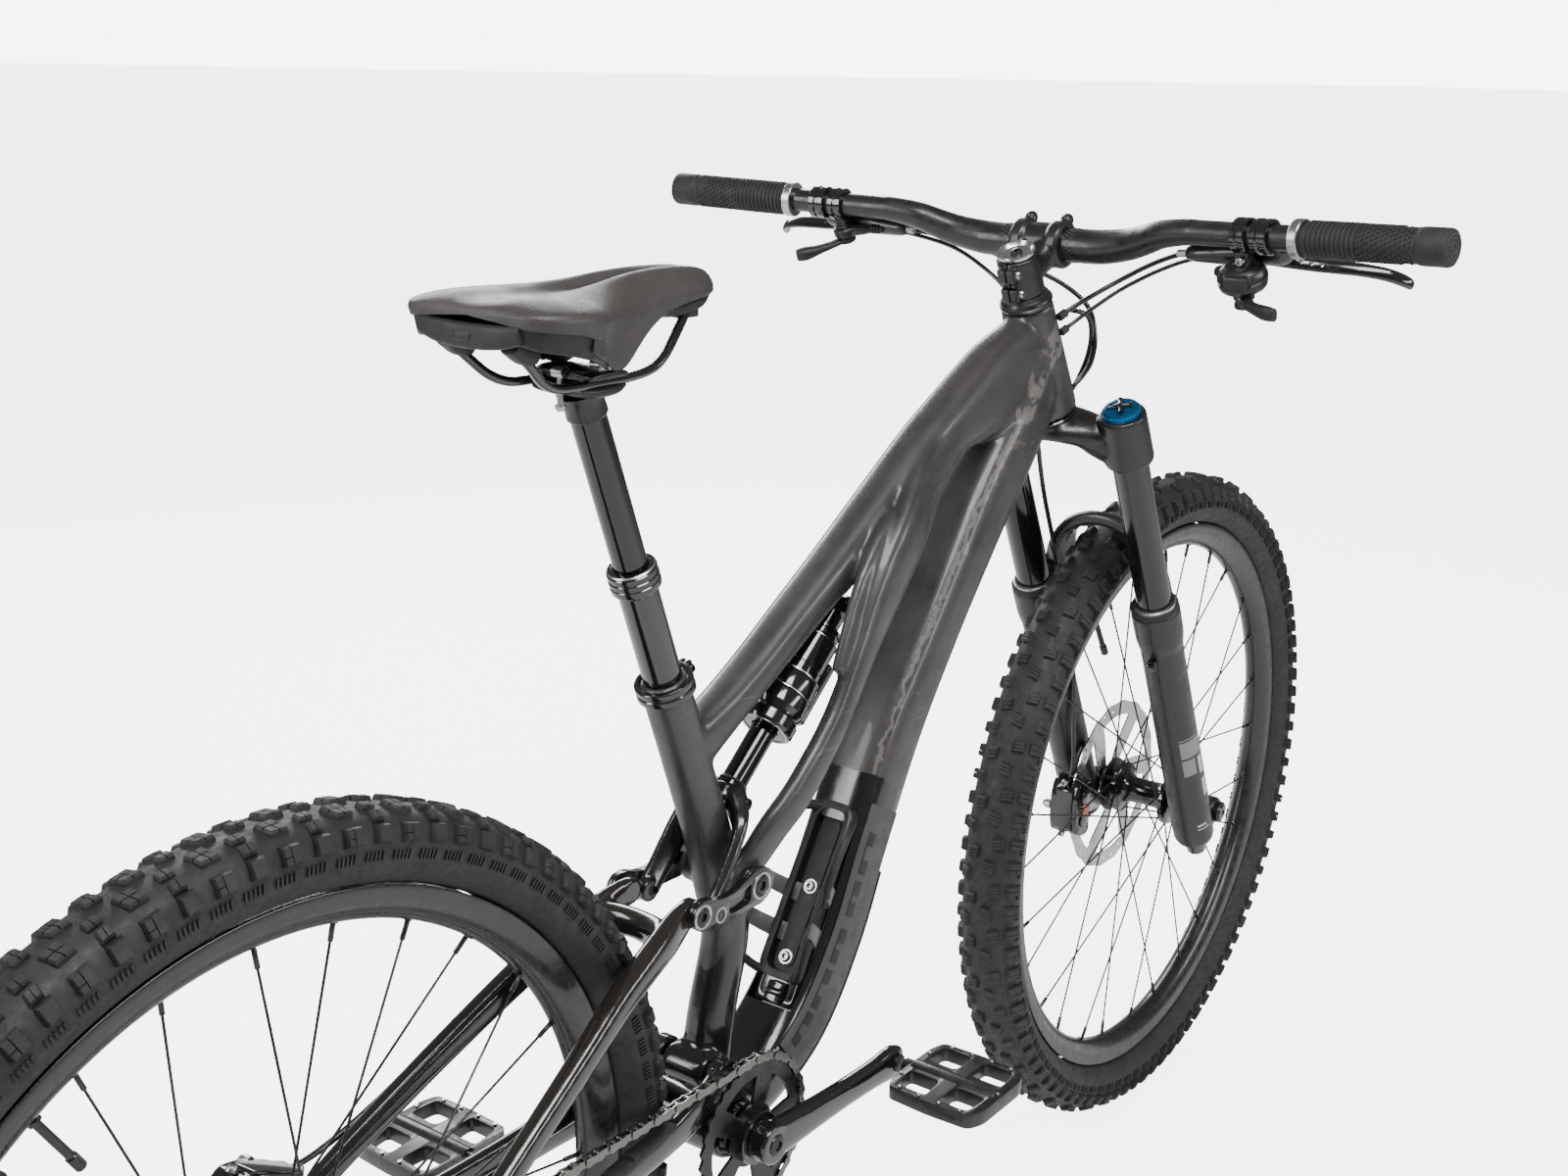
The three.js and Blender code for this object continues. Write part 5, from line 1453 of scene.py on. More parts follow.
def tube_skin(line, t0, t1, out, inn, power=0.6, n=16, start=0.0, end=1.0):
    """Part of a tube's surface as a thin shell, between two turns about its centre line."""
    s = smooth_line(line, 12)
    s = s[int(start * (len(s) - 1)) : int(end * (len(s) - 1)) + 1]
    sections = []
    for h, w in s[:, 3:]:
        rows = []
        for extra, angles in ((out, np.linspace(t0, t1, n)), (inn, np.linspace(t1, t0, n))):
            for a in angles:
                c, d = math.cos(a), math.sin(a)
                rows.append((
                    (w + extra) * np.sign(c) * abs(c) ** power,
                    (h + extra) * np.sign(d) * abs(d) ** power
                ))
        sections.append(np.array(rows))
    return along(s[:, :3], sections)


def guards():
    """Rubber guards on the side and the belly of the down tube."""
    skin = tube_skin(GUARD_LINE, -0.35, 0.62, 1.4, -1.0, start=0.12, end=0.92)
    piece("side_guard", "frame", GUARD, skin, bevel=0.3)
    lines = []
    for k in range(5):
        a = 0.2 + 0.14 * k
        for t0, t1, b0, b1 in (
            (0.1, 0.34, 0, 0.012), (0.1, 0.34, 0.075, 0.087), (0.31, 0.34, 0, 0.087)
        ):
            lines.append(tube_skin(GUARD_LINE, t0, t1, 1.8, 1.0, n=4, start=a + b0, end=a + b1 + 0.03))
    piece("guard_marks", "frame", MOULDED, *lines)
    belly = tube_skin(GUARD_LINE, -2.5, -0.62, 2.2, -1.0, n=20, start=0.3, end=0.96)
    piece("belly_guard", "frame", MOULDED, belly, bevel=0.4)


# ---- Cockpit ------------------------------------------------------------------
BAR_AT = np.array([27.6, 0, 196.1])


def about_bar(angle):
    """Points of the steering frame, turned down about the bar by an angle in degrees."""
    c, s = math.cos(math.radians(angle)), math.sin(math.radians(angle))
    turn = np.array([[c, 0, s], [0, 1, 0], [-s, 0, c]])
    return lambda points: STEER((np.asarray(points, float) - BAR_AT) @ turn.T + BAR_AT)


def on_bar(side, y):
    """The centre of the bar at a distance from the middle, in the steering frame."""
    share = (y - 130) / 270
    return np.array([38 - 28 * share, side * y, 188 + 22 * share])


def stem():
    """A split stem with its face plate, bolts and top cap."""
    clamp = upright((0, 0), 134.4, 173.8, 19.6, 48, 1.5)
    necks = [tube([[2, s * 5, 154, 17, 13], [18, s * 8, 156, 13.5, 12], [32, s * 12, 158, 14.5, 12],
                   [44, s * 15, 160, 18, 11]], 24, 0.85) for s in (-1, 1)]
    ears = [cross(BAR_CLAMP, s * 12, s * 26, 22.5, 40, 2) for s in (-1, 1)]
    bridge = cross(BAR_CLAMP, -20, 20, 19.8, 40, 1)
    lugs = [box((-25, -9, 137), (-12, 9, 150)), box((-25, -9, 157), (-12, 9, 170))]
    holes = [cross(BAR_CLAMP, -60, 60, 15.9, 40, 0.1), upright((0, 0), 100, 200, 14.4, 40, 0.1),
             box((51, -60, 100), (120, 60, 220)), box((-40, -1, 120), (-10, 1, 200))]
    body = fused(
        "stem_look", [clamp, *necks, *ears, bridge, *lugs], voxel=1.1, relax=7, place=STEER,
        late_holes=holes
    )
    finish_piece(body, "steering", STEM_SKIN, ["stem"], 40)
    face = [cross(BAR_CLAMP, s * 13, s * 26, 21.8, 40, 2) for s in (-1, 1)]
    face.append(cross(BAR_CLAMP, -16, 16, 19.2, 40, 1))
    pads = [
        rod((60, s * 19, 160 + q * 15.5), (67.5, s * 19, 160 + q * 15.5), 6, 24, 1)
        for s in (-1, 1)
        for q in (-1, 1)
    ]
    plate = fused(
        "faceplate", [*face, *pads], voxel=1.1, relax=5, place=STEER,
        late_holes=[
            cross(BAR_CLAMP, -60, 60, 15.9, 40, 0.1), box((-20, -60, 100), (51.6, 60, 220)),
            box((40, -9, 153), (90, 9, 167))
        ]
    )
    finish_piece(plate, "steering", STEM_SKIN, ["stem_faceplate"], 40)
    bolts = [bolt((67.2, s * 19, 160 + q * 15.5), "x", 4.2, 3.0, 2.2) for s in (-1, 1) for q in (-1, 1)]
    bolts += [bolt((-18.5, -9, z), (0, -1, 0), 4.2, 3.2, 2.2) for z in (143.5, 163.5)]
    bolts += [cross((-18.5, z), -9, 9.5, 2.5, 16, 0.3) for z in (143.5, 163.5)]
    piece("stem_bolts", "steering", STEEL, *bolts, place=STEER)
    cap = lathe([(0, 175.4), (13.4, 175.6), (15.4, 177.4), (16.6, 179.0), (17.6, 179.0), (18.2, 178.0),
                 (18.0, 175.6), (17.2, 174.4), (0, 174.4)], 64, "z")
    piece("top_cap", "steering", BRIGHT, cap, place=STEER, stands_for=["stem_top_cap"], slot="steel")
    domed = [
        (0, 175.2), (5.8, 175.2), (5.6, 176.8), (4.6, 178.3), (2.3, 178.9), (2.3, 177.0), (0, 177.0)
    ]
    piece("top_cap_bolt", "steering", DARK, lathe(domed, 24, "z"), place=STEER)
    spacer = lathe([(14.6, 133.9), (19.6, 133.9), (19.6, 134.3), (14.6, 134.3), (14.6, 133.9)], 48, "z")
    piece("stem_shim", "steering", STEEL, spacer, place=STEER)


def bar():
    """A riser bar, knurled where the stem holds it."""
    half = [
        (*on_bar(1, 396.5), 11.1), (*on_bar(1, 300), 11.1), (*on_bar(1, 180), 11.1),
        (*on_bar(1, 158), 11.5), (38, 130, 184, 12.6), (41, 110, 175, 13.6), (43.5, 90, 167, 14.6),
        (45.5, 66, 161.5, 15.7), (46, 48, 160, 15.8), (46, 20, 160, 15.8)
    ]
    line = np.array([(x, -y, z, r) for x, y, z, r in half] + half[::-1])
    piece(
        "bar_look", "steering", SATIN, sweep(line[:, :3], line[:, 3], 32, 8), place=STEER,
        stands_for=["handlebar"], slot="satin_black"
    )
    teeth = []
    for side in (-1, 1):
        for k in range(26):
            a = TAU * k / 26
            for row in range(3):
                y = side * (29.5 + row * 3.6)
                c, s = math.cos(a + row * 0.12), math.sin(a + row * 0.12)
                teeth.append(cross((46 + 15.7 * c, 160 + 15.7 * s), y - 1.3, y + 1.3, 0.5, 6, 0.1))
    piece("bar_knurl", "steering", SATIN, *teeth, place=STEER)


def grips():
    """Grips with ring grooves inboard and diamond blocks outboard."""
    for side, word in ((1, "left"), (-1, "right")):
        a, b = on_bar(side, 262), on_bar(side, 400)
        d = (b - a) / np.linalg.norm(b - a)
        line = [
            (11.3, 0), (15.9, 0), (16.2, 0.6), (16.2, 8.6), (15.6, 9.4), (14.2, 9.8), (14.2, 11.4),
            (15.0, 12)
        ]
        t = 14.0
        while t < 58:
            line += [(15.0, t), (16.2, t + 0.7), (16.2, t + 2.3), (15.0, t + 3.0)]
            t += 4.4
        line += [
            (14.9, 60), (14.9, 112), (15.6, 113), (15.9, 116), (15.9, 136), (15.2, 138.2),
            (13.5, 139.2), (0, 139.2), (0, 136), (11.3, 136), (11.3, 0)
        ]
        core = lathe(line, 56, d, a)
        turn = basis(d)
        blocks = []
        for i in range(12):
            for k in range(22):
                angle = TAU * (k + 0.5 * (i % 2)) / 22
                if math.sin(angle * 2 + 0.6) < -0.75 and i > 8:
                    continue
                outline = np.array([(0, -1.9), (1.7, 0), (0, 1.9), (-1.7, 0)])
                pts = []
                for r in (14.6, 16.0):
                    for u, v in outline * (1.0 if r < 15 else 0.75):
                        w = angle + u / 15.5
                        pts.append((r * math.cos(w), 63 + i * 4.1 + v, r * math.sin(w)))
                f = [(3, 2, 1, 0), (4, 5, 6, 7), (0, 1, 5, 4), (1, 2, 6, 5), (2, 3, 7, 6), (3, 0, 4, 7)]
                blocks.append((np.array(pts) @ turn.T + a, f))
        piece("grip_" + word + "_look", "steering", RUBBER, core, *blocks, place=STEER,
              stands_for=["grip_" + word], slot="grip_rubber", angle=30)
        collar = lathe([
            (11.4, -0.4), (16.3, -0.4), (16.9, 0.4), (16.9, 7.6), (16.3, 8.4), (15.6, 8.4), (15.6, 0.4),
            (11.4, 0.4), (11.4, -0.4)
        ], 48, d, a)
        piece("grip_ring_" + word, "steering", STEEL, collar, place=STEER)
        end = [
            lathe([(r, 139.1), (r + 1.0, 139.1), (r + 1.0, 139.7), (r, 139.7), (r, 139.1)], 40, d, a)
            for r in (4, 7.5, 11)
        ]
        piece("grip_end_" + word, "steering", GUARD, *end, place=STEER)


def clamp_on_bar(side, y0, y1, r=15.6):
    """A grooved clamp round the bar between two distances."""
    a, b = on_bar(side, y0), on_bar(side, y1)
    length = float(np.linalg.norm(b - a))
    line = [
        (12.0, 0), (r - 0.8, 0), (r, 0.8), (r, length * 0.36), (r - 1.4, length * 0.44),
        (r - 1.4, length * 0.56), (r, length * 0.64), (r, length - 0.8), (r - 0.8, length),
        (12.0, length), (12.0, 0)
    ]
    return lathe(line, 40, b - a, a)


def brakes():
    """A master cylinder and a lever on each side, turned down about the bar."""
    down = about_bar(55)
    for side, word in ((1, "left"), (-1, "right")):
        ring = clamp_on_bar(side, 225, 241)
        piece("brake_clamp_" + word, "steering", GLOSS, ring, place=STEER)
        barrel = tube([
            [59, side * 247, 197.5, 5, 7], [60, side * 240, 198, 10.5, 11.5],
            [61, side * 225, 198, 12, 12.5], [62, side * 204, 196.5, 12, 12],
            [62, side * 186, 194.5, 11, 11], [62, side * 170, 192.5, 9.4, 9],
            [62, side * 156, 191, 7.8, 7.5], [62, side * 149, 190, 5.5, 5.5]
        ], 28, 0.85)
        arm = tube([
            [38, side * 233, 197, 7, 7], [50, side * 232, 198, 6.5, 8], [60, side * 230, 198, 7, 9]
        ], 20, 0.7)
        lever_fork = [
            tube([
                [62, side * 220, z, 2.2, 8], [72, side * 214, z, 2.4, 7.5], [82, side * 211, z, 2.2, 6]
            ], 20, 0.8)
            for z in (191, 205)
        ]
        body = fused("master", [barrel, arm, *lever_fork], voxel=1.1, relax=6, place=down)
        finish_piece(body, "steering", MASTER, ["brake_master_" + word], 45)
        lid = []
        for grow, z0, z1 in ((0.0, 203, 209.2), (-1.6, 209, 210.0)):
            outline = []
            for k in range(36):
                a = TAU * k / 36
                outline.append((
                    61 + (9.4 + grow) * math.cos(a), side * 200 + (25 + grow) * math.sin(a)
                ))
            lid.append(slab(outline, z0, z1))
        piece("brake_lid_" + word, "steering", GLOSS, *lid, place=down, bevel=0.5)
        screws = [bolt((61, side * y, 209.8), "z", 3.0, 1.6, 1.4) for y in (184, 216)]
        screws += [
            bolt((79, side * 212, 206.8), "z", 4.6, 2.0, 2.2),
            bolt((44, side * 233, 203.6), "z", 4.0, 3.0, 2.0)
        ]
        screws += [rod((62, side * 150, 190), (62, side * 140, 189), 3.4, 6, 0.4)]
        piece("brake_screws_" + word, "steering", STEEL, *screws, place=down)
        blade = tube([
            [79, side * 212, 198, 5.4, 5.8], [79.6, side * 222, 198.2, 5.6, 5.2],
            [82.5, side * 240, 198.8, 6.4, 3.6], [86, side * 262, 199.4, 6.6, 3.0],
            [88.5, side * 285, 200, 6.4, 2.8], [91.5, side * 302, 200.5, 6.2, 3.0],
            [98, side * 319, 201, 6.0, 3.4], [108, side * 331, 201, 5.6, 3.6],
            [116, side * 335, 201, 4.6, 3.2]
        ], 20, 0.9, 5)
        hub = upright((79, side * 212), 193.6, 202.4, 7, 28, 0.8)
        reach = rod((88, side * 224, 198), (80, side * 224, 198), 2.6, 14, 0.4)
        holes = []
        for x, y in ((83, 247), (84, 256), (85, 265)):
            holes.append(rod((x + 30, side * y, 199), (x - 30, side * y, 199), 2.1, 16, 0.1))
        blade = fused("blade", [blade, hub, reach], voxel=0.8, relax=3, place=down,
                      late_holes=holes)
        finish_piece(blade, "brake_lever_" + word, GLOSS, ["brake_lever_" + word], 40)


def shifter():
    """The gear shifter under the right grip, with two paddles."""
    down = about_bar(12)
    piece("shifter_clamp", "steering", GLOSS, clamp_on_bar(-1, 206, 220), place=STEER)
    body = fused("pod", [
        lathe([
            (0, 0), (17, 0), (20.5, 2), (21.6, 6), (20.6, 15), (18.6, 20), (14, 22.4), (0, 22.4)
        ], 48, (-0.18, 0, 0.98), (26, -213, 149.6)),
        box((21, -219, 166), (35, -207, 183)),
        tube([[30, -205, 160, 8, 9], [32, -192, 160, 6.5, 7], [33, -184, 160, 4, 4.5]], 20),
        box((2, -226, 152), (14, -204, 166))
    ], voxel=1.0, relax=7, place=down)
    finish_piece(body, "steering", SATIN, ["shifter_body"], 45)
    trim = lathe(
        [(19.2, 9.5), (21.9, 9.5), (21.9, 12.5), (19.2, 12.5), (19.2, 9.5)], 48, (-0.18, 0, 0.98),
        (26, -213, 149.6)
    )
    piece("shifter_trim", "steering", GLOSS, trim, place=down)
    screws = [
        bolt((26, -213, 149.8), (0.18, 0, -0.98), 6.4, 2.4, 2.8),
        bolt((20, -213, 175), (-1, 0, 0), 4.2, 3.0, 2.2)
    ]
    piece("shifter_screws", "steering", STEEL, *screws, place=down)
    main = fused("paddle", [
        upright((26, -213), 139.2, 146.5, 9.5, 32, 0.8),
        tube([
            [26, -213, 143, 3.4, 7], [10, -222, 142, 3.4, 6], [2, -232, 141.5, 4.0, 6],
            [-6, -246, 141, 6.5, 5], [-9, -257, 141, 6, 3.5]
        ], 20, 0.8)
    ], voxel=0.8, relax=5, place=down)
    finish_piece(main, "shift_paddle_main", MOULDED, ["shift_paddle_main"], 40)
    release = fused("paddle", [
        upright((26, -213), 131, 137.8, 8.5, 32, 0.8),
        tube([
            [26, -213, 134.5, 3.2, 6], [24, -222, 133.4, 3.2, 5.5], [19, -232, 132, 4.6, 5],
            [14, -242, 131.5, 5.5, 4]
        ], 20, 0.8)
    ], voxel=0.8, relax=5, place=down)
    finish_piece(release, "shift_paddle_release", MOULDED, ["shift_paddle_release"], 40)
    ribs = [upright((-9.5 + k * 2.2, -252 + k * 3.4), 136.5, 146, 0.7, 8, 0.2) for k in range(4)]
    piece("paddle_ribs", "shift_paddle_main", MOULDED, *ribs, place=down)


def dropper():
    """The lever for the seatpost, under the left grip."""
    piece("dropper_clamp", "steering", GLOSS, clamp_on_bar(1, 206, 220), place=STEER)
    body = fused("mount", [
        box((22, 207, 163), (34, 219, 182)),
        lathe(
            [(0, 0), (9.5, 0), (11.5, 1.5), (11.5, 8), (9.5, 9.6), (0, 9.6)], 36, "z", (27, 213, 162)
        ),
        tube([[27, 206, 167, 5.5, 6], [30, 194, 167, 4.8, 5], [33, 184, 167, 3.6, 3.8]], 20)
    ], voxel=0.9, relax=5, place=STEER)
    finish_piece(body, "steering", SATIN, ["dropper_mount"], 45)
    lever = fused("thumb", [
        upright((27, 213), 154.8, 161.6, 9.0, 32, 0.8),
        tube([
            [27, 213, 158.4, 3.0, 6.5], [14, 220, 158.2, 3.0, 5.5], [2, 230, 158, 4.2, 6],
            [-8, 240, 158, 6.5, 7], [-13, 248, 158, 6, 5]
        ], 20, 0.8)
    ], voxel=0.8, relax=5, place=STEER)
    finish_piece(lever, "dropper_lever", MOULDED, ["dropper_lever"], 40)
    adjusters = [rod((33, 186, 167), (36, 172, 166), 4.4, 20, 0.5, 3.4)]
    adjusters += [
        lathe(
            [(4.4, t), (4.9, t + 0.4), (4.9, t + 1.2), (4.4, t + 1.6), (4.4, t)], 20, (3, -14, -1),
            (33, 186, 167)
        )
        for t in (2, 5, 8)
    ]
    piece("dropper_adjuster", "steering", MOULDED, *adjusters, place=STEER)
    piece(
        "dropper_screw", "steering", STEEL, bolt((27, 213, 154.8), (0, 0, -1), 4.4, 2.2, 2.2),
        place=STEER
    )


def cables():
    """Hoses and cables; the ones at the head run from the bar into the frame."""
    both = ("steering", "frame", STEER((40, -120, 140)), STEER((17, -27, 100)))
    piece("hose_right", both, CABLE, sweep([
        (42.3, -149, 164.4), (47, -132, 157), (51, -105, 143), (50, -75, 126), (40, -48, 112),
        (26, -32, 105), (16, -26.5, 103)
    ], 2.5, 12, 8), place=STEER)
    piece("cable_right", both, CABLE, sweep([
        (38, -182, 166), (48, -150, 155), (55, -112, 136), (52, -72, 114), (40, -46, 98), (26, -32, 90),
        (14, -27, 88)
    ], 2.1, 12, 8), place=STEER)
    left = ("steering", "frame", STEER((40, 120, 140)), STEER((17, 27, 100)))
    piece("cable_left", left, CABLE, sweep([
        (36, 172, 166), (46, 145, 157), (54, 105, 140), (50, 68, 118), (36, 40, 104), (24, 31, 103),
        (14, 26.5, 103)
    ], 2.1, 12, 8), place=STEER)
    loop = ("steering", "frame", STEER((50, 60, 120)), STEER((24, -22, 30)))
    piece("hose_loop", loop, CABLE, sweep([
        (42.3, 149, 164.4), (54, 124, 154), (66, 88, 136), (72, 48, 118), (74, 8, 100), (68, -22, 80),
        (56, -32, 56), (42, -32, 36), (30, -27, 26), (20, -23, 22)
    ], 2.5, 12, 8), place=STEER)
    drop = ("steering", "fork_lowers", STEER((60, 44, -30)), STEER((46, 62, -250)))
    piece("front_hose", drop, CABLE, sweep([
        (30, -26, 100), (46, -34, 84), (52, -30, 56), (50, -18, 24), (46, 4, -10), (42, 25, -15),
        (37, 40, -38), (36, 45, -80), (36, 49, -130), (39, 52, -190), (42, 54, -240), (38, 51, -290),
        (20, 47, -360), (-6, 45, -430), (-22, 47, -480), (-33, 58, -500), (-36, 68, -503)
    ], 2.5, 12, 8), place=STEER)
    clips = [
        upright((40, 55), -262, -250, 4.2, 16, 0.5), rod((17, 48, -372), (15, 48, -362), 4.4, 16, 0.5)
    ]
    piece("hose_clips", "fork_lowers", MOULDED, *clips, place=STEER)
    brake = sweep([
        (-78, 44, 536), (-120, 52, 526), (-190, 65, 499), (-290, 77, 450), (-350, 82, 434),
        (-384, 80, 450), (-391, 74, 456)
    ], 2.5, 12, 8)
    piece("rear_hose", "seatstays", CABLE, brake)
    along_stay = ("chainstays", "seatstays", (-300, -80, 356), (-420, -104, 318))
    gear = sweep([
        (-292, -79, 358), (-330, -90, 354), (-372, -101, 345), (-410, -107, 326), (-442, -106, 304),
        (-450, -99, 292), (-440, -92, 287)
    ], 2.1, 12, 8)
    piece("rear_cable", along_stay, CABLE, gear)


# ---- Shock, yoke and rocker -------------------------------------------------------
def shock():
    """The air can with its side chamber, and the shaft that slides in it."""
    line = [
        (0, 5), (9, 5), (12.4, 8), (12.4, 21), (15.2, 23.2), (17.4, 24), (17.4, 27.2), (16.2, 27.8),
        (16.2, 29.2), (17.4, 29.8), (17.4, 33), (16.2, 33.6), (16.2, 35), (18.4, 35.6), (19.4, 37),
        (19.4, 64), (18.7, 64.6), (18.7, 65.6), (19.4, 66.2), (19.4, 73), (22.0, 75.2), (22.8, 77),
        (22.8, 90.5), (21.8, 91.4), (21.8, 93.2), (23.4, 94.2), (23.9, 96), (23.9, 106), (22.6, 108.4),
        (21.2, 111), (22.6, 113.6), (23.9, 116), (23.9, 124.5), (22.6, 126.8), (12.4, 127.2),
        (11.6, 126.4), (11.6, 56), (0, 56)
    ]
    can = lathe(line, 72, (-1, 0, 0))
    eye = cross((0, 0), -13, 13, 11, 36, 0.8)
    pin = cross((0, 0), -20, 20, 4, 20, 0.4)
    side_chamber = rod((-42, 0, -28.5), (-100, 0, -28.5), 9.5, 36, 2.0)
    posts = [box((-60, -6, -29), (-44, 6, -15)), box((-98, -6, -29), (-86, 6, -15))]
    piece("shock_can", "shock_body", GLOSS, can, eye, pin, side_chamber, *posts, place=SHOCK,
          stands_for=["shock_body"], slot="gloss_black", angle=28)
    rings = []
    for t, r in ((36.2, 19.5), (74.6, 21.8), (92.3, 22.6), (127.1, 21.0)):
        rings.append(lathe([
            (r - 1.6, t - 0.6), (r + 0.35, t - 0.6), (r + 0.35, t + 0.5), (r - 1.6, t + 0.5),
            (r - 1.6, t - 0.6)
        ], 64, (-1, 0, 0)))
    rings.append(upright((-84, 6), 21.6, 25.6, 2.8, 16, 0.4))
    rings.append(upright((-50, 0), -38.4, -36, 4.0, 20, 0.4))
    piece("shock_rings", "shock_body", STEEL, *rings, place=SHOCK)
    dial = cross((-30, 0), 12.5, 19.4, 5.0, 8, 0.6)
    piece("shock_dial", "shock_body", BLUE, dial, place=SHOCK)
    shaft = lathe([
        (0, 112), (10.9, 112), (11, 113), (11, 184.6), (12.6, 185.2), (12.6, 186), (0, 186)
    ], 64, (-1, 0, 0))
    piece("shock_shaft_look", "shock_shaft", STANCHION, shaft, place=SHOCK, stands_for=["shock_shaft"],
          slot="stanchion_coat")
    oring = lathe([
        (10.8, 180), (12.2, 180), (12.6, 181), (12.2, 182), (10.8, 182), (10.8, 180)
    ], 40, (-1, 0, 0))
    piece("shock_o_ring", "shock_shaft", RUBBER, oring, place=SHOCK)
    yoke()
    rocker()


def yoke():
    """A fork from the shaft down to the rocker."""
    arms = []
    for side in (-1, 1):
        arms.append(tube([
            [33.5, side * 4, 619, 11.5, 9], [29, side * 10, 614, 12.5, 9],
            [23, side * 19, 606, 12.5, 7.5], [15, side * 26, 599, 11.5, 6],
            [5, side * 29.2, 587, 10.5, 5.4], [-6, side * 30.6, 574, 9.6, 5.2],
            [-19, side * 31.2, 559, 9.2, 5.2], [-31.6, side * 31.2, 546, 9.6, 5.4]
        ], 28, 0.6))
        arms.append(cross(YOKE_PIVOT, side * 26.2, side * 36.8, 10, 32, 1.0))
    head = rod(SHOCK((-186.3, 0, 0)), SHOCK((-201, 0, 0)), 14.5, 40, 2)
    body = fused("yoke_look", [*arms, head], voxel=1.0, relax=5,
                 late_holes=[cross(YOKE_PIVOT, -60, 60, 4.2, 24, 0.1)])
    finish_piece(body, "shock_shaft", LINK, ["shock_yoke"], 40)
    ends = [cross(YOKE_PIVOT, s * 26.4, s * 37.0, 4.1, 20, 0.3) for s in (-1, 1)]
    ridge = [rod((27, s * 20.5, 613.5), (27, s * 24.5, 612.8), 6.4, 28, 0.8) for s in (-1, 1)]
    piece("yoke_bolts", "shock_shaft", DARK, *ends, *ridge)


def rocker():
    """Two cheeks with stepped faces, on three bolts a side."""
    outline = rounded([
        (36, 553), (31, 565), (16, 569), (2, 565), (-14, 558.5), (-32, 559), (-48, 565.5), (-60, 564.5),
        (-66.5, 553), (-60, 541.5), (-46, 538.5), (-32, 534), (-14, 537.5), (4, 538), (20, 537),
        (31, 542)
    ], 9, 5)
    pockets = [rounded([(7, 560), (-10, 553.5), (-22, 553.5), (-22, 543), (-8, 542), (6, 544)], 4, 4)]
    shapes = []
    for side in (-1, 1):
        y = side * 41.7
        shapes.append(flat("cheek", outline, [], 1.9, y=y - side * 1.4))
        shapes.append(flat("rim", outline, [
            *pockets, circle(*ROCKER_PIVOT, 7.8, 28), circle(*STAY_PIVOT, 6.8, 28)
        ], 1.9, y=y + side * 1.6))
    shapes.append(cross(ROCKER_PIVOT, -44, 44, 6, 28, 0.4))
    piece(
        "rocker_look", "rocker", LINK, *shapes, stands_for=["rocker_link"], slot="gloss_black",
        bevel=0.8
    )
    rings, heads = [], []
    for side in (-1, 1):
        for (x, z), r, deep in (
            (ROCKER_PIVOT, 11.6, 44.6), (STAY_PIVOT, 10.4, 44.6), (YOKE_PIVOT, 7.2, 43.6)
        ):
            y = side * deep
            rings.append(lathe([
                (r - 2.6, 0), (r, 0), (r, 1.2), (r - 0.7, 1.8), (r - 1.8, 1.8), (r - 2.6, 1.0),
                (r - 2.6, 0)
            ], 40, (0, side, 0), (x, y, z)))
            heads.append(bolt((x, y - side * 0.6, z), (0, side, 0), r - 2.8, 2.6, r * 0.34))
    piece("rocker_rings", "rocker", STEEL, *rings)
    piece("rocker_bolts", "rocker", DARK, *heads)


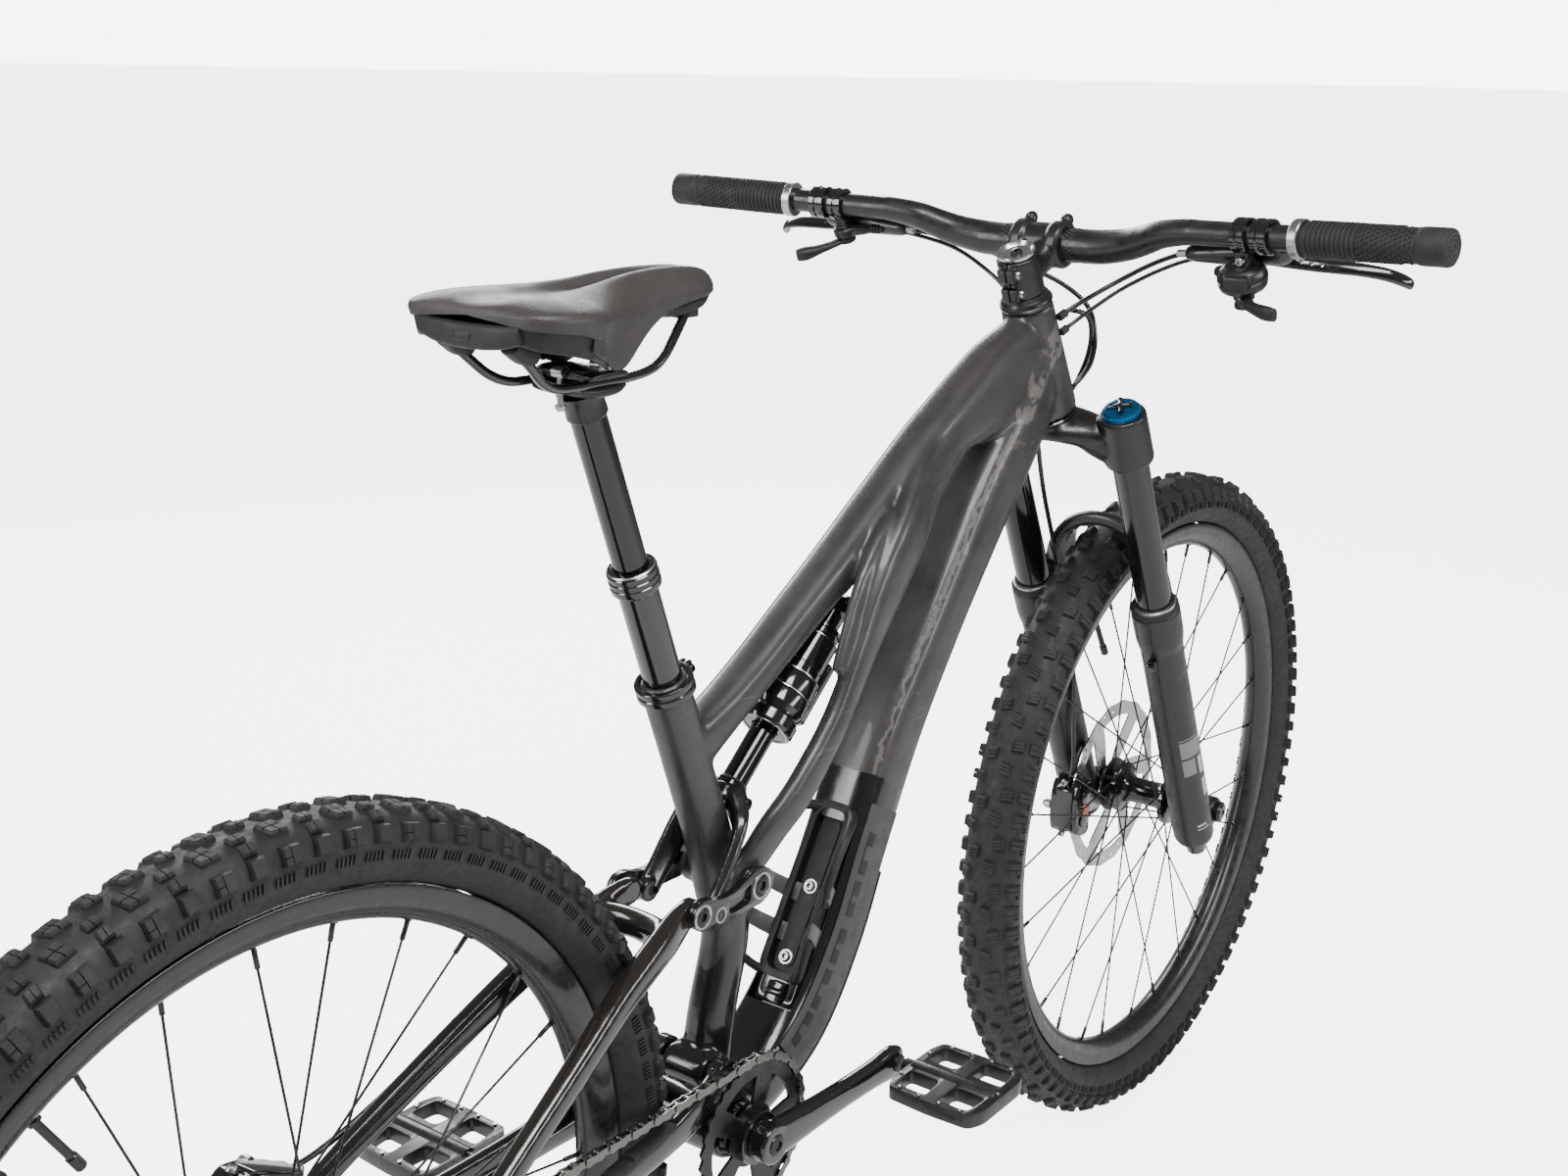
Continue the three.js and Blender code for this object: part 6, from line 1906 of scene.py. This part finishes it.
# ---- Stays ------------------------------------------------------------------------
def seatstays():
    """Two stays, their bridge and dropouts, with the axle and the rear caliper."""
    dropout = [
        (-436.8, 357), (-406, 352), (-389, 353), (-386, 372), (-366, 398), (-380, 410), (-437, 390)
    ]
    dropout = rounded(dropout, 6, 4)
    shapes = []
    for side in (-1, 1):
        shapes.append(tube([
            [-50, side * 31.3, 553.5, 10, 5.4], [-58, side * 31.5, 552.5, 12.5, 5.6],
            [-72, side * 33.2, 548.5, 14.5, 7.4], [-90, side * 36.5, 542.5, 14, 9.4],
            [-115, side * 40.5, 534.5, 13, 10], [-150, side * 46, 522, 12.5, 10],
            [-200, side * 53.5, 497, 11.5, 9.4], [-260, side * 61, 466, 10.5, 8.6],
            [-320, side * 68, 433, 10, 7.6], [-370, side * 74, 402, 10.5, 5.6],
            [-405, side * 76.6, 386, 12, 3.4], [-430, side * 77.2, 377, 12, 2.9]
        ], 28, 0.78))
        shapes.append(cross(STAY_PIVOT, side * 25.8, side * 37.2, 11, 36, 1))
        shapes.append(cross(REAR_AXLE, side * 74.4, side * 80, 17.5, 40, 0.8))
        shapes.append(prism(dropout, side * 77.15 - 2.8, side * 77.15 + 2.8))
    shapes.append(tube([
        [-90, -38, 543, 13, 12], [-84, -20, 544, 12, 10], [-82, 0, 544.5, 11.5, 9.5],
        [-84, 20, 544, 12, 10], [-90, 38, 543, 13, 12]
    ], 28, 0.8))
    opening = rounded([(-424, 380), (-404, 370), (-392, 378), (-394, 392), (-414, 390)], 4, 3)
    body = fused("seatstay_pair", shapes, voxel=1.5, relax=4,
                 late_holes=[cross(REAR_AXLE, -100, 100, 6.4, 28, 0.1),
                             prism(opening, -100, -60), prism(opening, 60, 100)])
    finish_piece(body, "seatstays", STAY, ["seatstays"], 40)
    axle = [cross(REAR_AXLE, -86, 84, 6, 28, 0.5), cross(REAR_AXLE, -86, -80.4, 9.5, 32, 0.8)]
    piece("rear_axle_look", "seatstays", DARK, *axle, stands_for=["rear_axle"], slot="dark_metal")
    caliper("rear_caliper", "seatstays", (-400, 55, 448), 0.46, BIKE)
    mount = [
        sweep([(-372, 72, 404), (-372, 66, 420), (-374, 60, 432)], [8, 6.5, 6], 16),
        sweep([(-430, 76, 384), (-428, 70, 406), (-426, 62, 424), (-424, 58, 432)], [7, 6.5, 6, 6], 16)
    ]
    piece("rear_caliper_mount", "seatstays", STAY, *mount)
    bolts = [bolt((-54.5, s * 37.0, 553), (0, s, 0), 6.6, 0.8, 3.0) for s in (-1, 1)]
    piece("stay_bolts", "seatstays", DARK, *bolts)


def chainstays():
    """Two lower stays with their bridge, pivots and the chain guard."""
    shapes = []
    for side in (-1, 1):
        shapes.append(tube([
            [-8, side * 31, 390, 15, 7], [-30, side * 35, 387.5, 15, 7],
            [-62, side * 42, 383, 14.5, 6.6], [-105, side * 46, 378, 12.5, 6.4],
            [-150, side * 49, 374, 11.5, 6.4], [-220, side * 57, 368.5, 10.5, 6.4],
            [-290, side * 67, 364, 9.5, 6.2], [-335, side * 77, 362, 9.5, 5.4],
            [-362, side * 83, 361, 9.5, 4.6], [-392, side * 84.5, 361, 10.5, 4.0],
            [-401, side * 84.5, 361, 9, 3.8]
        ], 28, 0.75))
        shapes.append(cross(MAIN_PIVOT, side * 24.2, side * 38, 16.5, 40, 1))
        shapes.append(cross(HORST_PIVOT, side * 80.7, side * 88.4, 11.4, 36, 0.8))
    shapes.append(tube([
        [-52, -42, 384, 11, 8], [-49, -20, 385, 10, 8], [-48, 0, 385, 10, 8], [-49, 20, 385, 10, 8],
        [-52, 42, 384, 11, 8]
    ], 24, 0.7))
    body = fused(
        "chainstay_pair", shapes, voxel=1.5, relax=4,
        late_holes=[cross(MAIN_PIVOT, -60, 60, 6.4, 28, 0.1)]
    )
    finish_piece(body, "chainstays", STAY, ["chainstays"], 40)
    guard = tube([
        [-95, -47, 392.5, 2.4, 7], [-150, -50.5, 387.5, 3, 8], [-220, -58, 381, 3, 8],
        [-290, -68, 375.5, 2.8, 7.6], [-330, -76.5, 373, 2, 6]
    ], 20, 0.7)
    lumps = [
        tube([[x, y, z, 2.4, 6.5], [x - 9, y - 1.2, z - 0.6, 2.4, 6.5]], 14, 0.7, 3)
        for x, y, z in (
            (-140, -49.8, 391.5), (-165, -52.2, 389.2), (-190, -54.8, 386.8), (-215, -57.5, 384.4),
            (-240, -60.8, 382.4)
        )
    ]
    piece("stay_guard", "chainstays", RUBBER, guard, *lumps)
    heads = [bolt((-398.8, s * 88.2, 361), (0, s, 0), 6.4, 1.2, 2.6) for s in (-1, 1)]
    piece("horst_bolts", "chainstays", DARK, *heads)
    axle = [cross(MAIN_PIVOT, -39, 39, 6, 28, 0.4)]
    axle += [bolt((-12, s * 38.4, 390), (0, s, 0), 8.8, 1.4, 3.2) for s in (-1, 1)]
    piece("main_axle", "frame", DARK, *axle, stands_for=["main_pivot_axle"], slot="dark_metal")


# ---- Drive -----------------------------------------------------------------------
CHAIN_Y = -52.5


def bottom_bracket():
    """Notched cups and the sleeve between them."""
    shapes = []
    for side in (-1, 1):
        line = [
            (15.0, 36.4), (21.5, 36.4), (22.6, 37.2), (22.6, 42.6), (21.8, 43.6), (19.5, 44),
            (15.0, 44), (15.0, 36.4)
        ]
        shapes.append(lathe(line, 56, (0, side, 0), (0, 0, 340)))
        for k in range(16):
            a = TAU * k / 16
            x, z = 22.4 * math.cos(a), 340 + 22.4 * math.sin(a)
            shapes.append(cross((x, z), side * 38, side * 42.6, 1.6, 8, 0.3))
    shapes.append(lathe([
        (15.0, -36.4), (20.4, -36.4), (20.4, 36.4), (15.0, 36.4), (15.0, -36.4)
    ], 40, "y", (0, 0, 340)))
    piece("bb_cups", "frame", DARK, *shapes, stands_for=["bottom_bracket"], slot="dark_metal")


def cranks():
    """Arms, spindle, chainring and its spider."""
    for side, word in ((-1, "right"), (1, "left")):
        s = -side
        arm = tube([
            [s * -15, side * 70.5, 340, 9, 6], [0, side * 71, 340, 18, 8],
            [s * 20, side * 72, 340, 16.5, 8.4], [s * 50, side * 73.2, 340, 14.5, 8.2],
            [s * 95, side * 74.8, 340, 13, 7.6], [s * 140, side * 76.4, 340, 13.5, 7.4],
            [s * 166, side * 77, 340, 15.5, 7.4], [s * 180, side * 77, 340, 11, 6.2]
        ], 32, 0.75)
        y0, y1 = (-72, 46) if side < 0 else (46.4, 72)
        spindle = cross(BB, y0, y1, 14.4, 40, 0.6)
        boss = cross(BB, side * 62, side * 79.5, 17.5, 48, 1.5)
        body = fused("crank_" + word + "_look", [arm, boss], voxel=1.3, relax=5)
        finish_piece(body, "crank", GLOSS, ["crank_" + word], 45)
        piece("spindle_" + word, "crank", DARK, spindle)
        caps = [
            bolt((0, side * 79.2, 340), (0, side, 0), 9.5, 2.0, 4.4),
            cross((s * 170, 340), side * 78, side * 86.4, 8.0, 24, 0.8)
        ]
        piece("crank_caps_" + word, "crank", DARK, *caps)
    holes = [circle(0, 0, 15, 40)]
    for k in range(5):
        a = TAU * (k + 0.5) / 5
        loop = [(52, a - 0.42), (52, a + 0.42), (27, a + 0.34), (27, a - 0.34)]
        holes.append(rounded(window(loop, 6), 2.5, 3))
    ring = flat("ring", toothed(32, 64.8), holes, 1.4, y=CHAIN_Y)
    ring = moved(ring, (0, 0, 340))
    piece("chainring_look", "crank", DARK, ring, stands_for=["chainring"], slot="dark_metal", angle=30)
    spider = [cross(BB, CHAIN_Y + 1.6, CHAIN_Y - 10, 23, 48, 1.0)]
    bolts = []
    for k in range(8):
        a = TAU * k / 8
        bolts.append(bolt(
            (19.6 * math.cos(a), CHAIN_Y + 1.6, 340 + 19.6 * math.sin(a)), "y", 2.6, 1.4, 1.2
        ))
    piece("chainring_spider", "crank", GLOSS, *spider)
    piece("chainring_bolts", "crank", STEEL, *bolts)


def pedals():
    """Platforms with windows and pins."""
    for side, word in ((-1, "right"), (1, "left")):
        x = -side * 170
        mid = side * 143
        outer = [
            (-45, -40), (-30, -46.5), (30, -46.5), (45, -40), (47, 0), (45, 40), (30, 44.5),
            (-30, 44.5), (-45, 40), (-47, 0)
        ]
        outer = rounded(outer, 6, 4)
        holes = [
            rounded([(-39, -35), (-12, -38), (-12, -8), (-39, -6)], 5, 3),
            rounded([(12, -38), (39, -35), (39, -6), (12, -8)], 5, 3),
            rounded([(-39, 6), (-12, 8), (-12, 38), (-39, 35)], 5, 3),
            rounded([(12, 8), (39, 6), (39, 35), (12, 38)], 5, 3)
        ]
        plate = slab(outer, -6.4, 6.4, holes)
        plate = moved(plate, (x, mid, 340))
        axle = cross((x, 340), side * 90.8, side * 186, 7.4, 28, 1.0)
        sleeve = cross((x, 340), side * 100, side * 184, 9.6, 32, 1.2)
        piece(
            "pedal_" + word + "_look", "pedal_" + word, SATIN, plate, sleeve,
            stands_for=["pedal_" + word], slot="satin_black", bevel=1.0
        )
        places = [
            (-42, -30), (-43, -10), (-43, 10), (-42, 30), (42, -30), (43, -10), (43, 10), (42, 30)
        ]
        places += [(0, -42), (0, 40), (-22, 41), (22, 41)]
        pins = [upright((x + px, mid + py), 340 - 8.0, 340 + 8.0, 1.7, 8, 0.3) for px, py in places]
        piece("pedal_" + word + "_pins", "pedal_" + word, STEEL, *pins)
        piece("pedal_" + word + "_axle", "pedal_" + word, DARK, axle)


GUIDE = (-420, 288)
TENSION = (-404, 204)


def chain_path(circles):
    """Points of the chain's centre line, with the corner each belongs to."""
    lines = []
    n = len(circles)
    for i in range(n):
        x, z, r, s = circles[i]
        x2, z2, r2, s2 = circles[(i + 1) % n]
        slope = math.atan2(z2 - z, x2 - x) + math.asin((s * r - s2 * r2) / math.hypot(x2 - x, z2 - z))
        lines.append(slope)
    parts = []
    for i, (x, z, r, s) in enumerate(circles):
        start = lines[i - 1]
        swing = s * ((s * (lines[i] - start)) % TAU)
        steps = max(3, int(abs(swing) * r / 2))
        arc = []
        for k in range(steps + 1):
            a = start + swing * k / steps
            arc.append((x + s * r * math.sin(a), z - s * r * math.cos(a)))
        parts.append(np.array(arc))
    out = []
    for i in range(n):
        out.append((("wrap", i), parts[i]))
        a, b = parts[i][-1], parts[(i + 1) % n][0]
        count = max(3, int(np.linalg.norm(b - a) / 2))
        out.append((("run", i), np.array([a + (b - a) * t for t in np.linspace(0, 1, count)])))
    return out


def chain():
    """Links round the ring, the cassette and both jockey wheels, in five runs."""
    grow = 2.1
    circles = [
        (0, 340, 65 + grow, 1), (-436.8, 373, 46 + grow, 1), (*GUIDE, 20 + grow, -1),
        (*TENSION, 20 + grow, 1)
    ]
    path = chain_path(circles)
    points = np.concatenate([p for _, p in path])
    labels = [label for label, p in path for _ in p]
    step = np.linalg.norm(np.diff(points, axis=0, append=points[:1]), axis=1)
    far = np.concatenate([[0], np.cumsum(step)])
    count = 2 * round(far[-1] / 25.4)
    pitch = far[-1] / count
    closed = np.vstack([points, points[:1]])

    def at(d):
        d %= far[-1]
        return np.array([np.interp(d, far, closed[:, 0]), np.interp(d, far, closed[:, 1])])

    groups = {"front": [], "upper": [], "rear": [], "cage": [], "lower": []}
    names = {
        ("wrap", 0): "front", ("run", 0): "upper", ("wrap", 1): "rear", ("run", 1): "rear",
        ("wrap", 2): "rear", ("run", 2): "cage", ("wrap", 3): "cage", ("run", 3): "lower"
    }
    for k in range(count):
        a, b = at(k * pitch), at((k + 1) * pitch)
        where = labels[min(int(np.searchsorted(far, ((k + 0.5) * pitch) % far[-1])), len(labels) - 1)]
        d = (b - a) / np.linalg.norm(b - a)
        side = np.array([-d[1], d[0]])
        outline = []
        for t in np.linspace(-math.pi / 2, math.pi / 2, 6):
            outline.append(b + 3.9 * (math.cos(t) * d + math.sin(t) * side))
        outline.append((a + b) / 2 + 2.9 * side)
        for t in np.linspace(math.pi / 2, 3 * math.pi / 2, 6):
            outline.append(a + 3.9 * (math.cos(t) * d + math.sin(t) * side))
        outline.append((a + b) / 2 - 2.9 * side)
        outline = [tuple(q) for q in outline]
        y = 1.6 if k % 2 else 2.6
        link = [
            prism(outline, CHAIN_Y + y, CHAIN_Y + y + 0.9),
            prism(outline, CHAIN_Y - y - 0.9, CHAIN_Y - y)
        ]
        link.append(cross((a[0], a[1]), CHAIN_Y - 3.6, CHAIN_Y + 3.6, 1.7, 8, 0.2))
        link.append(cross((a[0], a[1]), CHAIN_Y - 1.6, CHAIN_Y + 1.6, 3.6, 10, 0.2))
        groups[names[where]] += link
    runs = {"upper": ("frame", "chainstays", (0, CHAIN_Y, 405), (-436, CHAIN_Y, 420)),
            "lower": ("frame", "chainstays", (0, CHAIN_Y, 275), (-404, CHAIN_Y, 183))}
    bodies = {"front": "frame", "rear": "seatstays", "cage": "derailleur_cage", **runs}
    for name, links in groups.items():
        piece(
            "chain_" + name, bodies[name], CHAIN_STEEL, *links, stands_for=["chain"], slot="steel",
            angle=30
        )


def derailleur():
    """The body, and the cage with its wheels."""
    hanger = prism(rounded(
        [(-452, 356), (-424, 356), (-430, 334), (-438, 324), (-450, 326)], 5, 4
    ), -80.2, -74.4)
    body = fused("derailleur_look", [
        cross((-441, 331), -92, -76, 13, 36, 1.5),
        tube([
            [-441, -88, 331, 11, 8], [-438, -92, 318, 10, 9], [-430, -91, 302, 11, 8],
            [-421, -86, 290, 12, 8]
        ], 24, 0.75),
        tube([
            [-441, -80, 329, 6, 4], [-436, -80, 314, 5.5, 4], [-424, -78, 298, 6, 4],
            [-420, -77, 290, 7, 4]
        ], 20, 0.8),
        cross((-420, 288), -97, -72.5, 14.5, 40, 1.5), hanger
    ], voxel=1.1, relax=5)
    finish_piece(body, "seatstays", SATIN, ["derailleur"], 45)
    bolts = [
        bolt((-441, -91.6, 331), (0, -1, 0), 7.4, 2.2, 3.2),
        bolt((-420, -96.8, 288), (0, -1, 0), 8.4, 1.6, 3.2),
        bolt((-437, -100.4, 314), (0, -1, 0), 3.0, 1.4, 1.4)
    ]
    piece("derailleur_bolts", "seatstays", DARK, *bolts)
    cheek = rounded([
        (-436, 296), (-420, 303), (-406, 298), (-391, 202), (-396, 192), (-410, 190), (-419, 197)
    ], 7, 4)
    hole = rounded([(-424, 270), (-412, 272), (-404, 226), (-414, 224)], 5, 4)
    cheeks = [
        flat("cheek", cheek, [hole], 1.1, y=CHAIN_Y - 6.2),
        flat("cheek", cheek, [hole], 0.9, y=CHAIN_Y + 6.0)
    ]
    pivot = cross((-420, 288), -71, -59, 11, 36, 0.8)
    piece("cage_cheeks", "derailleur_cage", SATIN, *cheeks, pivot, stands_for=["derailleur_cage"],
          slot="satin_black", bevel=0.3)
    wheels, caps = [], []
    holes = [circle(0, 0, 4, 20)]
    for a in np.linspace(0, TAU, 7)[:-1]:
        holes.append(circle(11 * math.cos(a), 11 * math.sin(a), 2.2, 12))
    for x, z in (GUIDE, TENSION):
        wheel = flat("wheel", toothed(12, 17.6, 4.0), holes, 1.1, y=CHAIN_Y)
        wheels.append(moved(wheel, (x, 0, z)))
        caps.append(cross((x, z), CHAIN_Y - 7.6, CHAIN_Y + 7.0, 4.4, 24, 0.6))
    piece("jockey_wheels", "derailleur_cage", MOULDED, *wheels)
    piece("jockey_bolts", "derailleur_cage", DARK, *caps)


front_wheel()
rear_wheel()
front_triangle()
headset()
seat_collar()
seatpost()
fork()
storage()
guards()
stem()
bar()
grips()
brakes()
shifter()
dropper()
cables()
shock()
seatstays()
chainstays()
bottom_bracket()
cranks()
pedals()
chain()
derailleur()


# ---- Stage ------------------------------------------------------------------
def seen_only(tree, seen, other):
    """A strength the camera sees, and another one that lights the object."""
    path = tree.nodes.new("ShaderNodeLightPath")
    mix = tree.nodes.new("ShaderNodeMix")
    mix.inputs[2].default_value = other
    mix.inputs[3].default_value = seen
    tree.links.new(path.outputs["Is Camera Ray"], mix.inputs[0])
    return mix.outputs[0]


def stage():
    """A bright backdrop that only the camera sees, a floor and four lamps."""
    world = bpy.data.worlds.new("studio")
    world.use_nodes = True
    tree = world.node_tree
    backdrop = tree.nodes["Background"]
    backdrop.inputs[0].default_value = rgb(1, 1, 1)
    tree.links.new(seen_only(tree, 7.0, 0.2), backdrop.inputs[1])
    bpy.context.scene.world = world
    floor = bpy.data.meshes.new("floor")
    floor.from_pydata([(-60, -60, 0), (60, -60, 0), (60, 60, 0), (-60, 60, 0)], [], [(0, 1, 2, 3)])
    sheet = bpy.data.objects.new("floor", floor)
    sheet.location.z = -0.0005
    bpy.context.scene.collection.objects.link(sheet)
    paint = bpy.data.materials.new("pale_floor")
    paint.use_nodes = True
    skin = paint.node_tree.nodes["Principled BSDF"]
    skin.inputs["Base Color"].default_value = rgb(0.93, 0.93, 0.93)
    skin.inputs["Roughness"].default_value = 0.9
    skin.inputs["Emission Color"].default_value = rgb(1, 1, 1)
    paint.node_tree.links.new(seen_only(paint.node_tree, 4.5, 0.0), skin.inputs["Emission Strength"])
    floor.materials.append(paint)

    def lamp(name, place, target, size, power):
        light = bpy.data.lights.new(name, "AREA")
        light.shape = "RECTANGLE"
        light.size, light.size_y = size
        light.energy = power
        obj = bpy.data.objects.new(name, light)
        at = np.array(place, float)
        back = at - np.array(target, float)
        obj.matrix_world = look(at, back)
        bpy.context.scene.collection.objects.link(obj)

    lamp("key", (-1.0, -0.9, 3.2), (0.1, 0, 0.7), (2.2, 0.8), 105)
    lamp("side", (0.9, -3.2, 1.7), (0.2, 0, 0.6), (3.0, 0.55), 55)
    lamp("rim", (1.8, 2.6, 2.2), (0.2, 0, 0.7), (2.4, 0.8), 95)
    lamp("left", (-2.8, 1.6, 1.9), (-0.2, 0, 0.6), (0.8, 2.0), 60)


def placed(x, y, z, at):
    """A matrix from three axes and an origin."""
    matrix = Matrix.Identity(4)
    for column, values in enumerate((x, y, z, at)):
        for row in range(3):
            matrix[row][column] = values[row]
    return matrix


def look(at, back):
    """A matrix at a point whose z axis runs back from what it looks at."""
    z = np.array(back, float)
    z /= np.linalg.norm(z)
    x = np.cross((0, 0, 1), z)
    x /= np.linalg.norm(x)
    return placed(x, np.cross(z, x), z, at)


def camera():
    """Behind and to the right of the bike, a little above the bar, rolled by a degree."""
    turn, down, roll = 0.64205, 0.28042, -0.01684
    ahead = np.array(
        [math.cos(turn) * math.cos(down), math.sin(turn) * math.cos(down), -math.sin(down)]
    )
    side = np.cross(ahead, (0, 0, 1))
    side /= np.linalg.norm(side)
    above = np.cross(side, ahead)
    right = math.cos(roll) * side - math.sin(roll) * above
    upward = math.sin(roll) * side + math.cos(roll) * above
    lens = bpy.data.cameras.new("camera")
    lens.sensor_width = 36.0
    lens.lens = 44.0
    lens.clip_start, lens.clip_end = 0.05, 60
    eye = (np.array([-1097.63, -897.73, 1205.08]) - [X0, 0, 0]) / 1000
    obj = bpy.data.objects.new("camera", lens)
    obj.matrix_world = placed(right, upward, -ahead, eye)
    bpy.context.scene.collection.objects.link(obj)
    bpy.context.scene.camera = obj


stage()
camera()
